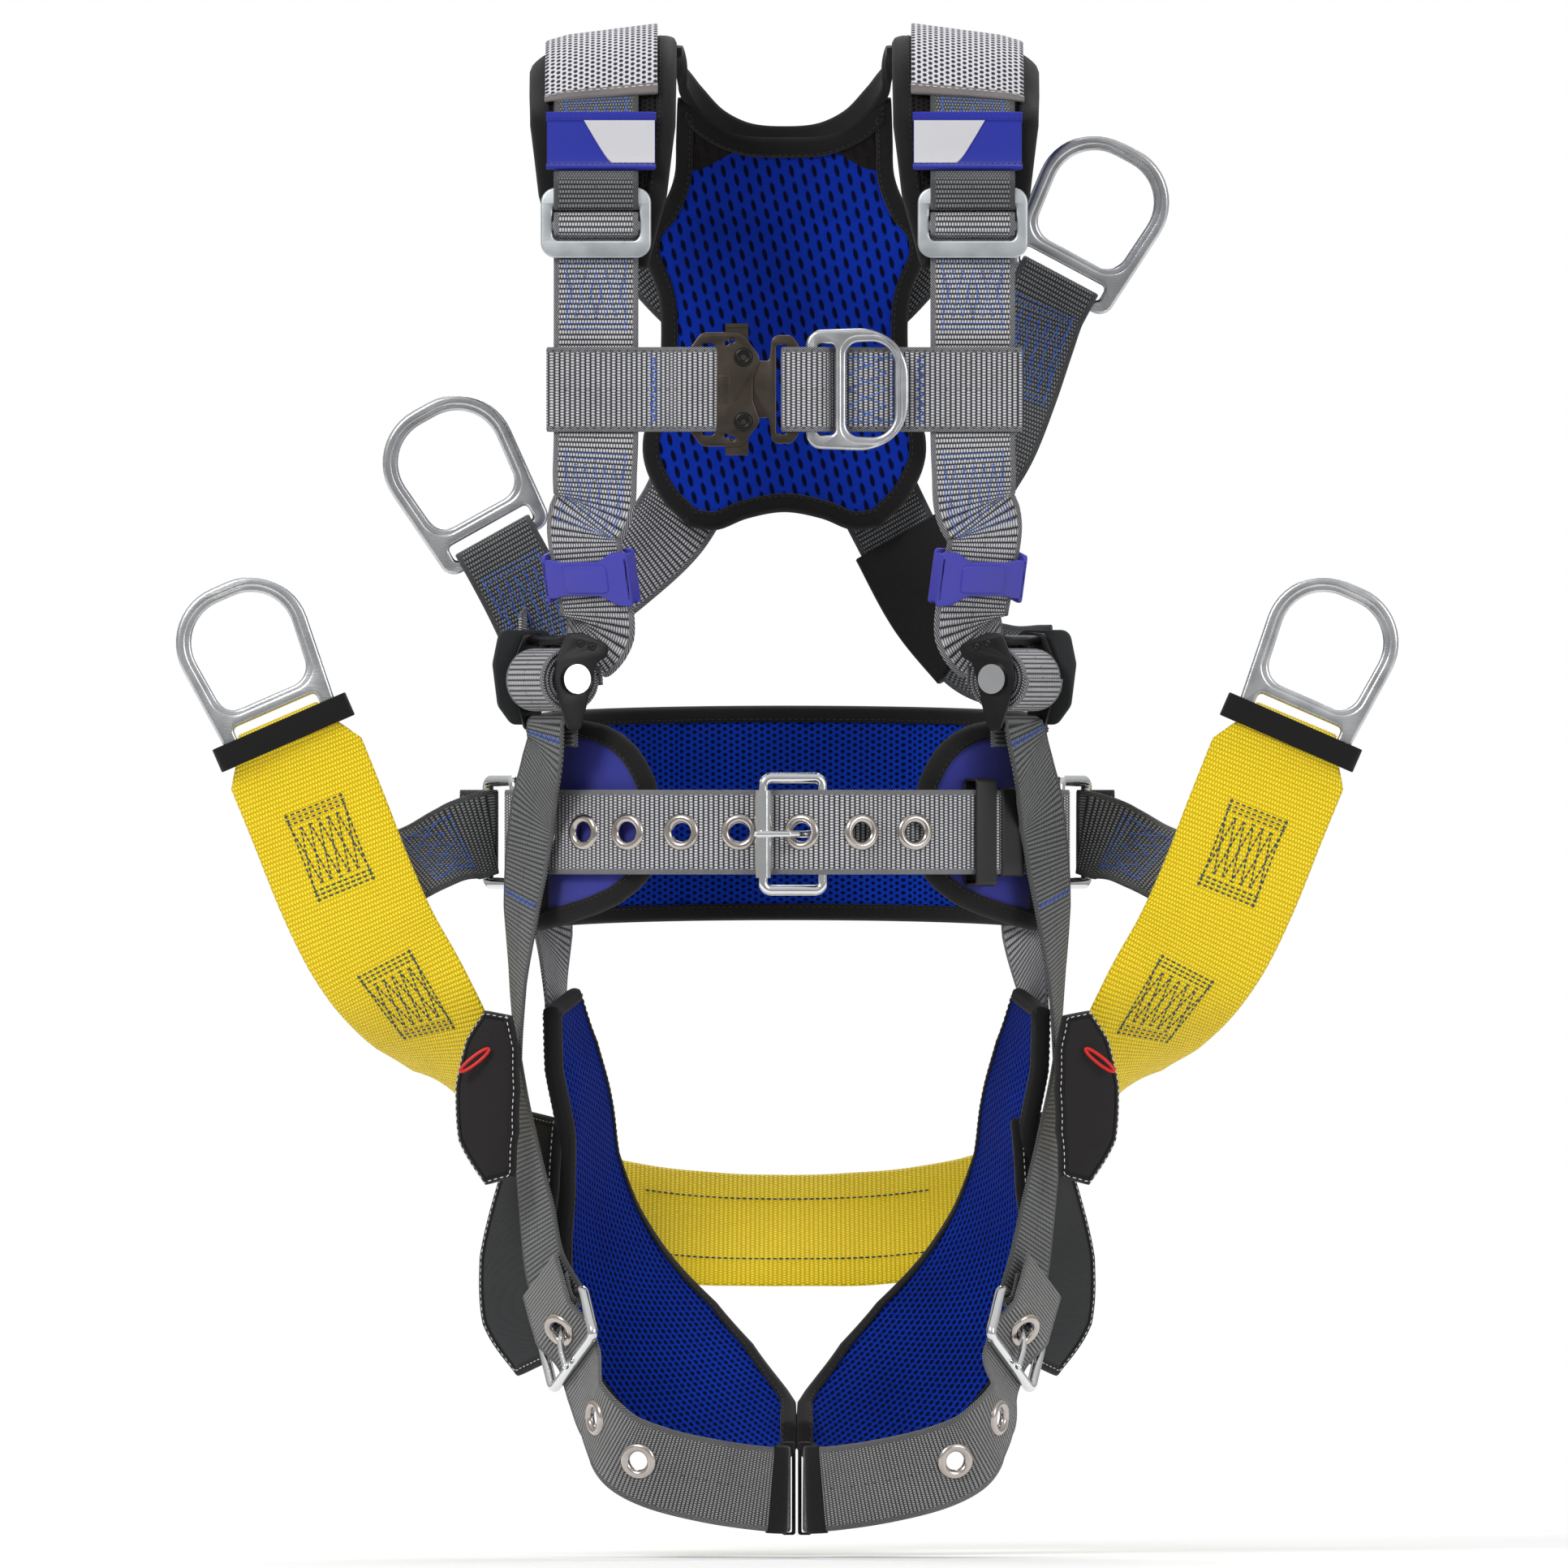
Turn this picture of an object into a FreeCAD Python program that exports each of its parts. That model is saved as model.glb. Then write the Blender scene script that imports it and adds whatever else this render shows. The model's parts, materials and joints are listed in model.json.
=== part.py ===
import FreeCAD, Part

import math
import os

import Sketcher

# Full-body climbing harness with a padded waist belt, thigh loops and a seat sling, in worn shape.
# Millimetres. +Z is up, -Y is the wearer's front.
# The origin is the middle of the waist opening, at the belt's height.
# "left" is the side with negative X.
# Routes are given for one side as (outward, Y, Z), and the other side mirrors them.

Vector = FreeCAD.Vector
doc = FreeCAD.newDocument("ClimbingHarness")

SIZES = [
    ("web_width", 44.5, "body webbing, width"),
    ("web_thick", 1.8, "body webbing, thickness"),
    ("fold_gap", 0.5, "gap between a folded strap and what it wraps"),
    ("sling_width", 74.0, "seat sling webbing, width"),
    ("sling_thick", 2.4, "seat sling webbing, thickness"),
    ("pad_thick", 10.0, "shoulder and leg pads, thickness"),
    ("shoulder_pad_width", 76.0, "shoulder pad, width"),
    ("waist_pad_tall", 112.0, "waist pad, height"),
    ("waist_pad_thick", 11.0, "waist pad, thickness"),
    ("belt_half_wide", 142.5, "belt ellipse, half width"),
    ("belt_half_deep", 105.0, "belt ellipse, half depth"),
    ("ring_stock", 6.0, "forged ring, thickness and strap bar width"),
    ("ring_foot", 62.0, "forged ring, outer width at the strap bar"),
    ("ring_head", 77.0, "forged ring, outer width near its head"),
    ("ring_rise", 84.0, "forged ring, strap bar centre to head"),
    ("ring_head_round", 31.0, "forged ring, outer corner radius at the head"),
    ("ring_foot_round", 8.0, "forged ring, outer corner radius at the foot"),
    ("ring_slot_wide", 47.5, "forged ring, strap slot width"),
    ("ring_slot_far", 12.0, "forged ring, strap bar centre to the slot's far edge"),
    ("ring_eye_near", 20.0, "forged ring, strap bar centre to the eye"),
    ("ring_eye_foot", 49.0, "forged ring, eye width at the foot"),
    ("ring_eye_head", 60.0, "forged ring, eye width at the head"),
    ("ring_eye_rise", 76.0, "forged ring, strap bar centre to the eye's far edge"),
    ("ring_eye_foot_round", 11.0, "forged ring, eye corner radius at the foot"),
    ("ring_eye_head_round", 23.0, "forged ring, eye corner radius at the head"),
    ("chest_ring_foot", 62.0, "chest ring, outer width at the strap bar"),
    ("chest_ring_head", 66.0, "chest ring, outer width near its head"),
    ("chest_ring_rise", 51.0, "chest ring, strap bar centre to head"),
    ("chest_ring_head_round", 27.0, "chest ring, outer corner radius at the head"),
    ("chest_ring_eye_near", 18.0, "chest ring, strap bar centre to the eye"),
    ("chest_ring_eye_foot", 49.0, "chest ring, eye width at the foot"),
    ("chest_ring_eye_head", 51.0, "chest ring, eye width at the head"),
    ("chest_ring_eye_rise", 43.5, "chest ring, strap bar centre to the eye's far edge"),
    ("chest_ring_eye_foot_round", 7.0, "chest ring, eye corner radius at the foot"),
    ("chest_ring_eye_head_round", 17.0, "chest ring, eye corner radius at the head"),
    ("frame_wide", 58.0, "shoulder adjuster frame, width"),
    ("frame_tall", 37.0, "shoulder adjuster frame, height"),
    ("frame_bar", 9.3, "shoulder adjuster frame, bar width"),
    ("frame_round", 8.0, "shoulder adjuster frame, corner radius"),
    ("frame_thick", 4.5, "shoulder adjuster frame, thickness"),
    ("groove_deep", 3.0, "slide bar groove in each side of the frame, depth"),
    ("groove_tall", 13.0, "slide bar groove, length along the frame"),
    ("groove_thick", 2.4, "slide bar groove, across the frame's thickness"),
    ("slide_bar_thick", 6.0, "slide bar, diameter"),
    ("slide_bar_long", 44.9, "slide bar, round length"),
    ("slide_bar_reach", 50.6, "slide bar, length over its flat ends"),
    ("slide_end_thick", 1.8, "slide bar's flat ends, thickness"),
    ("slide_end_tall", 4.0, "slide bar's flat ends, height"),
    ("housing_wide", 37.0, "chest buckle housing, along the strap"),
    ("housing_tall", 60.0, "chest buckle housing, across the strap"),
    ("housing_thick", 7.0, "chest buckle housing, thickness"),
    ("housing_round", 7.0, "chest buckle housing, corner radius"),
    ("housing_window_tall", 48.0, "chest buckle housing, strap window height"),
    ("housing_window_wide", 6.4, "chest buckle housing, strap window width"),
    ("mouth_deep", 12.0, "chest buckle housing, mouth depth"),
    ("mouth_tall", 33.0, "chest buckle housing, mouth height"),
    ("mouth_thick", 4.4, "chest buckle housing, mouth gap"),
    ("tongue_thick", 3.6, "chest buckle tongue plate, thickness"),
    ("tongue_tall", 57.0, "chest buckle tongue plate, height"),
    ("rivet_radius", 3.4, "chest buckle rivet, head radius"),
    ("rod", 5.5, "belt and leg buckle frames, rod diameter"),
    ("hip_rod", 6.0, "hip ring, rod diameter"),
    ("belt_frame_wide", 31.35, "belt buckle frame, bar to bar"),
    ("belt_frame_tall", 59.0, "belt buckle frame, height between rods"),
    ("leg_frame_wide", 30.0, "leg buckle frame, bar to bar"),
    ("leg_frame_tall", 54.0, "leg buckle frame, height between rods"),
    ("hip_ring_wide", 32.0, "hip ring, bar to bar"),
    ("hip_ring_tall", 54.0, "hip ring, height between rods"),
    ("frame_corner", 4.2, "rod frames, corner radius of the rod's centre line"),
    ("roller_radius", 4.75, "belt buckle roller, outer radius"),
    ("roller_bore", 3.1, "belt buckle roller, bore radius"),
    ("roller_long", 46.0, "belt buckle roller, length"),
    ("pin_radius", 1.8, "buckle tongue pin, radius"),
    ("knuckle_radius", 4.5, "buckle tongue knuckle, outer radius"),
    ("knuckle_bore", 2.82, "buckle tongue knuckle, bore radius"),
    ("knuckle_long", 7.0, "buckle tongue knuckle, length"),
    ("eyelet_radius", 9.4, "grommet flange, outer radius"),
    ("eyelet_hole", 5.0, "grommet, hole radius"),
    ("eyelet_wall", 0.7, "grommet, barrel wall"),
    ("eyelet_lip", 0.8, "grommet flange, thickness"),
    ("eyelet_grip", 1.35, "grommet, half of the space between its flanges"),
    ("spool_radius", 17.0, "torso adjuster, radius of the wound webbing"),
    ("spool_long", 45.5, "torso adjuster, length of the wound webbing"),
    ("axle_radius", 4.0, "torso adjuster axle, radius"),
    ("axle_head_radius", 7.8, "torso adjuster axle, head radius"),
    ("axle_head_thick", 2.6, "torso adjuster axle, head thickness"),
    ("cheek_gap", 50.0, "torso adjuster, space between the cheek plates"),
    ("cheek_thick", 2.5, "torso adjuster, cheek plate thickness"),
    ("cross_rod", 5.0, "torso adjuster, cross rod diameter"),
    ("keeper_wide", 52.0, "lanyard keeper, width"),
    ("keeper_tall", 26.0, "lanyard keeper, height"),
    ("keeper_thick", 10.0, "lanyard keeper, thickness"),
    ("keeper_slot_wide", 47.0, "lanyard keeper, slot width"),
    ("keeper_slot_thick", 5.6, "lanyard keeper, slot thickness"),
    ("belt_keeper_wide", 22.0, "belt keeper, along the belt"),
    ("belt_keeper_tall", 57.0, "belt keeper, height"),
    ("belt_keeper_wall", 1.8, "belt keeper, wall"),
    ("belt_keeper_gap", 9.2, "belt keeper, inner depth"),
    ("pouch_wide", 29.0, "hip pouch, width"),
    ("pouch_deep", 19.0, "hip pouch, depth"),
    ("pouch_tall", 92.0, "hip pouch, height"),
    ("binding_wide", 76.5, "sling end binding, width"),
    ("binding_thick", 18.6, "sling end binding, thickness"),
    ("binding_long", 13.0, "sling end binding, length along the sling"),
    ("binding_wall", 1.3, "sling end binding, wall"),
    ("plate_wide", 62.0, "dorsal plate, width"),
    ("plate_tall", 74.0, "dorsal plate, height"),
    ("plate_thick", 5.0, "dorsal plate, thickness"),
    ("saddle_long", 44.0, "dorsal plate, ring saddle length"),
    ("saddle_radius", 7.4, "dorsal plate, ring saddle outer radius"),
    ("saddle_bore", 4.9, "dorsal plate, ring saddle bore radius"),
]
sheet = doc.addObject("Spreadsheet::Sheet", "Sizes")
for row, (alias, value, note) in enumerate(SIZES, start=1):
    sheet.set(f"A{row}", note)
    sheet.set(f"B{row}", str(value))
    sheet.setAlias(f"B{row}", alias)
doc.recompute()
size = {alias: float(sheet.get(alias)) for alias, value, note in SIZES}

TORSO_SHIFT = -1.5  # the upper half hangs a little to the left of the belt's middle
LEG_SHIFT = 5.0  # and the thigh loops a little to the right of it
SIDES = (("left", -1), ("right", 1))
nodes = {}


# ---------------------------------------------------------------- helpers: placing and keeping


def keep(label, item):
    """Remembers a finished object under the node name that its file gets."""
    item.Label = label
    nodes[label] = item
    return item


def frame_at(origin, x_axis, y_axis):
    """The placement whose own X and Y axes lie along the given directions."""
    x = Vector(*x_axis).normalize()
    z = x.cross(Vector(*y_axis)).normalize()
    y = z.cross(x)
    o = Vector(*origin)
    return FreeCAD.Placement(
        FreeCAD.Matrix(x.x, y.x, z.x, o.x, x.y, y.y, z.y, o.y, x.z, y.z, z.z, o.z, 0, 0, 0, 1)
    )


def spot(place, x=0.0, y=0.0, z=0.0):
    """A point given in a placement's own axes, as a row-frame point."""
    return place.multVec(Vector(x, y, z))


def lean(place, x=0.0, y=0.0, z=0.0):
    """A direction given in a placement's own axes, as a row-frame direction."""
    return place.Rotation.multVec(Vector(x, y, z))


def plain(label, shape):
    """A node whose shape comes from Part's own functions."""
    item = doc.addObject("Part::Feature", label)
    item.Shape = shape
    return keep(label, item)


# ---------------------------------------------------------------- helpers: straps and pads


def stations(side, route, shift=0.0):
    """Turns (outward, y, z, normal outward, normal y, normal z) rows into points and normals on one side."""
    return [
        (Vector(side * out + shift, y, z), Vector(side * n_out, n_y, n_z))
        for out, y, z, n_out, n_y, n_z in route
    ]


def turn(bar, ahead, out, radius, back, steps=6):
    """A strap's fold round a bar: it arrives on the out side and runs back on the other side."""
    bar, ahead, out = Vector(bar), Vector(ahead).normalize(), Vector(out).normalize()
    found = []
    for i in range(steps + 1):
        angle = math.pi * i / steps
        normal = out * math.cos(angle) + ahead * math.sin(angle)
        found.append((bar + normal * radius, normal))
    if back:
        found.append((bar - out * radius - ahead * back, -out))
    return found


def ribbon(route, width, thick):
    """A flat strap or pad: a rectangle carried along the route, facing each station's normal."""
    points = [p for p, n in route]
    widths = width if isinstance(width, list) else [width] * len(route)
    sections = []
    for i, (point, normal) in enumerate(route):
        before = points[max(i - 1, 0)]
        after = points[min(i + 1, len(points) - 1)]
        along = (after - before).normalize()
        across = along.cross(normal).normalize()
        out = across.cross(along)
        half = across * (widths[i] / 2)
        deep = out * (thick / 2)
        corners = [point - half - deep, point + half - deep, point + half + deep, point - half + deep]
        sections.append(Part.makePolygon(corners + [corners[0]]))
    return Part.makeLoft(sections, True, True)


def fold_radius(bar_half):
    """The radius of a folded strap's middle round a bar."""
    return bar_half + size["fold_gap"] + size["web_thick"] / 2


# ---------------------------------------------------------------- helpers: PartDesign bodies


def new_body(label):
    return doc.addObject("PartDesign::Body", label)


def new_sketch(body, name, role="XY_Plane", offset=0.0):
    """A sketch on one of the body's own origin planes, moved along its normal."""
    sketch = body.newObject("Sketcher::SketchObject", name)
    plane = next(f for f in body.Origin.OriginFeatures if f.Role == role)
    sketch.AttachmentSupport = (plane, "")
    sketch.MapMode = "FlatFace"
    sketch.AttachmentOffset = FreeCAD.Placement(Vector(0, 0, offset), FreeCAD.Rotation())
    return sketch


def bind(sketch, constraint, expression):
    """Adds a dimension and ties it to the size sheet."""
    index = sketch.addConstraint(constraint)
    sketch.setExpression(f"Constraints[{index}]", expression)


def taper_sketch(sketch, foot_wide, head_wide, low, high):
    """A trapezoid, symmetric about the sketch's Y axis. Each argument is (value, expression)."""
    y0, y1 = low[0], high[0]
    w0, w1 = foot_wide[0] / 2, head_wide[0] / 2
    corners = [Vector(-w0, y0), Vector(w0, y0), Vector(w1, y1), Vector(-w1, y1)]
    lines = [Part.LineSegment(corners[i], corners[(i + 1) % 4]) for i in range(4)]
    sketch.addGeometry(lines, False)
    for i in range(4):
        sketch.addConstraint(Sketcher.Constraint("Coincident", i, 2, (i + 1) % 4, 1))
    for level in (0, 2):
        sketch.addConstraint(Sketcher.Constraint("Symmetric", level, 1, level, 2, -2))
    bind(sketch, Sketcher.Constraint("DistanceX", 0, 1, 0, 2, foot_wide[0]), foot_wide[1])
    bind(sketch, Sketcher.Constraint("DistanceX", 2, 2, 2, 1, head_wide[0]), head_wide[1])
    if y0 < 0:
        bind(sketch, Sketcher.Constraint("DistanceY", 0, 1, -1, 1, -y0), f"-({low[1]})")
    else:
        bind(sketch, Sketcher.Constraint("DistanceY", -1, 1, 0, 1, y0), low[1])
    bind(sketch, Sketcher.Constraint("DistanceY", -1, 1, 2, 1, y1), high[1])


def outline_sketch(sketch, points):
    """A closed outline of straight lines."""
    count = len(points)
    corners = [Vector(x, y) for x, y in points]
    sketch.addGeometry([Part.LineSegment(corners[i], corners[(i + 1) % count]) for i in range(count)], False)
    for i in range(count):
        sketch.addConstraint(Sketcher.Constraint("Coincident", i, 2, (i + 1) % count, 1))


def pad(body, sketch, expression):
    """Pads a sketch both ways from its plane."""
    feature = body.newObject("PartDesign::Pad", sketch.Name + "Pad")
    feature.Profile = sketch
    feature.SideType = "Symmetric"
    feature.setExpression("Length", expression)
    doc.recompute()
    return feature


def cut_through(body, sketch, expression):
    """Pockets a sketch both ways from its plane, and checks that it cut something."""
    before = body.Shape.Volume
    feature = body.newObject("PartDesign::Pocket", sketch.Name + "Cut")
    feature.Profile = sketch
    feature.SideType = "Symmetric"
    feature.setExpression("Length", expression)
    doc.recompute()
    if body.Shape.Volume > before - 1:
        raise RuntimeError(f"{sketch.Name} cut nothing")
    return feature


def round_edges(body, feature, wanted, expression):
    """Fillets the edges of the last feature that the test picks."""
    names = [f"Edge{i}" for i, edge in enumerate(feature.Shape.Edges, start=1) if wanted(edge)]
    fillet = body.newObject("PartDesign::Fillet", feature.Name + "Round")
    fillet.Base = (feature, names)
    fillet.setExpression("Radius", expression)
    doc.recompute()
    return fillet


def upright(edge, low, high):
    """True for a straight edge along the body's Z whose Y lies in the range."""
    a, b = edge.Vertexes[0].Point, edge.Vertexes[-1].Point
    straight = abs(a.x - b.x) < 1e-4 and abs(a.y - b.y) < 1e-4 and abs(a.z - b.z) > 1e-3
    return straight and low < a.y < high


def value(alias):
    return (size[alias], f"Sizes.{alias}")


# ---------------------------------------------------------------- rings


def rounded_taper(label, foot, head, low, high, head_round, foot_round, thick):
    """A slab with a trapezoid outline whose head and foot corners are rounded, built on the XY plane."""
    body = new_body(label)
    sketch = new_sketch(body, label + "_outline")
    taper_sketch(sketch, foot, head, low, high)
    blank = pad(body, sketch, thick)
    middle = (low[0] + high[0]) / 2
    headed = round_edges(body, blank, lambda e: upright(e, high[0] - 0.1, high[0] + 0.1), head_round)
    near_foot = (low[0] - 0.1, min(low[0] + 0.1, middle))
    round_edges(body, headed, lambda e: upright(e, *near_foot), foot_round)
    return body


def forged_ring(label, place, kind="ring"):
    """A forged ring: its strap bar lies on the placement's X axis and its head points along Y."""
    stock = size["ring_stock"]
    blank = rounded_taper(
        label + "_blank",
        value(kind + "_foot"),
        value(kind + "_head"),
        (-stock / 2, "-Sizes.ring_stock / 2"),
        value(kind + "_rise"),
        f"Sizes.{kind}_head_round",
        "Sizes.ring_foot_round",
        "Sizes.ring_stock",
    )
    slot = new_sketch(blank, label + "_slot")
    wide = value("ring_slot_wide")
    taper_sketch(slot, wide, wide, (stock / 2, "Sizes.ring_stock / 2"), value("ring_slot_far"))
    cut_through(blank, slot, "Sizes.ring_stock * 2")
    eye = rounded_taper(
        label + "_eye",
        value(kind + "_eye_foot"),
        value(kind + "_eye_head"),
        value(kind + "_eye_near"),
        value(kind + "_eye_rise"),
        f"Sizes.{kind}_eye_head_round",
        f"Sizes.{kind}_eye_foot_round",
        "Sizes.ring_stock * 2",
    )
    ring = doc.addObject("Part::Cut", label)
    ring.Base = blank
    ring.Tool = eye
    ring.Placement = place
    doc.recompute()
    return keep(label, ring)


def rod_loop(wide, tall, rod, corner):
    """A closed rectangular loop of round rod in the XY plane, from its corner at X 0: bars run along Y."""
    half = tall / 2
    centres = [(corner, half - corner), (wide - corner, half - corner)]
    centres += [(wide - corner, corner - half), (corner, corner - half)]
    starts = [math.pi, math.pi / 2, 0.0, -math.pi / 2]
    edges, ends = [], []
    for (cx, cy), start in zip(centres, starts):
        arc_points = [
            Vector(cx + corner * math.cos(start - a), cy + corner * math.sin(start - a), 0)
            for a in (0, math.pi / 4, math.pi / 2)
        ]
        edges.append(Part.Arc(*arc_points).toShape())
        ends.append((arc_points[0], arc_points[2]))
    for i in range(4):
        edges.insert(2 * i + 1, Part.makeLine(ends[i][1], ends[(i + 1) % 4][0]))
    path = Part.Wire(Part.__sortEdges__(edges))
    start = (ends[3][1] + ends[0][0]) / 2
    profile = Part.Wire(Part.makeCircle(rod / 2, start, Vector(0, 1, 0)))
    path = Part.Wire(
        [Part.makeLine(start, ends[0][0])] + edges[:7] + [Part.makeLine(ends[3][1], start)]
    )
    return path.makePipeShell([profile], True, True)


def rod_frame(wide, tall, rod, place):
    """A rod loop at a placement: its first bar lies on the placement's Y axis and the second at +X."""
    shape = rod_loop(size[wide], size[tall], size[rod], size["frame_corner"])
    shape.Placement = place
    return shape


# ---------------------------------------------------------------- shoulders and back pad

# The shoulder's side view, as (Y, Z) from the pad's front end, over the top, to its back end.
SHOULDER = [(-84, 297), (-81, 335), (-68, 372), (-40, 402), (-5, 415), (30, 407), (54, 384), (66, 353)]
SHOULDER_OUT = 95.5
STRAP_OUT = 99.0
PLATE_Y = 101.0


def shoulder_normals():
    found = []
    for i in range(len(SHOULDER)):
        before = SHOULDER[max(i - 1, 0)]
        after = SHOULDER[min(i + 1, len(SHOULDER) - 1)]
        along = Vector(0, after[0] - before[0], after[1] - before[1]).normalize()
        found.append(Vector(0, -along.z, along.y))
    return found


def on_shoulder(side, out, offset, first=0, last=len(SHOULDER) - 1):
    """Stations on the shoulder curve, moved outwards from the pad's middle."""
    normals = shoulder_normals()
    found = []
    for i in range(first, last + 1):
        y, z = SHOULDER[i]
        point = Vector(side * out + TORSO_SHIFT, y, z) + normals[i] * offset
        found.append((point, normals[i]))
    return found


FRAME_Y = -99.5
FRAME_Z = 320.2
TOP_BAR_Z = FRAME_Z + size["frame_tall"] / 2 - size["frame_bar"] / 2
SLIDE_BAR_Z = 318.8
CHEST_Z = 232.6
CHEST_Y = -108.5


def shoulder_pads():
    for name, side in SIDES:
        route = on_shoulder(side, SHOULDER_OUT, 0.0)
        plain(f"shoulder_pad_{name}", ribbon(route, size["shoulder_pad_width"], size["pad_thick"]))


def down_the_front(side, out, offset, share):
    """A station between the shoulder curve's second and third points, moved off the pad's middle."""
    normals = shoulder_normals()
    (y0, z0), (y1, z1) = SHOULDER[1], SHOULDER[2]
    normal = (normals[1] * (1 - share) + normals[2] * share).normalize()
    point = Vector(side * out + TORSO_SHIFT, y0 + (y1 - y0) * share, z0 + (z1 - z0) * share)
    return point + normal * offset, normal


def shoulder_straps():
    """Each strap folds up round the adjuster's top bar, runs over the pad and ends on the dorsal plate."""
    lift = size["pad_thick"] / 2 + 1.5
    shapes = []
    for name, side in SIDES:
        out = STRAP_OUT
        flap = on_shoulder(side, out, lift + 2.7, 2, 3)[::-1]
        flap.append(down_the_front(side, out, lift + 2.7, 0.4))
        bar = [(-3.1, 7.2, -0.8, 0.6), (-4.1, 2.0, -1, 0), (-4.0, -3.6, -1, -0.4)]
        bar += [(-3.2, -6.0, -0.7, -0.7), (0, -6.4, 0, -1)]
        bar += [(3.2, -6.0, 0.7, -0.7), (4.0, -3.6, 1, -0.4), (4.0, 2.5, 1, 0)]
        fold = [
            (Vector(side * out + TORSO_SHIFT, FRAME_Y + y, TOP_BAR_Z + z), Vector(0, ny, nz))
            for y, z, ny, nz in bar
        ]
        main = [down_the_front(side, out, lift, 0.4)] + on_shoulder(side, out, lift, 2, 6)
        back = stations(
            side,
            [
                (94, 78, 352, 0, 1, 0.25),
                (80, 90, 322, 0, 1, 0.1),
                (56, 95, 292, 0, 1, 0),
                (30, 96.5, 268, 0, 1, 0),
            ],
            TORSO_SHIFT,
        )
        rest = [(p, -n) for p, n in main + back]
        shapes.append(ribbon(flap + fold + rest, size["web_width"], size["web_thick"]))
    plain("shoulder_straps", Part.makeCompound(shapes))


def identity_bands():
    """A short cloth band over each shoulder strap, just above the adjuster."""
    shapes = []
    for name, side in SIDES:
        out = STRAP_OUT - 1.0
        route = [on_shoulder(side, out, 11.4, 2, 2)[0], down_the_front(side, out, 11.4, 0.4)]
        route.append((Vector(side * out + TORSO_SHIFT, -94.2, 349.2), Vector(0, -0.59, 0.81)))
        shapes.append(ribbon(route, 57.0, 1.4))
    plain("identity_bands", Part.makeCompound(shapes))


def back_pad():
    """The pad between the shoulder blades: a curved slab cut to its outline."""
    side_view = [(70, 160, 1, 0.1), (80, 195, 1, 0.1), (84, 235, 1, 0), (84, 280, 1, 0), (78, 325, 1, 0.2)]
    side_view += [(66, 358, 1, 0.45), (50, 383, 1, 0.8)]
    slab = ribbon([(Vector(0, y, z), Vector(0, ny, nz)) for y, z, ny, nz in side_view], 170.0, 11.0)
    # One half of the outline, as (X, Z) from the neck's middle, round the shoulder, to the lower middle.
    half = [(0, 366), (22, 367), (40, 376), (51, 388), (56, 388), (56.4, 346), (64, 330), (72.5, 318)]
    half += [(74, 306), (66, 284), (64.5, 258), (67, 232), (74, 208), (73, 194), (64, 176), (50, 162)]
    half += [(36, 161), (20, 167)]
    half += [(0, 170)]
    points = [Vector(x, 0, z) for x, z in half] + [Vector(-x, 0, z) for x, z in half[-2:0:-1]]
    face = Part.Face(Part.makePolygon(points + [points[0]]))
    block = face.extrude(Vector(0, 130, 0))
    shape = slab.common(block)
    shape.translate(Vector(TORSO_SHIFT, 0, 0))
    plain("back_pad", shape.Solids[0])


def adjuster_frame_body(label):
    """The flat frame of a shoulder adjuster, with a groove in each side for the slide bar's ends."""
    body = new_body(label)
    wide, tall = value("frame_wide"), size["frame_tall"] / 2
    outer = new_sketch(body, label + "_outer")
    taper_sketch(outer, wide, wide, (-tall, "-Sizes.frame_tall / 2"), (tall, "Sizes.frame_tall / 2"))
    blank = pad(body, outer, "Sizes.frame_thick")
    round_edges(body, blank, lambda e: upright(e, -99, 99), "Sizes.frame_round")
    inner = new_sketch(body, label + "_window")
    gap = tall - size["frame_bar"]
    inside = "Sizes.frame_wide - 2 * (Sizes.frame_bar - 3)"
    window = (size["frame_wide"] - 2 * (size["frame_bar"] - 3), inside)
    half = "Sizes.frame_tall / 2 - Sizes.frame_bar"
    taper_sketch(inner, window, window, (-gap, f"-({half})"), (gap, half))
    cut_through(body, inner, "Sizes.frame_thick * 2")
    groove = body.newObject("PartDesign::SubtractiveBox", label + "_groove")
    groove.setExpression("Length", "Sizes.frame_wide - 2 * (Sizes.frame_bar - 3) + 2 * Sizes.groove_deep")
    groove.setExpression("Width", "Sizes.groove_tall")
    groove.setExpression("Height", "Sizes.groove_thick")
    reach = window[0] + 2 * size["groove_deep"]
    groove.Placement.Base = Vector(-reach / 2, 2 - size["groove_tall"] / 2, -size["groove_thick"] / 2)
    doc.recompute()
    return body


def shoulder_adjusters():
    frames = []
    for name, side in SIDES:
        body = adjuster_frame_body(f"adjuster_frame_{name}")
        centre = (side * STRAP_OUT + TORSO_SHIFT, FRAME_Y, FRAME_Z)
        body.Placement = frame_at(centre, (1, 0, 0), (0, 0, 1))
        frames.append(body)
        long = size["slide_bar_long"]
        bar = Part.makeCylinder(size["slide_bar_thick"] / 2, long, Vector(-long / 2, 0, 0), Vector(1, 0, 0))
        ends = Part.makeBox(
            size["slide_bar_reach"],
            size["slide_end_thick"],
            size["slide_end_tall"],
            Vector(-size["slide_bar_reach"] / 2, -size["slide_end_thick"] / 2, -size["slide_end_tall"] / 2),
        )
        shape = bar.fuse(ends).removeSplitter()
        shape.translate(Vector(side * STRAP_OUT + TORSO_SHIFT, FRAME_Y, SLIDE_BAR_Z))
        plain(f"slide_bar_{name}", shape)
    pair = doc.addObject("Part::Compound", "shoulder_adjuster_frames")
    pair.Links = frames
    doc.recompute()
    keep("shoulder_adjuster_frames", pair)


# ---------------------------------------------------------------- torso adjusters and lanyard keepers

SPOOL_OUT, SPOOL_Y, SPOOL_Z = 122.1, -70.0, 80.5
AXIS_OUT, AXIS_Y = -0.44, -0.898  # the spool's axis, from the rear cheek to the front cheek
CROSS_TOP, CROSS_LOW = 20.5, -23.8  # the cross rods' heights from the spool's centre


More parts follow.
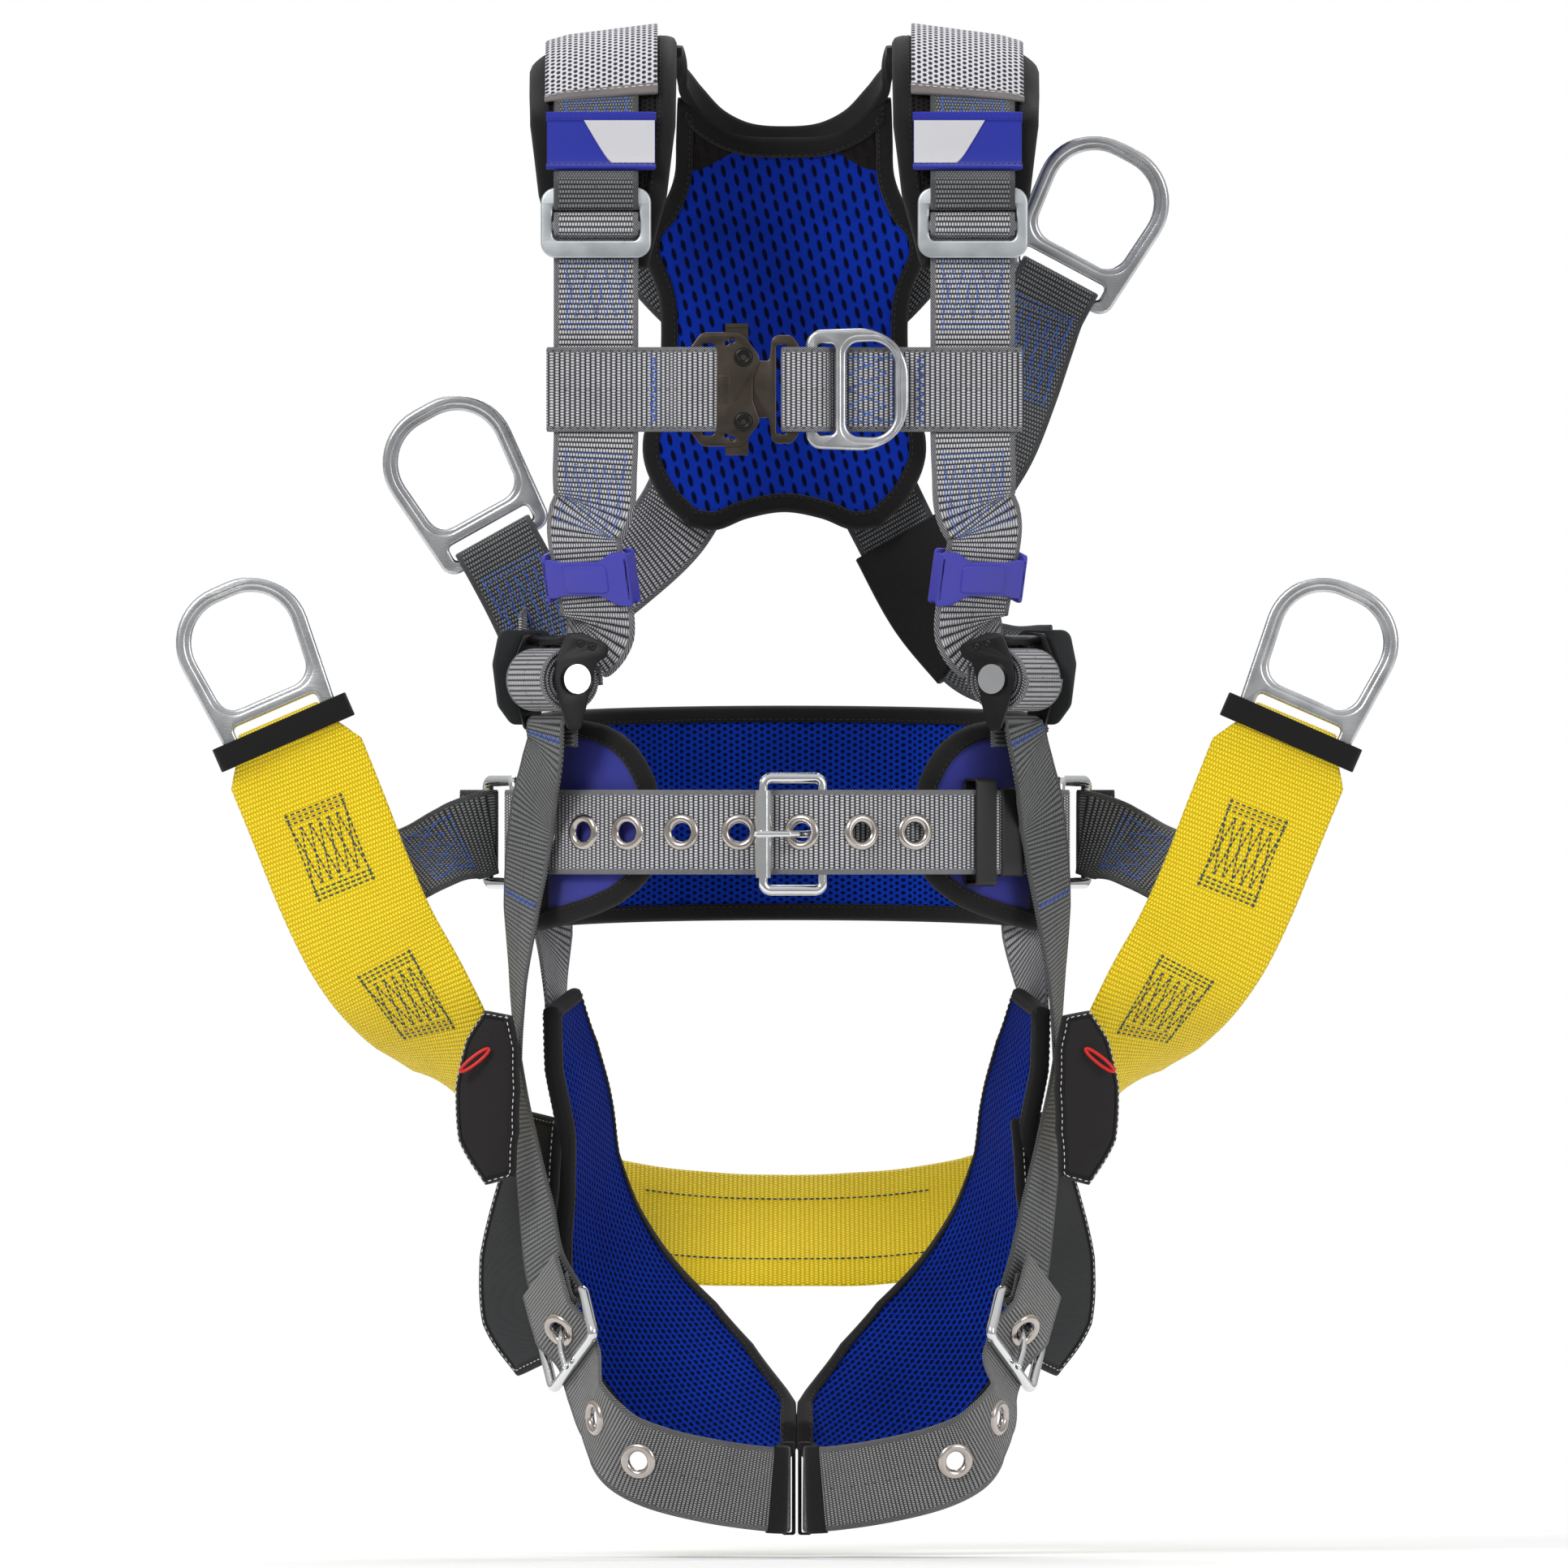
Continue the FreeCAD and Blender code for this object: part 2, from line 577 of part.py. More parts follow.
def adjuster_place(side):
    """Local X points inwards on the left and outwards on the right, Y up and Z along the axle."""
    centre = (side * SPOOL_OUT + TORSO_SHIFT, SPOOL_Y, SPOOL_Z)
    return frame_at(centre, (-AXIS_Y, AXIS_OUT * side, 0), (0, 0, 1))


def inward(side):
    """The horizontal direction square to the axle that points towards the wearer."""
    return Vector(side * AXIS_Y, -AXIS_OUT, 0)


# The cheek plate's outline in the adjuster's own axes, with X towards the wearer.
CHEEK = [(-4, 24), (4, 24.5), (20, 18), (19, 11.5), (13, 9), (9.5, -2), (7, -14), (3.4, -27), (-3.4, -27)]
CHEEK += [(-8, -14), (-12, 0), (-10.5, 9.5)]


def adjuster_frames():
    frames = []
    for name, side in SIDES:
        hand = -side
        label = f"torso_adjuster_frame_{name}"
        body = new_body(label)
        reach = size["cheek_gap"] / 2 + size["cheek_thick"] / 2
        half = size["cheek_gap"] / 2 + size["cheek_thick"]
        for rod_name, height in (("top", CROSS_TOP), ("low", CROSS_LOW)):
            rod = body.newObject("PartDesign::AdditiveCylinder", f"{label}_{rod_name}_rod")
            rod.setExpression("Radius", "Sizes.cross_rod / 2")
            rod.setExpression("Height", "Sizes.cheek_gap + 2 * Sizes.cheek_thick")
            rod.Placement.Base = Vector(0, height, -half)
            if rod_name == "top":
                doc.recompute()
                for cheek_name, z in (("front", reach), ("rear", -reach)):
                    sketch = new_sketch(body, f"{label}_{cheek_name}", offset=z)
                    outline_sketch(sketch, [(hand * x, y) for x, y in CHEEK])
                    pad(body, sketch, "Sizes.cheek_thick")
            doc.recompute()
        bore = body.newObject("PartDesign::SubtractiveCylinder", f"{label}_bore")
        bore.setExpression("Radius", "Sizes.axle_radius + 0.06")
        bore.Height = 80
        bore.Placement.Base = Vector(0, 0, -40)
        doc.recompute()
        body.Placement = adjuster_place(side)
        frames.append(body)
    pair = doc.addObject("Part::Compound", "torso_adjuster_frames")
    pair.Links = frames
    doc.recompute()
    keep("torso_adjuster_frames", pair)


def adjuster_spools():
    """The wound webbing is one closed roll on the axle, and the axle has a round head outside each cheek."""
    half = size["spool_long"] / 2
    outer_face = size["cheek_gap"] / 2 + size["cheek_thick"] + 0.3
    for name, side in SIDES:
        place = adjuster_place(side)
        roll = Part.makeCylinder(size["spool_radius"], 2 * half, Vector(0, 0, -half))
        roll = roll.cut(Part.makeCylinder(size["axle_radius"], 2 * half + 2, Vector(0, 0, -half - 1)))
        roll.Placement = place
        plain(f"adjuster_spool_{name}", roll)
        axle = Part.makeCylinder(size["axle_radius"], 2 * outer_face, Vector(0, 0, -outer_face))
        for z in (outer_face, -outer_face - size["axle_head_thick"]):
            head = Part.makeCylinder(size["axle_head_radius"], size["axle_head_thick"], Vector(0, 0, z))
            axle = axle.fuse(head)
        axle.Placement = place
        plain(f"adjuster_axle_{name}", axle)


def adjuster_guards():
    """A soft guard plate outside each rear cheek."""
    shapes = []
    start = size["cheek_gap"] / 2 + size["cheek_thick"] + size["axle_head_thick"] + 1.2
    for name, side in SIDES:
        hand = -side
        outline = [(-15, 26), (14, 26), (19, 12), (14, -10), (4, -24), (-8, -24), (-16, -14), (-19, 8)]
        points = [Vector(hand * x, y, -start) for x, y in outline]
        guard = Part.Face(Part.makePolygon(points + [points[0]])).extrude(Vector(0, 0, -3))
        guard.Placement = adjuster_place(side)
        shapes.append(guard)
    plain("adjuster_guards", Part.makeCompound(shapes))


KEEPER_OUT, KEEPER_Y, KEEPER_Z = 101.8, -79.0, 134.0
KEEPER_TURN = math.radians(30)
KEEPER_LEAN = (1.6, 13.0)  # how far the strap moves outwards and back over 40 mm down, through the keeper


def keeper_place(side):
    """Local X runs across the strap and Y up along it."""
    centre = (side * KEEPER_OUT + TORSO_SHIFT, KEEPER_Y, KEEPER_Z)
    across = (math.cos(KEEPER_TURN), side * math.sin(KEEPER_TURN), 0)
    up = (-side * KEEPER_LEAN[0], -KEEPER_LEAN[1], 40.0)
    return frame_at(centre, across, up)


def front_straps():
    """From the slide bar's fold, through the chest sleeve and the keeper, to the spool."""
    half_thick = size["web_thick"] / 2
    spare = 2.0  # room above the slide bar, for it to lift when the strap is let out
    for name, side in SIDES:
        shift = TORSO_SHIFT
        out = STRAP_OUT
        bar = Vector(side * out + shift, FRAME_Y, SLIDE_BAR_Z + spare)
        flap = stations(side, [(out, -92.8, 262, 0, 1, 0), (out, -92.8, 305, 0, 1, 0)], shift)
        flap += [(bar + Vector(0, 4.4, -spare), Vector(0, 1, 0))]
        fold = turn(bar, (0, 0, 1), (0, 1, 0), 4.4, 0)
        dive = stations(
            side,
            [
                (out, -103.9, 318, 0, -1, -0.1),
                (out, -103.4, 316.0, 0, -0.9, -0.5),
                (out, -100.3, 314.2, 0, -0.5, -1),
                (out, -96.3, 312.9, 0, -0.8, -0.8),
                (out, -95.0, 308, 0, -1, -0.1),
            ],
            shift,
        )
        run = stations(
            side,
            [
                (out, -95.2, 292, 0, -1, 0),
                (out, -98.6, 272, 0, -1, 0),
                (out, -100.05, 258, 0, -1, 0),
                (out, -100.05, 207, 0, -1, 0),
                (out + 0.6, -97.6, 190, 0.1, -1, 0),
                (out + 1.4, -91.5, 171, 0.25, -1, 0),
            ],
            shift,
        )
        place = keeper_place(side)
        ahead = lean(place, 0, 0, 1)
        ahead = ahead if ahead.y < 0 else -ahead
        run += [(spot(place, 0, along, 0), ahead) for along in (27, 0, -27)]
        touch = Vector(side * SPOOL_OUT + shift, SPOOL_Y, SPOOL_Z) + inward(side) * (
            size["spool_radius"] + half_thick + 0.6
        )
        end = [(touch + Vector(0, 0, 12), -inward(side)), (touch - Vector(0, 0, 4), -inward(side))]
        route = flap + fold + dive + run + end
        plain(f"front_strap_{name}", ribbon(route, size["web_width"], size["web_thick"]))


def lanyard_keepers():
    """A moulded clip on each front strap, that parks a lanyard hook."""
    for name, side in SIDES:
        label = f"lanyard_keeper_{name}"
        body = new_body(label)
        outer = new_sketch(body, label + "_outer")
        tall = size["keeper_tall"] / 2
        wide = value("keeper_wide")
        taper_sketch(outer, wide, wide, (-tall, "-Sizes.keeper_tall / 2"), (tall, "Sizes.keeper_tall / 2"))
        blank = pad(body, outer, "Sizes.keeper_thick")
        slot = body.newObject("PartDesign::SubtractiveBox", label + "_slot")
        slot.setExpression("Length", "Sizes.keeper_slot_wide")
        slot.Width = size["keeper_tall"] * 2
        slot.setExpression("Height", "Sizes.keeper_slot_thick")
        slot_wide, slot_thick = size["keeper_slot_wide"], size["keeper_slot_thick"]
        slot.Placement.Base = Vector(-slot_wide / 2, -size["keeper_tall"], -slot_thick / 2)
        doc.recompute()
        body.Placement = keeper_place(side)
        keep(label, body)


# ---------------------------------------------------------------- chest strap and its buckle

HOUSING_X = -32.5
TONGUE_BAR_X = 0.5
CHEST_RING_X = 13.0


def flat_run(points):
    """Stations in the chest strap's plane, as (X, Y, normal X, normal Y) rows."""
    return [(Vector(x, y, CHEST_Z), Vector(nx, ny, 0)) for x, y, nx, ny in points]


def chest_straps():
    """Each half folds round its front strap as a sleeve, and its other end round its buckle half."""
    sleeve_y, gap = -100.05, 2.5
    left_edge = -(STRAP_OUT + 0.2 + size["web_width"] / 2) + TORSO_SHIFT - 0.3
    right_edge = STRAP_OUT + 0.2 + size["web_width"] / 2 + TORSO_SHIFT + 0.3
    bar_y = size["housing_thick"] / 2 + 0.4 + size["web_thick"] / 2
    left = flat_run([(-70, sleeve_y + gap, 0, 1), (-95, sleeve_y + gap, 0, 1)])
    left += turn((left_edge, sleeve_y, CHEST_Z), (-1, 0, 0), (0, 1, 0), gap, 0)
    left += flat_run([(-95, sleeve_y - gap, 0, -1), (-77, sleeve_y - gap, 0, -1)])
    left += flat_run([(-70, -104.0, -0.2, -1), (-62, -107.5, -0.6, -1), (-55, CHEST_Y - bar_y, -0.2, -1)])
    window = HOUSING_X - 9.0
    left += turn((window, CHEST_Y, CHEST_Z), (1, 0, 0), (0, -1, 0), bar_y, 0)
    left += flat_run([(-54, CHEST_Y + bar_y, 0, 1), (-62, -102.6, 0.1, 1), (-68, -101.2, 0.2, 1)])
    plain("chest_strap_left", ribbon(left, size["web_width"], size["web_thick"]))

    tongue_y = size["tongue_thick"] / 2 + 1.2 + size["web_thick"] / 2
    right = flat_run([(68, sleeve_y + gap, 0, 1), (95, sleeve_y + gap, 0, 1)])
    right += turn((right_edge, sleeve_y, CHEST_Z), (1, 0, 0), (0, 1, 0), gap, 0)
    right += flat_run([(95, sleeve_y - gap, 0, -1), (70, sleeve_y - gap, 0, -1), (36, -102.8, 0, -1)])
    right += flat_run([(27.5, -102.9, 0.1, -1), (23.0, -105.0, 0.6, -0.8), (20.6, -110, 0.85, -0.5)])
    right += flat_run([(17.8, -113.1, 0.5, -0.9), (12.5, -114.3, 0, -1), (5, -113.2, -0.1, -1)])
    right += turn((TONGUE_BAR_X + 1.0, CHEST_Y, CHEST_Z), (-1, 0, 0), (0, -1, 0), tongue_y, 0)
    right += flat_run([(6.5, -104.0, 0.2, 1), (10.5, -102.6, 0.1, 1), (17, -102.3, 0, 1)])
    right += flat_run([(25, -100.9, 0.1, 1), (34, -100.5, 0, 1)])
    right += flat_run([(64, -100.2, 0, 1)])
    plain("chest_strap_right", ribbon(right, size["web_width"], size["web_thick"]))


def chest_housing():
    """The buckle's fixed half: a strap window on one side, and a mouth for the tongue plate on the other."""
    label = "chest_buckle_housing"
    body = new_body(label)
    outer = new_sketch(body, label + "_outer")
    wide, tall = size["housing_wide"] / 2, size["housing_tall"] / 2
    outline_sketch(
        outer,
        [(-wide, -22), (-wide + 6, -tall), (wide - 10, -tall), (wide, -17), (wide - 4, -6), (wide - 4, 6)]
        + [(wide, 17), (wide - 10, tall), (-wide + 6, tall), (-wide, 22)],
    )
    blank = pad(body, outer, "Sizes.housing_thick")

    def corners(edge):
        return upright(edge, -999, 999) and abs(edge.Vertexes[0].Y) > tall - 1

    round_edges(body, blank, corners, "Sizes.housing_round / 2")
    mouth_middle = wide - size["mouth_deep"]
    window_wide, window_tall = "Sizes.housing_window_wide", "Sizes.housing_window_tall"
    cuts = [
        ("window", window_wide, window_tall, "Sizes.housing_thick * 2", (-9, 0)),
        ("mouth", "Sizes.mouth_deep * 2", "Sizes.mouth_tall", "Sizes.mouth_thick", (mouth_middle, 0)),
        ("latch_low", "12.6", "8", "Sizes.mouth_thick", (-0.3, -tall - 1)),
        ("latch_high", "12.6", "8", "Sizes.mouth_thick", (-0.3, tall - 7)),
    ]
    for name, x_size, y_size, z_size, (x, y) in cuts:
        before = body.Shape.Volume
        box = body.newObject("PartDesign::SubtractiveBox", f"{label}_{name}")
        box.setExpression("Length", x_size)
        box.setExpression("Width", y_size)
        box.setExpression("Height", z_size)
        doc.recompute()
        low = y if name.startswith("latch") else -box.Width.Value / 2
        box.Placement.Base = Vector(x, low, -box.Height.Value / 2)
        doc.recompute()
        if body.Shape.Volume > before - 1:
            raise RuntimeError(f"{name} cut nothing")
    body.Placement = frame_at((HOUSING_X, CHEST_Y, CHEST_Z), (1, 0, 0), (0, 0, 1))
    keep(label, body)
    latches_and_rivets(tall)


def latches_and_rivets(tall):
    """A spring-loaded release tab at each end of the housing, and two rivets through it."""
    thick = size["mouth_thick"] - 0.6
    for name, up in (("upper", 1), ("lower", -1)):
        tab = Part.makeBox(12.0, thick, 6.8, Vector(0, -thick / 2, 0))
        thumb = Part.makeBox(12.0, thick + 2.0, 2.0, Vector(0, -thick / 2 - 1, 6.8))
        shape = tab.fuse(thumb).removeSplitter()
        start = tall - 4.2
        base = Vector(HOUSING_X, CHEST_Y, CHEST_Z)
        if up < 0:
            shape.rotate(Vector(6, 0, 0), Vector(0, 1, 0), 180)
        shape.translate(base + Vector(0, 0, up * start))
        plain(f"chest_latch_{name}", shape)
    rivets = []
    for z in (-20.5, 20.5):
        stem = size["housing_thick"]
        for face in (-1, 1):
            head = Part.makeCylinder(size["rivet_radius"], 1.2, Vector(0, 0, 0), Vector(0, face, 0))
            head.translate(Vector(HOUSING_X + 9.5, CHEST_Y + face * (stem / 2 + 0.02), CHEST_Z + z))
            rivets.append(head)
    plain("chest_buckle_rivets", Part.makeCompound(rivets))


def chest_tongue():
    """The buckle's moving half: a plate with a strap slot, whose tip sits in the housing's mouth."""
    label = "chest_buckle_tongue"
    body = new_body(label)
    outer = new_sketch(body, label + "_outer")
    tall = size["tongue_tall"] / 2
    outline_sketch(
        outer,
        [(-25.3, -13), (-21.0, -15), (-10, -15), (-8.5, -tall), (2, -tall), (5.5, -tall + 5), (5.5, tall - 5)]
        + [(2, tall), (-8.5, tall), (-10, 15), (-21.0, 15), (-25.3, 13)],
    )
    pad(body, outer, "Sizes.tongue_thick")
    slot = new_sketch(body, label + "_slot")
    outline_sketch(slot, [(-6.3, -23.4), (-0.8, -23.4), (-0.8, 23.4), (-6.3, 23.4)])
    cut_through(body, slot, "Sizes.tongue_thick * 2")
    body.Placement = frame_at((TONGUE_BAR_X, CHEST_Y, CHEST_Z), (1, 0, 0), (0, 0, 1))
    keep(label, body)


# ---------------------------------------------------------------- waist pad, belt and its buckle


def belt_station(degrees, extra=0.0, z=0.0):
    """A point on the belt's ellipse, from the front's middle round towards +X, with its outward normal."""
    angle = math.radians(degrees)
    wide, deep = size["belt_half_wide"] + extra, size["belt_half_deep"] + extra
    point = Vector(wide * math.sin(angle), -deep * math.cos(angle), z)
    normal = Vector(math.sin(angle) / wide, -math.cos(angle) / deep, 0).normalize()
    return point, normal


def waist_pad():
    """A padded wrap open at the front, whose two front flaps have rounded ends."""
    inset = -(size["waist_pad_thick"] / 2 + 5.0)
    route = []
    for degrees in range(30, 331, 10):
        lift = 10.0 * (1 - math.cos(math.radians(degrees))) / 2
        route.append(belt_station(degrees, inset, lift))
    shape = ribbon(route, size["waist_pad_tall"], size["waist_pad_thick"])
    tall = size["waist_pad_tall"]
    for side in (-1, 1):
        upper = [(60, 20), (66, 20), (78, 46), (96, 57), (96, tall), (60, tall)]
        lower = [(60, -6), (66, -14), (78, -31), (104, -45), (128, -56), (128, -tall), (60, -tall)]
        for outline in (upper, lower):
            points = [Vector(side * x, -140, z) for x, z in outline]
            block = Part.Face(Part.makePolygon(points + [points[0]])).extrude(Vector(0, 120, 0))
            shape = shape.cut(block)
    plain("waist_pad", shape.Solids[0])


ROLLER_BAR = Vector(-12.5, -111.4, -1.0)
PIVOT_BAR = Vector(18.5, -106.6, -1.0)
HIP_BAR = (143.5, -11.0)
HIP_END = (157.9, 17.6)
PIN_HOLE = 7.7  # X of the grommet that the belt tongue passes


def belt_weave():
    """The grommet strap's route through the buckle: behind the roller, then in front of the pivot bar."""
    route = [belt_station(angle) for angle in (-68, -60, -52, -44, -36, -28, -20, -13)]
    middle = [(-14, -104.4, 0.05, -1), (-4, -106.6, -0.25, -1), (7.7, -110.4, -0.3, -1)]
    middle += [(17, -113.2, -0.15, -1)]
    middle += [(27, -113.6, 0.05, -1), (37, -111.2, 0.25, -1)]
    route += [(Vector(x, y, 0), Vector(nx, ny, 0).normalize()) for x, y, nx, ny in middle]
    route += [belt_station(angle, 4.6) for angle in (21, 28, 35, 42, 49, 53)]
    return route


def along_route(route, x):
    """The point and normal where a route crosses the given X."""
    for (p, n), (q, m) in zip(route, route[1:]):
        if min(p.x, q.x) <= x <= max(p.x, q.x) and abs(q.x - p.x) > 1e-6:
            share = (x - p.x) / (q.x - p.x)
            tangent = (q - p).normalize()
            across = Vector(0, 0, 1)
            normal = tangent.cross(across).normalize()
            return p + (q - p) * share, (normal if normal.y < 0 else -normal)
    raise RuntimeError(f"the route never crosses {x}")


# X of every grommet in the belt, about 31 mm apart along the webbing.
BELT_HOLES = (-127.0, -107.5, -83.5, -55.5, -25.0, PIN_HOLE, 38.5, 66.5)


def belt_straps():
    radius = fold_radius(size["hip_rod"] / 2 + 0.2)
    weave = belt_weave()
    hip = Vector(-HIP_BAR[0], HIP_BAR[1], 0)
    back = turn(hip, (-0.1, 1, 0), (-1, -0.1, 0), radius, 16)[::-1]
    left = ribbon(back + [(p, n) for p, n in weave], size["web_width"], size["web_thick"])
    hole = size["eyelet_hole"] + size["eyelet_wall"] + 0.25
    for x in BELT_HOLES:
        point, normal = along_route(weave, x)
        left = left.cut(Part.makeCylinder(hole, 12, point - normal * 6, normal))
    plain("belt_strap_left", left)

    hip = Vector(HIP_BAR[0], HIP_BAR[1], 0)
    start = turn(hip, (0.1, 1, 0), (1, -0.1, 0), radius, 16)[::-1]
    run = [belt_station(angle) for angle in (68, 60, 52, 44, 36, 28, 20)]
    fold_in = fold_radius(size["rod"] / 2)
    pivot = Vector(PIVOT_BAR.x, PIVOT_BAR.y, 0)
    end = [(p, -n) for p, n in turn(pivot, (-1, 0, 0), (0, 1, 0), fold_in, 9)]
    right = ribbon(start + run + end, size["web_width"], size["web_thick"])
    gap = size["knuckle_long"] + 2
    notch = Part.makeBox(16.5, 14, gap, Vector(PIVOT_BAR.x - 9.5, PIVOT_BAR.y - 7, -gap / 2 + PIVOT_BAR.z))
    plain("belt_strap_right", right.cut(notch))


def eyelet():
    """One grommet about the Z axis: a barrel with a flange at each end."""
    hole, wall = size["eyelet_hole"], size["eyelet_wall"]
    grip, lip, flange = size["eyelet_grip"], size["eyelet_lip"], size["eyelet_radius"]
    outline = [(hole, -grip - lip), (flange, -grip - lip), (flange, -grip), (hole + wall, -grip)]
    outline += [(hole + wall, grip), (flange, grip), (flange, grip + lip), (hole, grip + lip)]
    points = [Vector(r, 0, z) for r, z in outline]
    face = Part.Face(Part.makePolygon(points + [points[0]]))
    return face.revolve(Vector(0, 0, 0), Vector(0, 0, 1), 360)


def eyelets_on(route, places, find=along_route):
    """A grommet at each place on a route, square to the webbing."""
    found = []
    for where in places:
        point, normal = find(route, where)
        one = eyelet()
        one.Placement = FreeCAD.Placement(point, FreeCAD.Rotation(Vector(0, 0, 1), normal))
        found.append(one)
    return found


def belt_grommets():
    plain("belt_grommets", Part.makeCompound(eyelets_on(belt_weave(), BELT_HOLES)))


def tongue_shape(points):
    """A buckle tongue about the Y axis: a knuckle, and a bent pin through the given (X, Z) points."""
    long = size["knuckle_long"]
    knuckle = Part.makeCylinder(size["knuckle_radius"], long, Vector(0, -long / 2, 0), Vector(0, 1, 0))
    shape = knuckle
    radius = size["pin_radius"]
    spots = [Vector(x, 0, z) for x, z in points]
    for a, b in zip(spots, spots[1:]):
        shape = shape.fuse(Part.makeCylinder(radius, (b - a).Length, a, b - a))
        shape = shape.fuse(Part.makeSphere(radius, b))
    bore = Part.makeCylinder(size["knuckle_bore"], long + 2, Vector(0, -long / 2 - 1, 0), Vector(0, 1, 0))
    return shape.cut(bore)


def belt_buckle():
    rise = ROLLER_BAR - PIVOT_BAR
    place = frame_at(tuple(PIVOT_BAR), tuple(rise), (0, 0, 1))
    plain("belt_buckle_frame", rod_frame("belt_frame_wide", "belt_frame_tall", "rod", place))
    long = size["roller_long"]
    roller = Part.makeCylinder(size["roller_radius"], long, Vector(0, -long / 2, 0), Vector(0, 1, 0))
    bore = Part.makeCylinder(size["roller_bore"], long + 2, Vector(0, -long / 2 - 1, 0), Vector(0, 1, 0))
    roller = roller.cut(bore)
    roller.Placement = frame_at(tuple(ROLLER_BAR), tuple(rise), (0, 0, 1))
    plain("belt_buckle_roller", roller)
    tongue = tongue_shape([(3.7, -0.6), (8.8, 0.6), (13.4, 7.4), (17.5, 10.8), (25, 12.2), (34.5, 11.6)])
    side_view = frame_at(tuple(PIVOT_BAR), (-1, 0, 0), (0, 0, -1))
    tongue.Placement = side_view
    plain("belt_buckle_tongue", tongue)


BELT_KEEPER_ANGLE = 44.5


def belt_keeper():
    """A moulded loop that holds the belt's tail against the belt."""
    label = "belt_keeper"
    body = new_body(label)
    wall, gap = size["belt_keeper_wall"], size["belt_keeper_gap"]
    outer = body.newObject("PartDesign::AdditiveBox", label + "_outer")
    outer.setExpression("Length", "Sizes.belt_keeper_wide")
    outer.setExpression("Width", "Sizes.belt_keeper_tall")
    outer.setExpression("Height", "Sizes.belt_keeper_gap + 2 * Sizes.belt_keeper_wall")
    half_wide, half_tall = size["belt_keeper_wide"] / 2, size["belt_keeper_tall"] / 2
    outer.Placement.Base = Vector(-half_wide, -half_tall, -wall - gap / 2)
    doc.recompute()
    inner = body.newObject("PartDesign::SubtractiveBox", label + "_inner")
    inner.Length = 60
    inner.setExpression("Width", "Sizes.belt_keeper_tall - 2 * Sizes.belt_keeper_wall")
    inner.setExpression("Height", "Sizes.belt_keeper_gap")
    inner.Placement.Base = Vector(-30, -size["belt_keeper_tall"] / 2 + wall, -gap / 2)
    doc.recompute()
    point, normal = belt_station(BELT_KEEPER_ANGLE, 2.2)
    across = Vector(-normal.y, normal.x, 0)
    body.Placement = frame_at(tuple(point), tuple(across), (0, 0, 1))
    keep(label, body)


def hip_rings():
    """A rod ring at each hip, between the belt and the strap that leads to the sling."""
    for name, side in SIDES:
        place = frame_at(
            (side * HIP_BAR[0], HIP_BAR[1], 0),
            (side * (HIP_END[0] - HIP_BAR[0]), HIP_END[1] - HIP_BAR[1], 0),
            (0, 0, 1),
        )
        plain(f"hip_ring_{name}", rod_frame("hip_ring_wide", "hip_ring_tall", "hip_rod", place))


def hip_link_straps():
    """A short strap from each hip ring to the back of the sling's arm."""
    radius = fold_radius(size["hip_rod"] / 2 + 0.2)
    shapes = []
    for name, side in SIDES:
        bar = Vector(side * HIP_END[0], HIP_END[1], 0)
        fold = turn(bar, (side * -0.88, 0.46, 0), (side * -0.46, -0.88, 0), radius, 14)[::-1]
        route = [(174, 5, -6, 0.5, -0.87, 0), (190, -7, -13, 0.55, -0.83, 0), (206, -20, -20, 0.5, -0.87, 0)]
        route += [(217, -25.2, -26, 0.35, -0.93, 0), (226, -28.4, -30, 0.25, -0.97, 0)]
        shapes.append(ribbon(fold + stations(side, route), size["web_width"], size["web_thick"]))
    plain("hip_link_straps", Part.makeCompound(shapes))


# ---------------------------------------------------------------- straps down the sides and back

LEG_BUCKLE = (121.0, -45.0, -254.0)
LEG_OUT = Vector(0.88, -0.47, 0.0)
LEG_DOWN = Vector(-0.2, -0.5, -0.84)


def mirrored(side, v, shift=0.0):
    return Vector(side * v[0] + shift, v[1], v[2])


def side_straps():
    """From the torso adjuster's lower rod, over the belt and down the hip, to the leg buckle."""
    shapes = []
    for name, side in SIDES:
        place = adjuster_place(side)
        low_rod = spot(place, 0, CROSS_LOW, 0)
        fold = turn(low_rod, (0, 0, 1), -inward(side), fold_radius(size["cross_rod"] / 2), 12)[::-1]
        run = [
            (127.5, -69, 42, 0.9, -0.44, 0),
            (130, -59, 28, 0.86, -0.5, 0),
            (133.5, -47.5, 10, 0.83, -0.55, 0),
            (137.5, -43, -18, 0.86, -0.5, 0),
            (140.5, -38, -44, 0.92, -0.4, 0),
            (142, -30, -76, 0.98, -0.2, 0),
            (141.5, -24, -118, 1, -0.05, 0),
            (138, -23, -160, 0.97, -0.25, 0.05),
            (132, -28, -200, 0.92, -0.38, 0.1),
            (126.5, -36, -232, 0.88, -0.47, 0.0),
        ]
        down = Vector(side * LEG_DOWN.x, LEG_DOWN.y, LEG_DOWN.z)
        out = Vector(side * LEG_OUT.x, LEG_OUT.y, LEG_OUT.z)
        bar = mirrored(side, LEG_BUCKLE, LEG_SHIFT / 2)
        end = [(p, -n) for p, n in turn(bar, down, -out, fold_radius(size["rod"] / 2), 12)]
        shape = ribbon(fold + stations(side, run) + end, size["web_width"], size["web_thick"])
        notch_wide = size["knuckle_long"] + 2
        notch = Part.makeBox(20, notch_wide, 13.5, Vector(-8.5, -notch_wide / 2, -6.75))
        notch.Placement = leg_buckle_place(side)
        shapes.append(shape.cut(notch))
    plain("side_straps", Part.makeCompound(shapes + thigh_risers()))


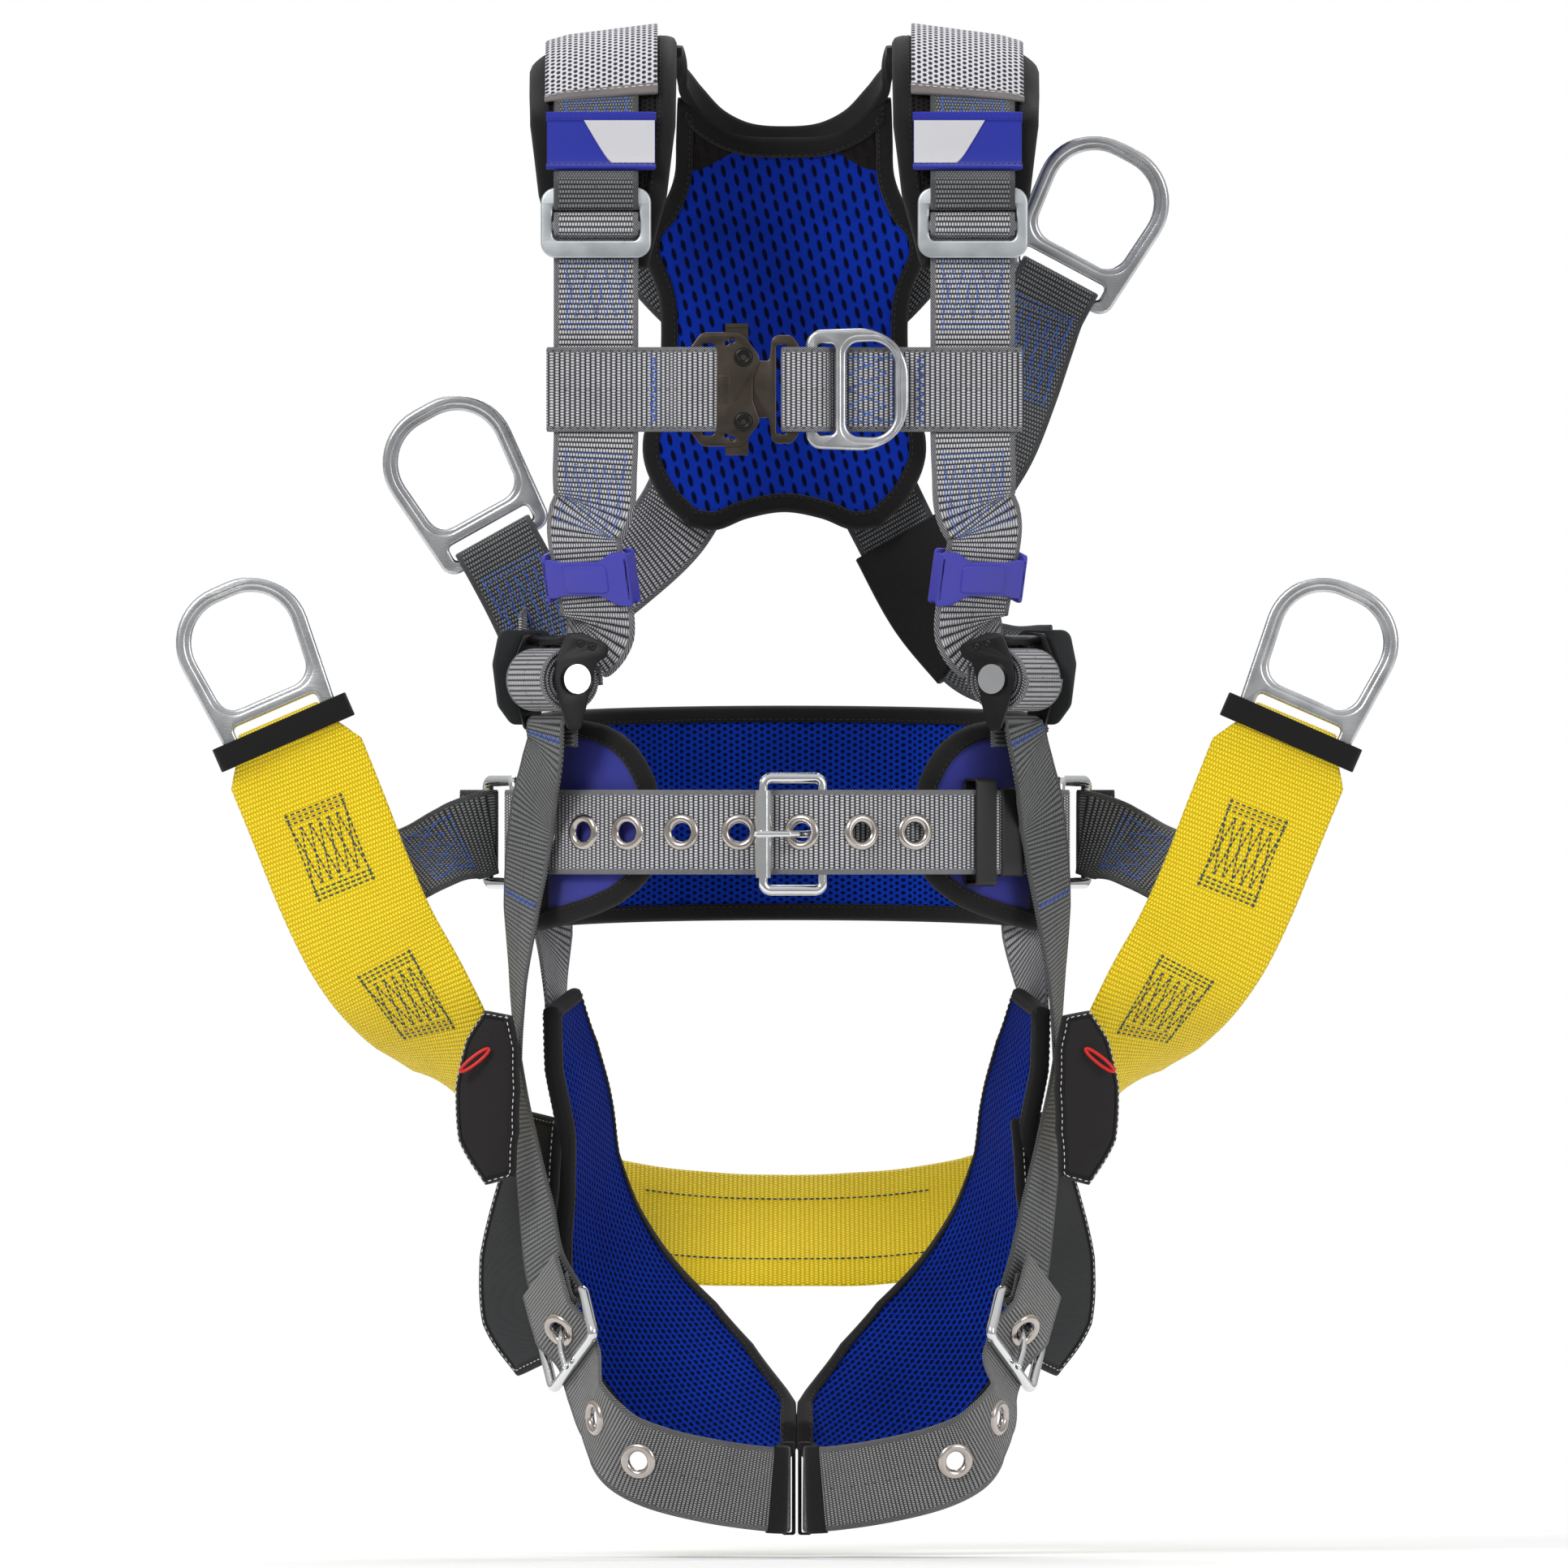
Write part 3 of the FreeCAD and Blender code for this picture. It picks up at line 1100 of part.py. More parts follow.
def leg_buckle_place(side):
    """Local X runs down the frame, Y along its bars and Z outwards or inwards, with the pivot bar on Y."""
    down = (side * LEG_DOWN.x, LEG_DOWN.y, LEG_DOWN.z)
    out = Vector(side * LEG_OUT.x, LEG_OUT.y, LEG_OUT.z)
    across = out.cross(Vector(*down)) if side < 0 else Vector(*down).cross(out)
    return frame_at(tuple(mirrored(side, LEG_BUCKLE, LEG_SHIFT / 2)), down, tuple(across))


def back_straps():
    """From the dorsal plate down and round the ribs to each torso adjuster."""
    left = [(30, 96.5, 236, 0, 1, 0), (46, 95.5, 190, 0.05, 1, 0), (60, 92, 163, 0.2, 1, 0)]
    left += [(86, 78, 137, 0.5, 0.87, 0), (112, 50, 116, 0.8, 0.6, 0), (131, 12, 102, 0.97, 0.2, 0)]
    left += [(139.5, -22, 94, 0.99, -0.1, 0)]
    right = [(30, 96.5, 236, 0, 1, 0), (44, 95.5, 190, 0.05, 1, 0), (60, 88, 156, 0.25, 1, 0)]
    right += [(77, 77, 122, 0.45, 0.9, 0), (96, 62, 96, 0.65, 0.76, 0), (119, 27, 87, 0.9, 0.4, 0)]
    right += [(135, -8, 87, 0.99, 0, 0), (140.5, -26, 87, 0.99, -0.1, 0)]
    shapes = [
        ribbon(stations(side, route, TORSO_SHIFT), size["web_width"], size["web_thick"])
        for side, route in ((-1, left), (1, right))
    ]
    plain("back_straps", Part.makeCompound(shapes))
    sleeve = right[2:5]
    outer = ribbon(stations(1, sleeve, TORSO_SHIFT), size["web_width"] + 7, size["web_thick"] + 4.4)
    inner = ribbon(stations(1, right[1:6], TORSO_SHIFT), size["web_width"] + 2, size["web_thick"] + 1.6)
    plain("back_strap_sleeve", outer.cut(inner))


def dorsal_plate():
    """A moulded plate behind the back pad, with a round saddle that carries the dorsal ring's bar."""
    label = "dorsal_plate"
    body = new_body(label)
    outer = new_sketch(body, label + "_outer")
    tall = size["plate_tall"] / 2
    wide = value("plate_wide")
    taper_sketch(outer, wide, wide, (-tall, "-Sizes.plate_tall / 2"), (tall, "Sizes.plate_tall / 2"))
    blank = pad(body, outer, "Sizes.plate_thick")
    round_edges(body, blank, lambda e: upright(e, -99, 99), "10")
    saddle = body.newObject("PartDesign::AdditiveCylinder", label + "_saddle")
    saddle.setExpression("Radius", "Sizes.saddle_radius")
    saddle.setExpression("Height", "Sizes.saddle_long")
    centre = size["plate_thick"] / 2 + size["saddle_radius"] - 1.5
    turned = FreeCAD.Rotation(Vector(0, 1, 0), 90)
    saddle.Placement = FreeCAD.Placement(Vector(-size["saddle_long"] / 2, 0, centre), turned)
    doc.recompute()
    bore = body.newObject("PartDesign::SubtractiveCylinder", label + "_bore")
    bore.setExpression("Radius", "Sizes.saddle_bore")
    bore.Height = 80
    bore.Placement = FreeCAD.Placement(Vector(-40, 0, centre), turned)
    doc.recompute()
    place = frame_at((TORSO_SHIFT, PLATE_Y, 256), (-1, 0, 0), (0, 0, 1))
    body.Placement = place
    keep(label, body)
    bar = spot(place, 0, 0, centre)
    forged_ring("dorsal_ring", frame_at(tuple(bar), (1, 0, 0), (0, 0, -1)))


# The two suspension rings on short straps behind the ribs: each side has its own route and direction.
REAR_RINGS = {
    "left": {
        "bar": (-152.5, -14.0, 151.0),
        "across": (0.87, 0.0, 0.485),
        "rise": (-0.47, -0.1, 0.87),
        "route": [(-122, -6, 84), (-128, -9, 102), (-137, -12, 122)],
    },
    "right": {
        "bar": (141.5, 8.0, 288.0),
        "across": (0.88, 0.0, -0.47),
        "rise": (0.52, -0.1, 0.85),
        "route": [(98, 62, 186), (110, 44, 206), (121, 26, 234), (129, 12, 258)],
    },
}


def rear_rings():
    radius = fold_radius(size["ring_stock"] / 2 + 1.5)
    for name, facts in REAR_RINGS.items():
        across = Vector(*facts["across"]).normalize()
        rise = Vector(*facts["rise"])
        rise = (rise - across * rise.dot(across)).normalize()
        facing = across.cross(rise)
        out = facing if facing.y < 0 else -facing
        bar = Vector(*facts["bar"])
        forged_ring(f"rear_ring_{name}", frame_at(tuple(bar), tuple(across), tuple(rise)))
        route = [(Vector(*p), Vector(out.x * 0.4, -1, 0)) for p in facts["route"]]
        fold = [(bar + out * radius - rise * 12, out)] + turn(bar, rise, out, radius, 18)
        strap = ribbon(route + fold, size["web_width"], size["web_thick"])
        plain(f"rear_ring_strap_{name}", strap)


# ---------------------------------------------------------------- seat sling

SLING = [
    (258.5, -37, 36, 0.05, -1, 0),
    (246, -36, 5, 0.1, -1, 0),
    (233, -34, -28, 0.15, -1, 0),
    (219, -29, -58, 0.22, -0.97, -0.05),
    (202, -19, -85, 0.36, -0.92, -0.12),
    (186, -4, -109, 0.52, -0.83, -0.2),
    (172, 14, -132, 0.7, -0.66, -0.25),
    (161, 33, -152, 0.85, -0.3, -0.3),
    (149, 54, -172, 0.85, 0.3, -0.35),
    (128, 74, -190, 0.6, 0.65, -0.45),
    (98, 88, -202, 0.25, 0.8, -0.55),
    (55, 96, -209, 0.05, 0.8, -0.6),
    (0, 98, -211, 0, 0.78, -0.62),
]
SLING_BAR = (265.5, -37.0, 53.0)
SLING_RISE = (0.4, 0.0, 0.917)


def sling_end(side):
    """The fold round the ring's bar at the top of one arm, from the arm towards the bar."""
    bar = mirrored(side, SLING_BAR)
    rise = Vector(side * SLING_RISE[0], SLING_RISE[1], SLING_RISE[2])
    out = Vector(0, -1, 0)
    radius = size["ring_stock"] / 2 + 2.2 + size["sling_thick"] / 2
    fold = turn(bar, rise, out, radius, 0)
    back = [(bar - out * 4.6 - rise * 14, -out)]
    return fold + back


def sling():
    """One webbing, from the left ring down round the hip, under the seat and up to the right ring."""
    arm = [
        (Vector(out, y, z), Vector(n_out, n_y, n_z))
        for out, y, z, n_out, n_y, n_z in SLING
    ]
    left = [(mirrored(-1, p), mirrored(-1, n)) for p, n in arm]
    right = [(p, n) for p, n in arm]
    route = sling_end(-1)[::-1] + left + right[-2::-1] + sling_end(1)
    ends = len(sling_end(1))
    middle = [size["sling_width"]] * (len(route) - 2 * ends)
    fold_width = [46.0] * ends
    plain("sling_webbing", ribbon(route, fold_width + middle + fold_width, size["sling_thick"]))

    bindings = []
    long, wide = size["binding_long"], size["binding_wide"]
    thick, wall = size["binding_thick"], size["binding_wall"]
    for name, side in SIDES:
        bar = mirrored(side, SLING_BAR)
        rise = (side * SLING_RISE[0], SLING_RISE[1], SLING_RISE[2])
        across = (SLING_RISE[2], 0, -side * SLING_RISE[0])
        place = frame_at(tuple(bar), across, rise)
        outer = Part.makeBox(wide, long, thick, Vector(-wide / 2, -long / 2 - 0.5, -thick / 2))
        inner = Part.makeBox(
            wide - 2 * wall,
            long + 4,
            thick - 2 * wall,
            Vector(-wide / 2 + wall, -long / 2 - 2, -thick / 2 + wall),
        )
        sleeve = outer.cut(inner)
        sleeve.Placement = place
        bindings.append(sleeve)
        forged_ring(f"sling_ring_{name}", place)
    plain("sling_bindings", Part.makeCompound(bindings))


# ---------------------------------------------------------------- thigh loops

LEG_PAD = [
    (124, 0, -88, -0.97, -0.25, 0),
    (119, 5, -118, -0.93, -0.37, 0.03),
    (112, 14, -150, -0.93, -0.37, 0.05),
    (110, 24, -180, -0.9, -0.42, 0.08),
    (105, 34, -212, -0.78, -0.6, 0.15),
    (93, 40, -245, -0.5, -0.8, 0.3),
    (75, 40, -272, -0.2, -0.88, 0.42),
    (53, 32, -296, 0.05, -0.88, 0.45),
    (27, 16, -318, 0.3, -0.8, 0.5),
    (7, -4, -332, 0.55, -0.7, 0.4),
]
LEG_PAD_WIDTHS = [50, 60, 66, 70, 76, 82, 86, 80, 64, 46]
# The short webbings that hang each thigh loop's back from the waist pad.
RISER_TOP = [(125.6, 43.8, -22, 0.838, 0.545, 0), (125.6, 43.8, -50, 0.838, 0.545, 0)]
RISER_LOW = [(126.9, 17, -94, 0.97, 0.25, 0), (122.4, 18, -118, 0.93, 0.37, 0)]
LEG_FRONT = [
    (108, -75, -303, 0.82, -0.5, -0.25),
    (102, -85, -314, 0.72, -0.64, -0.25),
    (91, -93, -326, 0.55, -0.8, -0.15),
    (74, -97, -334, 0.35, -0.92, -0.1),
    (46, -93, -341, 0.12, -0.98, -0.08),
    (20, -82, -345, 0.05, -1, -0.05),
    (7, -72, -346, -0.35, -0.93, 0),
    (4.3, -60, -346, -1, -0.1, 0),
    (4.3, -44, -345, -1, 0, 0),
]


def leg_pads():
    for name, side in SIDES:
        shape = ribbon(stations(side, LEG_PAD, LEG_SHIFT), LEG_PAD_WIDTHS, size["pad_thick"])
        beyond = Part.makeBox(60, 120, 120, Vector(LEG_SHIFT - 60 if side > 0 else LEG_SHIFT, -80, -400))
        beyond.translate(Vector(side * 0.7, 0, 0))
        shape = shape.cut(beyond).Solids[0]
        plain(f"leg_pad_{name}", shape)


def thigh_risers():
    """The short webbings from the waist pad down to the back of each thigh loop."""
    shapes = []
    for name, side in SIDES:
        route = stations(side, RISER_TOP) + stations(side, RISER_LOW, LEG_SHIFT)
        shapes.append(ribbon(route, size["web_width"], size["web_thick"]))
    return shapes


def leg_strap_route(side):
    """From its tail, through the leg buckle and along the thigh's front, to the crotch."""
    place = leg_buckle_place(side)
    sign = 1 if lean(place, 0, 0, 1).x * side > 0 else -1
    out = lean(place, 0, 0, sign)
    wide = size["leg_frame_wide"]
    over = size["rod"] / 2 + size["fold_gap"] + size["web_thick"] * 1.5 + 0.6
    under = size["rod"] / 2 + 0.5 + size["web_thick"] / 2
    rows = [(-24, over + 1.2), (-10, over + 0.6), (0, over), (6, 6.0), (16, -1.5), (22, -3.9), (wide, -under)]
    rows += [(wide + 8, -under - 0.4)]
    start = [(spot(place, x, 0, sign * z), out) for x, z in rows]
    return start + stations(side, LEG_FRONT, LEG_SHIFT)


def halfway(route, index):
    """The middle of a route's segment, with the webbing's normal there."""
    (p, n), (q, m) = route[index], route[index + 1]
    along = (q - p).normalize()
    mean = (n + m).normalize()
    normal = (mean - along * mean.dot(along)).normalize()
    return (p + q) / 2, normal


LEG_HOLES = (3, 8, 10)  # the route's segments that carry a grommet


def leg_straps():
    grommets = []
    hole = size["eyelet_hole"] + size["eyelet_wall"] + 0.3
    for name, side in SIDES:
        route = leg_strap_route(side)
        shape = ribbon(route, size["web_width"], size["web_thick"])
        for index in LEG_HOLES:
            point, normal = halfway(route, index)
            shape = shape.cut(Part.makeCylinder(hole, 8, point - normal * 4, normal))
        plain(f"leg_strap_{name}", shape)
        grommets += eyelets_on(route, LEG_HOLES, halfway)
    plain("leg_grommets", Part.makeCompound(grommets))


def leg_buckles():
    frames = []
    for name, side in SIDES:
        place = leg_buckle_place(side)
        frames.append(rod_frame("leg_frame_wide", "leg_frame_tall", "rod", place))
        sign = 1 if lean(place, 0, 0, 1).x * side > 0 else -1
        points = [(3.6, 0.2), (11, 2.3), (18, 4.9), (24, 5.6), (32.5, 5.2)]
        tongue = tongue_shape([(x, sign * z) for x, z in points])
        tongue.Placement = place
        plain(f"leg_buckle_tongue_{name}", tongue)
    plain("leg_buckle_frames", Part.makeCompound(frames))


def hip_pouches():
    """A padded pouch on each hip for a folded foot strap."""
    shapes = []
    wide, deep, tall = size["pouch_wide"], size["pouch_deep"], size["pouch_tall"]
    for name, side in SIDES:
        box = Part.makeBox(wide, deep, tall, Vector(-wide / 2, -deep / 2, -tall / 2))
        box = box.makeFillet(6.5, box.Edges)
        box.Placement = FreeCAD.Placement(
            Vector(side * 159.5, -45, -139), FreeCAD.Rotation(Vector(0, 1, 0), side * 4)
        )
        shapes.append(box)
    plain("hip_pouches", Part.makeCompound(shapes))


def crotch_sleeves():
    """A short black sleeve round each leg strap, where the two thigh loops meet."""
    shapes = []
    for name, side in SIDES:
        outer = Part.makeBox(7.4, 10.0, 49.0, Vector(-3.7, -5.0, -24.5))
        inner = Part.makeBox(3.4, 12.0, 46.4, Vector(-1.7, -6.0, -23.2))
        sleeve = outer.cut(inner)
        sleeve.translate(Vector(side * 4.3 + LEG_SHIFT, -52, -345.5))
        shapes.append(sleeve)
    plain("crotch_sleeves", Part.makeCompound(shapes))


# ---------------------------------------------------------------- build, check and write


def build():
    shoulder_pads()
    shoulder_straps()
    identity_bands()
    back_pad()
    shoulder_adjusters()
    front_straps()
    adjuster_frames()
    adjuster_spools()
    adjuster_guards()
    lanyard_keepers()
    chest_straps()
    chest_housing()
    chest_tongue()
    chest_bar = frame_at((CHEST_RING_X, CHEST_Y, CHEST_Z), (0, 0, 1), (1, 0, 0))
    forged_ring("chest_ring", chest_bar, "chest_ring")
    waist_pad()
    belt_straps()
    belt_grommets()
    belt_buckle()
    belt_keeper()
    hip_rings()
    hip_link_straps()
    side_straps()
    back_straps()
    dorsal_plate()
    rear_rings()
    sling()
    leg_pads()
    leg_straps()
    leg_buckles()
    hip_pouches()
    crotch_sleeves()


def check():
    doc.recompute()
    for item in doc.Objects:
        if any(word in item.State for word in ("Invalid", "Error")):
            raise RuntimeError(f"{item.Label} failed: {item.State}")
    for label, item in nodes.items():
        shape = item.Shape
        if shape.isNull() or not shape.isValid() or not shape.Solids or shape.Volume <= 0:
            raise RuntimeError(f"{label} has no valid solid")


def write():
    os.makedirs("parts", exist_ok=True)
    for label, item in nodes.items():
        item.Shape.exportStep(f"parts/{label}.step")
        print(f"{label}: {len(item.Shape.Solids)} solid(s), {item.Shape.Volume / 1000:.1f} cm3")


build()
check()
write()
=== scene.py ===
import json
import math

import bmesh
import bpy
import numpy as np
from mathutils import Matrix, Vector

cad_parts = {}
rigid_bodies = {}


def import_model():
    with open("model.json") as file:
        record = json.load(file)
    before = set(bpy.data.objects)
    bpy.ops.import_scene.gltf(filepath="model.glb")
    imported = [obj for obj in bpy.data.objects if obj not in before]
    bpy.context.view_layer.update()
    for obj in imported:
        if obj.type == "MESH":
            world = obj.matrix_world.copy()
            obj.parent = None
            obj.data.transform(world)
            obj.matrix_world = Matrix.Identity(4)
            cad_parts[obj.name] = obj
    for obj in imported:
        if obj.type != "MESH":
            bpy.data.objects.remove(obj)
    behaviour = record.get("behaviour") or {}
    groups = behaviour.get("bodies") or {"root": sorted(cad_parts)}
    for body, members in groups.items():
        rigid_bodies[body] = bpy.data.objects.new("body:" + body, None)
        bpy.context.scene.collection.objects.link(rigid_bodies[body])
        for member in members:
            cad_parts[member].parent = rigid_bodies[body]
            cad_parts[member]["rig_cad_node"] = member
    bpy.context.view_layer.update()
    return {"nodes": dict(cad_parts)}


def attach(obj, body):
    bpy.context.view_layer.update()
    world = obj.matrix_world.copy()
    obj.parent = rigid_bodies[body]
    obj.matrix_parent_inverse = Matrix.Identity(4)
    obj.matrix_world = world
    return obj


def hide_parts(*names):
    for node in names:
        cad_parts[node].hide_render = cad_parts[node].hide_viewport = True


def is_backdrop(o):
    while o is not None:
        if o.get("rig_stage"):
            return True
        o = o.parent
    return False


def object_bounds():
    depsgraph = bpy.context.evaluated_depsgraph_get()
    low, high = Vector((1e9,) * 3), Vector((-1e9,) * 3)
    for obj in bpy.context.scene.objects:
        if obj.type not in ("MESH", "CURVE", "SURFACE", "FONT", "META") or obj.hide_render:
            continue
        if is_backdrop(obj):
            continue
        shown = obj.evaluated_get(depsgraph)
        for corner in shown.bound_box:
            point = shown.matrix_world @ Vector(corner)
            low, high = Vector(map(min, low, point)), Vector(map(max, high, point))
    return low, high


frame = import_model()

# Lengths below are millimetres, and become metres when a mesh is made.
MM = 0.001
SIDES = (("left", -1), ("right", 1))
TORSO_SHIFT = -1.5  # the upper half hangs a little to the left of the belt's middle
LEG_SHIFT = 5.0  # and the thigh loops a little to the right of it
WEB_WIDE, WEB_THICK = 44.5, 1.8
ROOT = "harness"


# ---------------------------------------------------------------- finishes: nodes as expressions


class Level:
    """What a node gives. Sums, products and comparisons of it add Math nodes to the same finish."""

    def __init__(self, finish, node, output=0):
        self.finish, self.node, self.socket = finish, node, node.outputs[output]

    def out(self, output):
        return Level(self.finish, self.node, output)

    def maths(self, operation, *values):
        return self.finish.node("ShaderNodeMath", {"operation": operation}, values)

    def __add__(self, other):
        return self.maths("ADD", self, other)

    def __sub__(self, other):
        return self.maths("SUBTRACT", self, other)

    def __rsub__(self, other):
        return self.maths("SUBTRACT", other, self)

    def __mul__(self, other):
        return self.maths("MULTIPLY", self, other)

    def __truediv__(self, other):
        return self.maths("DIVIDE", self, other)

    def __pow__(self, other):
        return self.maths("POWER", self, other)

    def __gt__(self, other):
        return self.maths("GREATER_THAN", self, other)

    def __lt__(self, other):
        return self.maths("LESS_THAN", self, other)

    __radd__ = __add__
    __rmul__ = __mul__

    def size(self):
        return self.maths("ABSOLUTE", self)

    def step(self):
        return self.maths("FLOOR", self)

    def part(self):
        return self.maths("FRACT", self)

    def wave(self):
        return self.maths("SINE", self)

    def least(self, other):
        return self.maths("MINIMUM", self, other)

    def most(self, other):
        return self.maths("MAXIMUM", self, other)

    def ease(self, low, high):
        """0 below low and 1 above high, with a soft change between them."""
        settings = {"interpolation_type": "SMOOTHSTEP"}
        return self.finish.node("ShaderNodeMapRange", settings, {"Value": self, "From Min": low, "From Max": high})


class Finish:
    """One procedural material. Even values sit on the shader; patterns are expressions of nodes."""

    def __init__(self, name, **even):
        self.material = bpy.data.materials.new(name)
        self.material.use_nodes = True
        self.nodes = self.material.node_tree.nodes
        self.links = self.material.node_tree.links
        self.shader = self.nodes["Principled BSDF"]
        for socket, value in even.items():
            self.feed(self.shader.inputs[socket.replace("_", " ")], value)

    def feed(self, socket, value):
        if isinstance(value, Level):
            self.links.new(value.socket, socket)
        else:
            socket.default_value = value

    def node(self, kind, settings=None, sockets=None):
        made = self.nodes.new(kind)
        for key, value in (settings or {}).items():
            setattr(made, key, value)
        pairs = sockets.items() if isinstance(sockets, dict) else enumerate(sockets or ())
        for place, value in pairs:
            self.feed(made.inputs[place], value)
        return Level(self, made)

    def mix(self, share, first, second):
        return self.node("ShaderNodeMix", {"data_type": "RGBA"}, {0: share, 6: first, 7: second}).out(2)

    def noise(self, scale, detail=3.0, where=None):
        where = where or self.place()
        return self.node("ShaderNodeTexNoise", None, {"Vector": where, "Scale": scale, "Detail": detail}).out(0)

    def place(self):
        return self.node("ShaderNodeTexCoord").out("Object")

    def split(self, vector):
        return self.node("ShaderNodeSeparateXYZ", None, [vector])

    def cloth(self):
        """Millimetres across and along the cloth, from the piece's own map."""
        flat = self.split(self.node("ShaderNodeUVMap", {"uv_map": "cloth"}))
        return flat.out("X") * (1 / MM), flat.out("Y") * (1 / MM)

    def colour(self, value):
        self.feed(self.shader.inputs["Base Color"], value)

    def rough(self, value):
        self.feed(self.shader.inputs["Roughness"], value)

    def relief(self, height, deep):
        """Raises the surface by height times deep millimetres."""
        bump = self.node("ShaderNodeBump", None, {"Height": height, "Distance": deep * MM, "Strength": 1.0})
        self.feed(self.shader.inputs["Normal"], bump)


def dye(red, green, blue):
    """A colour from its 0 to 255 swatch values."""
    linear = [((c / 255 + 0.055) / 1.055) ** 2.4 if c > 10 else c / 255 / 12.92 for c in (red, green, blue)]
    return (*linear, 1.0)


def webbing(name, light, dark, rib=2.7, cord=1.5, half=WEB_WIDE / 2, sheen=0.15):
    """Ribbed webbing: rows of pebbled cords square to its length, with a denser woven edge. The colour follows the
    cords' relief: the dark colour is painted shade in the hollows between cords.
    """
    f = Finish(name, Sheen_Weight=sheen, Sheen_Roughness=0.4, Specular_IOR_Level=0.35)
    across, along = f.cloth()
    row = along / rib
    ridge = (row * math.pi).wave().size()
    pebble = ((across / cord + row.step() * 0.5) * math.pi).wave().size()
    edge = across.size().ease(half - 3.4, half - 2.2)
    diagonal = ((across / 1.1 + along / 1.5) * math.pi).wave().size()
    weave = ridge ** 0.8 * (0.2 + pebble * 0.8)
    height = weave * (1 - edge) + diagonal * edge * 0.8
    worn = f.noise(45.0)
    fuzz = f.noise(700.0, 2.0)
    # Painted shade: the tone follows the relief height, so the hollows between the cords take the dark colour.
    tone = (height.ease(0.15, 0.95) * (0.5 + worn * 0.5 + fuzz * 0.5) * (1 - edge * 0.45)).least(1.0)
    f.colour(f.mix(tone, dark, light))
    f.rough(0.78 - height * 0.3)
    f.relief(height, 0.8)
    return f


def spacer_mesh(name, yarn, hole, pitch, opening, slant=0.0, ground=0.5, yoke=None):
    """Knitted mesh with staggered oval holes. Pitch and opening are (across, along) in millimetres.
    A yoke is (height at the sides, height at the middle, colour) of another cloth across the top."""
    f = Finish(name, Specular_IOR_Level=0.12)
    across, along = f.cloth()
    column = (across + along * slant) / pitch[0]
    line = along / pitch[1] + column.step() * 0.5
    from_x = (column.part() - 0.5) * (2 * pitch[0] / opening[0])
    from_y = (line.part() - 0.5) * (2 * pitch[1] / opening[1])
    spread = from_x * from_x + from_y * from_y
    solid = spread.ease(0.5, 1.3)
    knit = ((across / 0.55) * math.pi).wave().size() * ((along / 0.8) * math.pi).wave().size()
    cloud = f.noise(30.0)
    tone = solid * (ground + cloud * (1 - ground) + knit * 0.12)
    colour = f.mix(tone.least(1.0), hole, yarn)
    if yoke:
        side, middle, dark = yoke
        rim = side + ((48.0 - across.size()) / 26.0).ease(0.0, 1.0) * (middle - side)
        colour = f.mix((along - rim).ease(-0.4, 0.4), colour, dark)
    f.colour(colour)
    f.rough(0.85 - solid * 0.15)
    f.relief(solid + knit * 0.12, 1.1)
    return f


def knit_tape(name, tone, pitch=0.7):
    """Binding tape with a fine knitted face."""
    f = Finish(name, Sheen_Weight=0.12, Sheen_Roughness=0.5, Specular_IOR_Level=0.2)
    across, along = f.cloth()
    loops = ((across / pitch) * math.pi).wave().size() * ((along / pitch + across / pitch * 0.5) * math.pi).wave().size()
    lint = f.noise(60.0)
    f.colour(f.mix(loops * 0.35 + lint * 0.5, [c * 0.55 for c in tone[:3]] + [1], [c * 1.6 for c in tone[:3]] + [1]))
    f.rough(0.72 + lint * 0.2)
    f.relief(loops, 0.12)
    return f


def twill(name, tone, pitch=0.9, contrast=0.35):
    """Woven cloth with fine diagonal lines."""
    f = Finish(name, Sheen_Weight=0.2, Sheen_Roughness=0.35, Specular_IOR_Level=0.3)
    across, along = f.cloth()
    lines = ((across + along) / pitch * math.pi).wave().size()
    cloud = f.noise(80.0)
    deep = [c * (1 - contrast) for c in tone[:3]] + [1]
    f.colour(f.mix(lines * 0.7 + cloud * 0.3, deep, tone))
    f.rough(0.62 + cloud * 0.2)
    f.relief(lines, 0.12)
    return f


def plain_cloth(name, tone, thread=0.6):
    """Tightly woven pack cloth."""
    f = Finish(name, Sheen_Weight=0.1, Sheen_Roughness=0.5, Specular_IOR_Level=0.25)
    x, y, z = (f.split(f.place()).out(axis) * (1 / MM) for axis in "XYZ")
    weft = ((x + y) / thread * math.pi).wave().size()
    warp = (z / thread * math.pi).wave().size()
    cloud = f.noise(40.0, 5.0)
    f.colour(f.mix(weft * warp * 0.4 + cloud * 0.6, [c * 0.6 for c in tone[:3]] + [1], [c * 1.3 for c in tone[:3]] + [1]))
    f.rough(0.68 + cloud * 0.2)
    f.relief(weft * warp * 0.25 + cloud, 0.35)
    return f


def metal(name, tone, rough, grain=260.0, mottle=0.12, deep=0.04, metallic=1.0):
    """Metal with a faint mottle, fine scratches and rubbed patches."""
    f = Finish(name, Metallic=metallic)
    cloud = f.noise(70.0, 5.0)
    stretched = f.node("ShaderNodeMapping", None, {"Vector": f.place(), "Scale": (1.0, 1.0, 9.0)})
    scratch = f.noise(grain, 2.0, stretched)
    f.colour(f.mix(cloud.ease(0.3, 0.7), [c * (1 - mottle) for c in tone[:3]] + [1], tone))
    f.rough(rough * 0.75 + cloud * rough * 0.35 + scratch * rough * 0.15)
    f.relief(cloud * 0.6 + scratch * 0.4, deep)
    return f


def moulding(name, tone, rough=0.35):
    """Moulded plastic with a fine spark-eroded texture."""
    f = Finish(name, Specular_IOR_Level=0.45)
    grain = f.noise(900.0, 2.0)
    cloud = f.noise(25.0)
    f.colour(f.mix(cloud, [c * 0.88 for c in tone[:3]] + [1], tone))
    f.rough(rough + grain * 0.12)
    f.relief(grain, 0.03)
    return f


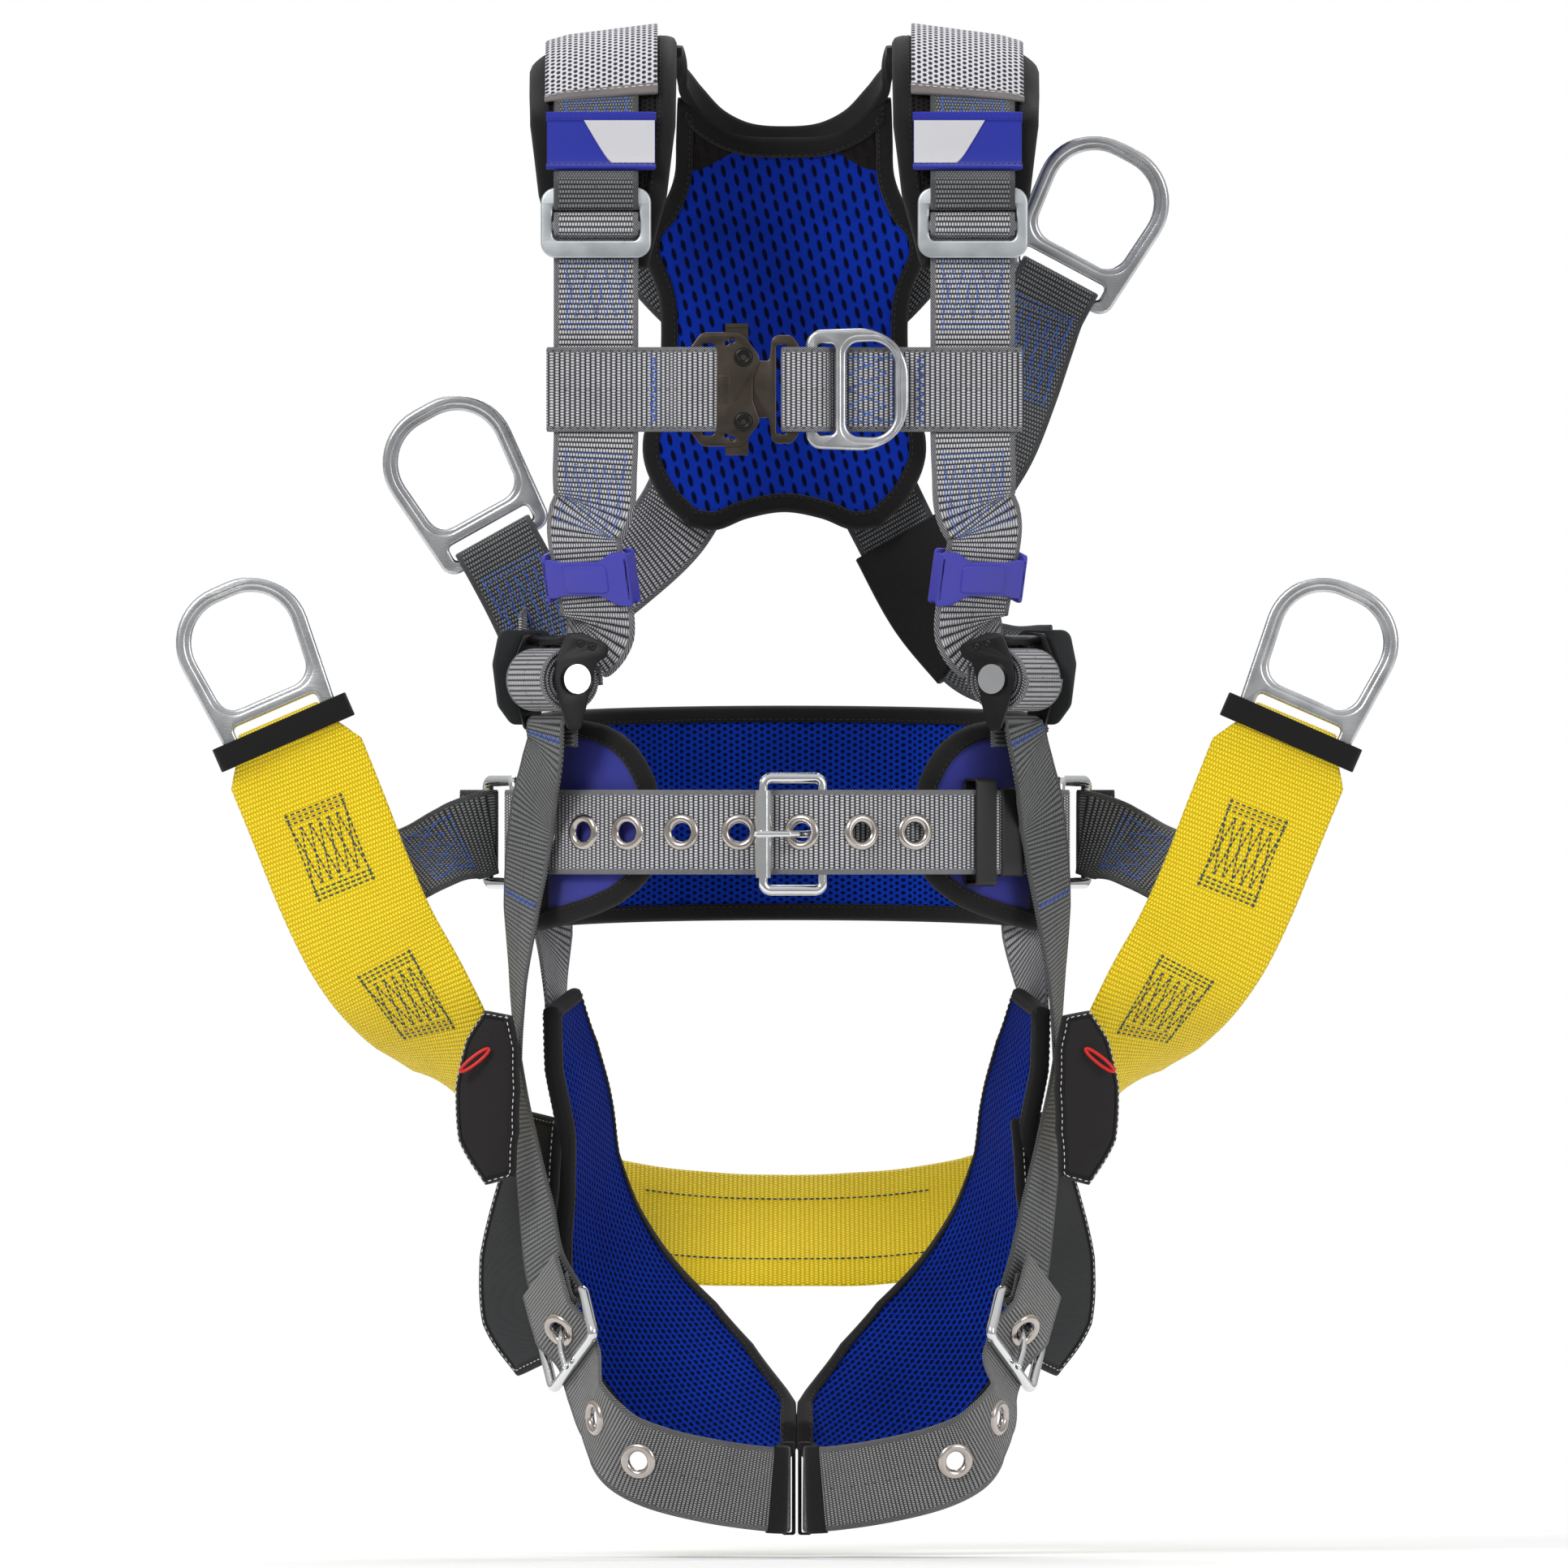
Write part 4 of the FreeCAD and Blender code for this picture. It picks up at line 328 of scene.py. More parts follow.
def thread(name, tone):
    """Bonded sewing thread."""
    f = Finish(name, Specular_IOR_Level=0.4, Sheen_Weight=0.2)
    twist = f.noise(1500.0, 1.0)
    f.colour(f.mix(twist, [c * 0.6 for c in tone[:3]] + [1], tone))
    f.rough(0.5 + twist * 0.2)
    return f


# The second colour of each webbing is painted shade for the hollows between its cords.
LIGHT_WEB = webbing("light_webbing", dye(214, 214, 219), dye(30, 31, 35))
DARK_WEB = webbing("dark_webbing", dye(132, 134, 136), dye(22, 23, 25), rib=2.4)
SATIN_WEB = webbing("satin_webbing", dye(158, 158, 158), dye(26, 27, 27), rib=2.0, cord=1.2, sheen=0.3)
YELLOW_WEB = webbing("yellow_webbing", dye(255, 244, 36), dye(236, 186, 0), rib=2.4, cord=1.6, half=40.0)
BLUE_SPACER = spacer_mesh("blue_spacer_mesh", dye(0, 50, 182), dye(0, 4, 40), (6.0, 9.0), (2.4, 6.6), 0.22, 0.5, (351.0, 362.0, dye(28, 25, 24)))
BLUE_AIR = spacer_mesh("blue_air_mesh", dye(0, 56, 184), dye(0, 6, 46), (3.4, 3.4), (2.2, 1.8))
LEG_AIR = spacer_mesh("leg_air_mesh", dye(0, 50, 172), dye(0, 6, 44), (2.9, 3.9), (1.7, 3.0))
GREY_HEX = spacer_mesh("grey_hex_mesh", dye(222, 222, 228), dye(58, 58, 63), (3.0, 3.6), (2.1, 2.4), ground=0.8)
BLACK_MESH = spacer_mesh("black_mesh", dye(34, 31, 30), dye(6, 6, 6), (2.6, 3.0), (1.2, 1.5))
TAPE = knit_tape("black_tape", dye(22, 20, 20))
TAUPE_TAPE = knit_tape("taupe_tape", dye(122, 116, 116))
NAVY_TAPE = twill("blue_bias_tape", dye(42, 50, 172), 0.7)
BAND_TWILL = twill("band_twill", dye(40, 52, 168), 0.9)
PATCH = twill("silver_patch", dye(218, 218, 222), 0.5, 0.12)
PANEL_TWILL = twill("violet_panel", dye(54, 58, 152), 0.6, 0.15)
PACK_CLOTH = plain_cloth("black_pack_cloth", dye(29, 26, 26))
NEOPRENE = plain_cloth("grey_neoprene", dye(42, 44, 45), 0.9)
FORGED = metal("forged_alloy", (0.66, 0.67, 0.69, 1), 0.3, mottle=0.2, deep=0.16)
ZINC = metal("zinc_plate", dye(204, 210, 213), 0.45, mottle=0.16, deep=0.08)
CHROME = metal("chrome", (0.78, 0.79, 0.8, 1), 0.12, mottle=0.05, deep=0.02)
NICKEL = metal("warm_nickel", dye(196, 188, 182), 0.22, mottle=0.15)
BRONZE = metal("bronze_plate", dye(92, 84, 76), 0.34, mottle=0.25)
BLACK_STEEL = metal("black_steel", dye(28, 28, 29), 0.36, mottle=0.2, metallic=0.55)
BLUE_PLASTIC = moulding("violet_plastic", dye(64, 62, 170))
BLACK_PLASTIC = moulding("black_plastic", dye(26, 26, 28), 0.42)
RED_PLASTIC = moulding("red_pull", dye(205, 24, 24), 0.3)
BLUE_THREAD = thread("blue_thread", dye(58, 108, 214))
BLACK_THREAD = thread("black_thread", dye(24, 24, 26))
GREEN_THREAD = thread("green_thread", dye(44, 74, 84))
WHITE_THREAD = thread("white_thread", dye(232, 232, 232))
NAVY_THREAD = thread("navy_thread", dye(22, 24, 92))


# ---------------------------------------------------------------- meshes, paths and skins


def made_piece(name, mesh):
    piece = bpy.data.objects.new(name, mesh)
    bpy.context.scene.collection.objects.link(piece)
    return piece


def skin(name, points, faces, finishes, flat=None, picks=None, smooth=True, close=True):
    """A mesh piece at the origin. Flat gives each point's place on the cloth, and picks each face's finish."""
    mesh = bpy.data.meshes.new(name)
    mesh.from_pydata((np.array(points, float) * MM).tolist(), [], faces)
    if flat is not None:
        layer = mesh.uv_layers.new(name="cloth")
        corners = np.array([loop.vertex_index for loop in mesh.loops])
        layer.data.foreach_set("uv", (np.array(flat, float) * MM)[corners].ravel())
    for finish in finishes:
        mesh.materials.append(finish.material)
    if picks is not None:
        mesh.polygons.foreach_set("material_index", picks)
    mesh.polygons.foreach_set("use_smooth", [smooth] * len(mesh.polygons))
    if close:
        loose = bmesh.new()
        loose.from_mesh(mesh)
        bmesh.ops.recalc_face_normals(loose, faces=loose.faces)
        loose.to_mesh(mesh)
        loose.free()
    mesh.update()
    return made_piece(name, mesh)


def place_at(origin, x_axis, y_axis):
    """The matrix whose own X and Y axes lie along the given directions, in millimetres."""
    x = Vector(x_axis).normalized()
    z = x.cross(Vector(y_axis)).normalized()
    y = z.cross(x)
    matrix = Matrix((x, y, z)).transposed().to_4x4()
    matrix.translation = Vector(origin)
    return matrix


def stations(side, rows, shift=0.0):
    """Turns (outward, y, z, normal outward, normal y, normal z) rows into points and normals on one side."""
    return [(Vector((side * o + shift, y, z)), Vector((side * p, q, r))) for o, y, z, p, q, r in rows]


def turn(bar, ahead, out, radius, back, steps=8):
    """A strap's fold round a bar: it arrives on the out side, turns past the bar and runs back behind it."""
    bar, ahead, out = Vector(bar), Vector(ahead).normalized(), Vector(out).normalized()
    found = []
    for i in range(steps + 1):
        angle = math.pi * i / steps
        normal = out * math.cos(angle) + ahead * math.sin(angle)
        found.append((bar + normal * radius, normal))
    if back:
        found.append((bar - out * radius - ahead * back, -out))
    return found


def smoothed(route, step=2.2):
    """A smooth line through a route's stations, as arrays of points, normals, and share of the route's stations."""
    points = np.array([tuple(p) for p, n in route])
    normals = np.array([tuple(Vector(n).normalized()) for p, n in route])
    ghost = np.vstack([2 * points[0] - points[1], points, 2 * points[-1] - points[-2]])
    knots = np.concatenate([[0], np.cumsum(np.sqrt(np.linalg.norm(np.diff(ghost, axis=0), axis=1) + 1e-6))])
    line, facing, share = [], [], []
    for i in range(len(points) - 1):
        p, t = ghost[i : i + 4], knots[i : i + 4]
        count = max(3, int(np.linalg.norm(p[2] - p[1]) / step))
        last = i == len(points) - 2
        for k in range(count + last):
            u = t[1] + (t[2] - t[1]) * k / count
            a = [p[j] * (t[j + 1] - u) / (t[j + 1] - t[j]) + p[j + 1] * (u - t[j]) / (t[j + 1] - t[j]) for j in range(3)]
            b = [a[j] * (t[j + 2] - u) / (t[j + 2] - t[j]) + a[j + 1] * (u - t[j]) / (t[j + 2] - t[j]) for j in range(2)]
            line.append(b[0] * (t[2] - u) / (t[2] - t[1]) + b[1] * (u - t[1]) / (t[2] - t[1]))
            facing.append(normals[i] * (1 - k / count) + normals[i + 1] * (k / count))
            share.append(i + k / count)
    return np.array(line), np.array(facing), np.array(share)


def unit(rows):
    return rows / np.maximum(np.linalg.norm(rows, axis=-1, keepdims=True), 1e-9)


# A webbing's cut end as (share of half width, share of half thickness): flat faces and rounded selvedges.
WEB_SECTION = [(-0.95, 0.95), (-0.6, 1.0), (-0.2, 1.0), (0.2, 1.0), (0.6, 1.0), (0.95, 0.95), (1.0, 0.4), (1.0, -0.4)]
WEB_SECTION += [(0.95, -0.95), (0.6, -1.0), (0.2, -1.0), (-0.2, -1.0), (-0.6, -1.0), (-0.95, -0.95), (-1.0, -0.4)]
WEB_SECTION += [(-1.0, 0.4)]


class Strap:
    """A length of webbing laid along a route. It keeps its smooth line, so stitches and grommets find their place."""

    def __init__(self, route, width=WEB_WIDE, thick=WEB_THICK, step=2.2, ripple=0.12):
        self.line, facing, share = smoothed(route, step)
        self.along = np.concatenate([[0], np.cumsum(np.linalg.norm(np.diff(self.line, axis=0), axis=1))])
        tangent = unit(np.gradient(self.line, axis=0))
        self.across = unit(np.cross(tangent, facing))
        self.out = unit(np.cross(self.across, tangent))
        widths = width if isinstance(width, list) else [width] * len(route)
        self.half = np.interp(share, range(len(route)), widths) / 2
        self.thick = thick
        self.ripple = ripple

    def find(self, axis, value, part=0):
        """How far along the strap it crosses a plane square to an axis; part picks the crossing, in order."""
        over = self.line[:, axis] > value
        crossings = np.nonzero(over[1:] != over[:-1])[0]
        return float(self.along[crossings[part]])

    def frame(self, along):
        """The middle point, across and outward directions at a length along the strap."""
        return [np.array([np.interp(along, self.along, rows[:, k]) for k in range(3)]) for rows in (self.line, self.across, self.out)]

    def spot(self, across, along, lift=0.0):
        """A point on the strap's outer face."""
        middle, sideways, out = self.frame(along)
        return middle + sideways * across + out * (self.thick / 2 + lift)

    def mesh(self, name, finish):
        section = np.array(WEB_SECTION)
        count = len(section)
        wobble = self.ripple * np.sin(self.along / 9.0) * np.sin(self.along / 23.0 + 1.0)
        points = (
            self.line[:, None]
            + self.across[:, None] * (section[:, 0][None, :] * self.half[:, None])[..., None]
            + self.out[:, None] * (section[:, 1][None, :] * self.thick / 2 + wobble[:, None] * section[:, 0][None, :])[..., None]
        )
        flat = np.stack(np.broadcast_arrays(section[:, 0][None, :] * self.half[:, None], self.along[:, None]), axis=-1)
        faces = tube_faces(len(self.line), count, False)
        return skin(name, points.reshape(-1, 3), faces, [finish], flat.reshape(-1, 2))


def tube_faces(rings, count, looped):
    """Quads between rings of points, with caps on a tube that isn't a loop."""
    faces = []
    for i in range(rings if looped else rings - 1):
        j = (i + 1) % rings
        for k in range(count):
            m = (k + 1) % count
            faces.append((i * count + k, i * count + m, j * count + m, j * count + k))
    if not looped:
        faces.append(tuple(range(count)))
        faces.append(tuple(range((rings - 1) * count, rings * count)))
    return faces


def tube(name, line, radius, finish, looped=False, sides=14):
    """A round rod along a line of points."""
    line = np.array([tuple(p) for p in line], float)
    tangent = unit(np.roll(line, -1, 0) - np.roll(line, 1, 0)) if looped else unit(np.gradient(line, axis=0))
    guide = np.array([0.0, 0.0, 1.0]) if abs(tangent[0][2]) < 0.9 else np.array([1.0, 0.0, 0.0])
    ups = []
    for t in tangent:
        guide = guide - t * guide.dot(t)
        guide = guide / np.linalg.norm(guide)
        ups.append(guide)
    ups = np.array(ups)
    sideways = np.cross(tangent, ups)
    angles = np.arange(sides) * 2 * math.pi / sides
    ring = ups[:, None] * np.cos(angles)[None, :, None] + sideways[:, None] * np.sin(angles)[None, :, None]
    points = line[:, None] + ring * radius
    return skin(name, points.reshape(-1, 3), tube_faces(len(line), sides, looped), [finish])


def rounded(corners, steps=6):
    """A closed outline from (x, y, corner radius) rows."""
    found = []
    count = len(corners)
    for i, (x, y, radius) in enumerate(corners):
        here = Vector((x, y))
        before = Vector(corners[i - 1][:2]) - here
        after = Vector(corners[(i + 1) % count][:2]) - here
        half = before.angle(after) / 2
        reach = min(radius / math.tan(half), before.length * 0.49, after.length * 0.49)
        radius = reach * math.tan(half)
        if radius < 0.05:
            found.append((x, y))
            continue
        centre = here + (before.normalized() + after.normalized()).normalized() * (radius / math.sin(half))
        start = here + before.normalized() * reach - centre
        end = here + after.normalized() * reach - centre
        sweep = start.angle_signed(end)
        for k in range(steps + 1):
            spin = Matrix.Rotation(-sweep * k / steps, 2)
            found.append(tuple(centre + spin @ start))
    return found


def circle(x, y, radius, steps=24):
    return [(x + radius * math.cos(2 * math.pi * i / steps), y + radius * math.sin(2 * math.pi * i / steps)) for i in range(steps)]


def plate(name, loops, thick, bevel, place, finish):
    """A flat plate with eased edges: the first loop is its outline and the rest are holes."""
    curve = bpy.data.curves.new(name, "CURVE")
    curve.dimensions = "2D"
    curve.fill_mode = "BOTH"
    curve.extrude = (thick / 2 - bevel) * MM
    curve.bevel_depth = bevel * MM
    curve.bevel_resolution = 2
    curve.offset = -bevel * MM
    for loop in loops:
        spline = curve.splines.new("POLY")
        spline.points.add(len(loop) - 1)
        for point, (x, y) in zip(spline.points, loop):
            point.co = (x * MM, y * MM, 0, 1)
        spline.use_cyclic_u = True
    holder = made_piece(name + "_blank", curve)
    bpy.context.view_layer.update()
    mesh = bpy.data.meshes.new_from_object(holder.evaluated_get(bpy.context.evaluated_depsgraph_get()))
    bpy.data.objects.remove(holder)
    inked = bmesh.new()
    inked.from_mesh(mesh)
    bmesh.ops.remove_doubles(inked, verts=inked.verts, dist=1e-6)
    bmesh.ops.recalc_face_normals(inked, faces=inked.faces)
    inked.to_mesh(mesh)
    inked.free()
    metres = place.copy()
    metres.translation = place.translation * MM
    mesh.transform(metres)
    mesh.materials.clear()
    mesh.materials.append(finish.material)
    mesh.polygons.foreach_set("use_smooth", [True] * len(mesh.polygons))
    mesh.set_sharp_from_angle(angle=math.radians(32))
    mesh.name = name
    return made_piece(name, mesh)


def joined(name, pieces):
    """Makes one piece of several, keeping each one's finish."""
    whole = bmesh.new()
    finishes = []
    layer = whole.loops.layers.uv.new("cloth")
    for piece in pieces:
        offset = len(finishes)
        finishes += list(piece.data.materials)
        part = piece.data.copy()
        if "cloth" not in part.uv_layers:
            part.uv_layers.new(name="cloth")
        part.polygons.foreach_set("material_index", [p.material_index + offset for p in part.polygons])
        whole.from_mesh(part)
        bpy.data.objects.remove(piece)
    mesh = bpy.data.meshes.new(name)
    whole.to_mesh(mesh)
    whole.free()
    for material in finishes:
        mesh.materials.append(material)
    return made_piece(name, mesh)


def settle(piece, body=ROOT, stands_for=()):
    """Puts a finished piece on its body, and hides the CAD nodes that it stands for."""
    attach(piece, body)
    if stands_for:
        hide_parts(*stands_for)
    return piece


# ---------------------------------------------------------------- repeated work: stitches and grommets


def tree_inputs(tree, rows):
    tree.interface.new_socket("Geometry", in_out="INPUT", socket_type="NodeSocketGeometry")
    for label, kind in rows:
        tree.interface.new_socket(label, in_out="INPUT", socket_type=kind)
    tree.interface.new_socket("Geometry", in_out="OUTPUT", socket_type="NodeSocketGeometry")


class Jig:
    """Builds one Geometry Nodes tree with named inputs, ending in Realize Instances and Set Material."""

    def __init__(self, name, rows):
        self.tree = bpy.data.node_groups.new(name, "GeometryNodeTree")
        tree_inputs(self.tree, rows)
        self.entry = self.tree.nodes.new("NodeGroupInput")

    def given(self, label):
        return self.entry.outputs[label]

    def node(self, kind, settings=None, sockets=None):
        made = self.tree.nodes.new(kind)
        for key, value in (settings or {}).items():
            setattr(made, key, value)
        for place, value in (sockets or {}).items():
            socket = made.inputs[place]
            if isinstance(value, bpy.types.NodeSocket):
                self.tree.links.new(value, socket)
            else:
                socket.default_value = value
        return made.outputs

    def close(self, instances, material):
        solid = self.node("GeometryNodeRealizeInstances", None, {0: instances})[0]
        dressed = self.node("GeometryNodeSetMaterial", None, {"Geometry": solid, "Material": material})[0]
        self.node("NodeGroupOutput", None, {0: dressed})

    def run(self, name, mesh, values):
        """Applies the tree to a mesh, and gives the result as a plain piece."""
        holder = made_piece(name, mesh)
        modifier = holder.modifiers.new("jig", "NODES")
        modifier.node_group = self.tree
        labels = {item.name: item.identifier for item in self.tree.interface.items_tree if item.in_out == "INPUT"}
        for label, value in values.items():
            modifier[labels[label]] = value
        bpy.context.view_layer.update()
        made = bpy.data.meshes.new_from_object(holder.evaluated_get(bpy.context.evaluated_depsgraph_get()))
        bpy.data.objects.remove(holder)
        made.polygons.foreach_set("use_smooth", [True] * len(made.polygons))
        made.name = name
        return made_piece(name, made)


def stitch_jig():
    """Sews a row of stitches along each line of a mesh."""
    jig = Jig("stitch_row", [("Pitch", "NodeSocketFloat"), ("Length", "NodeSocketFloat"), ("Thread width", "NodeSocketFloat"), ("Thread", "NodeSocketMaterial")])
    seam = jig.node("GeometryNodeMeshToCurve", None, {"Mesh": jig.given("Geometry")})[0]
    spaced = jig.node("GeometryNodeResampleCurve", {"mode": "LENGTH"}, {"Curve": seam, "Length": jig.given("Pitch")})[0]
    heading = jig.node("GeometryNodeInputTangent")[0]
    turned = jig.node("FunctionNodeAlignRotationToVector", {"axis": "Z"}, {"Vector": heading})[0]
    half_long = jig.node("ShaderNodeMath", {"operation": "MULTIPLY"}, {0: jig.given("Length"), 1: 0.5})[0]
    half_wide = jig.node("ShaderNodeMath", {"operation": "MULTIPLY"}, {0: jig.given("Thread width"), 1: 0.5})[0]
    bead = jig.node("GeometryNodeMeshUVSphere", None, {"Segments": 6, "Rings": 5, "Radius": 1.0})[0]
    size = jig.node("ShaderNodeCombineXYZ", None, {0: half_wide, 1: half_wide, 2: half_long})[0]
    stitch = jig.node("GeometryNodeTransform", None, {"Geometry": bead, "Scale": size})[0]
    row = jig.node("GeometryNodeInstanceOnPoints", None, {"Points": spaced, "Instance": stitch, "Rotation": turned})[0]
    jig.close(row, jig.given("Thread"))
    return jig


STITCH_JIG = stitch_jig()


def sew(name, lines, finish, pitch=3.0, length=2.3, wide=1.0, body=ROOT):
    """Rows of stitches along lines of points."""
    points, edges = [], []
    for line in lines:
        start = len(points)
        points += [tuple(float(c) * MM for c in p) for p in line]
        edges += [(start + i, start + i + 1) for i in range(len(line) - 1)]
    mesh = bpy.data.meshes.new(name)
    mesh.from_pydata(points, edges, [])
    values = {"Pitch": pitch * MM, "Length": length * MM, "Thread width": wide * MM, "Thread": finish.material}
    return settle(STITCH_JIG.run(name, mesh, values), body)


def grommet_jig():
    """Sets a rounded grommet at each point, square to its facing."""
    jig = Jig("grommet_setter", [("Hole radius", "NodeSocketFloat"), ("Flange radius", "NodeSocketFloat"), ("Height", "NodeSocketFloat"), ("Metal", "NodeSocketMaterial")])
    hole, flange = jig.given("Hole radius"), jig.given("Flange radius")
    both = jig.node("ShaderNodeMath", {"operation": "ADD"}, {0: hole, 1: flange})[0]
    middle = jig.node("ShaderNodeMath", {"operation": "MULTIPLY"}, {0: both, 1: 0.5})[0]
    half_wide = jig.node("ShaderNodeMath", {"operation": "SUBTRACT"}, {0: flange, 1: middle})[0]
    half_tall = jig.node("ShaderNodeMath", {"operation": "MULTIPLY"}, {0: jig.given("Height"), 1: 0.5})[0]
    path = jig.node("GeometryNodeCurvePrimitiveCircle", None, {"Resolution": 40, "Radius": middle})[0]
    section = jig.node("GeometryNodeCurvePrimitiveCircle", None, {"Resolution": 12, "Radius": 1.0})[0]
    size = jig.node("ShaderNodeCombineXYZ", None, {0: half_wide, 1: half_tall, 2: 1.0})[0]
    oval = jig.node("GeometryNodeTransform", None, {"Geometry": section, "Scale": size})[0]
    ring = jig.node("GeometryNodeCurveToMesh", None, {"Curve": path, "Profile Curve": oval})[0]
    facing = jig.node("GeometryNodeInputNamedAttribute", {"data_type": "FLOAT_VECTOR"}, {"Name": "facing"})[0]
    turned = jig.node("FunctionNodeAlignRotationToVector", {"axis": "Z"}, {"Vector": facing})[0]
    placed = jig.node("GeometryNodeInstanceOnPoints", None, {"Points": jig.given("Geometry"), "Instance": ring, "Rotation": turned})[0]
    jig.close(placed, jig.given("Metal"))
    return jig


GROMMET_JIG = grommet_jig()


def set_grommets(name, places, finish, hole=4.9, flange=9.9, tall=4.8, body=ROOT):
    """Grommets or rivets at (point, normal) places."""
    mesh = bpy.data.meshes.new(name)
    mesh.from_pydata([tuple(float(c) * MM for c in p) for p, n in places], [], [])
    facing = mesh.attributes.new("facing", "FLOAT_VECTOR", "POINT")
    facing.data.foreach_set("vector", np.array([tuple(n) for p, n in places], float).ravel())
    values = {"Hole radius": hole * MM, "Flange radius": flange * MM, "Height": tall * MM, "Metal": finish.material}
    piece = GROMMET_JIG.run(name, mesh, values)
    loose = bmesh.new()
    loose.from_mesh(piece.data)
    bmesh.ops.recalc_face_normals(loose, faces=loose.faces)
    loose.to_mesh(piece.data)
    loose.free()
    return piece


def lines_on(strap, rows, lift=0.1, step=3.0):
    """Rows of (across, along) corners on a strap, as lines of points that follow its surface."""
    found = []
    for row in rows:
        line = []
        for (a, b), (c, d) in zip(row, row[1:]):
            count = max(1, int(math.hypot(c - a, d - b) / step))
            line += [strap.spot(a + (c - a) * k / count, b + (d - b) * k / count, lift) for k in range(count)]
        line.append(strap.spot(*row[-1], lift))
        found.append(line)
    return found


def stitch_box(start, end, half, points=3, bars=2, gap=3.0):
    """A zigzag inside a box: bars across both ends, the sides, and a W that joins them."""
    rows = []
    for i in range(bars):
        rows.append([(-half, start + gap * i), (half, start + gap * i)])
        rows.append([(-half, end - gap * i), (half, end - gap * i)])
    low, high = start + gap * bars, end - gap * bars
    rows += [[(-half, start), (-half, end)], [(half, start), (half, end)]]
    for shift in (0, 1):
        zigzag = []
        for i in range(points * 2 + 1):
            zigzag.append((-half + 2 * half * i / (points * 2), low if (i + shift) % 2 else high))
        rows.append(zigzag)
    return rows


def bartack(strap, along, half, turns=9, wide=1.6):
    """A dense zigzag bar across a strap."""
    row = [(-half + 2 * half * i / turns, along + (wide if i % 2 else -wide)) for i in range(turns + 1)]
    return lines_on(strap, [row, [(-a, b) for a, b in row]], 0.15, 1.5)


def ticks(strap, start, end, pitch=6.2, long=1.6):
    """Short marker yarns down the middle of a strap."""
    count = int((end - start) / pitch)
    return lines_on(strap, [[(0, start + pitch * i), (0, start + pitch * i + long)] for i in range(count)], -0.12)


# ---------------------------------------------------------------- pads: crowned forms, swollen on their seams


def grid_faces(rows, columns, offset=0, flip=False):
    faces = []
    for i in range(rows - 1):
        for k in range(columns - 1):
            a = offset + i * columns + k
            face = (a, a + 1, a + columns + 1, a + columns)
            faces.append(face[::-1] if flip else face)
    return faces


def border(rows, columns):
    """The indices round a grid's edge, in order."""
    found = [(0, k) for k in range(columns)]
    found += [(i, columns - 1) for i in range(1, rows)]
    found += [(rows - 1, k) for k in range(columns - 2, -1, -1)]
    found += [(i, 0) for i in range(rows - 2, 0, -1)]
    return found


def edge_distance(points, rim):
    """How far each grid point is from the grid's rim."""
    closed = np.vstack([rim, rim[:1]])
    dense = np.vstack([closed[i] + (closed[i + 1] - closed[i]) * t for i in range(len(rim)) for t in (0, 0.25, 0.5, 0.75)])
    flatpoints = points.reshape(-1, 3)
    nearest = np.full(len(flatpoints), 1e9)
    for start in range(0, len(dense), 400):
        gaps = np.linalg.norm(flatpoints[:, None] - dense[None, start : start + 400], axis=2)
        nearest = np.minimum(nearest, gaps.min(axis=1))
    return nearest.reshape(points.shape[:2])


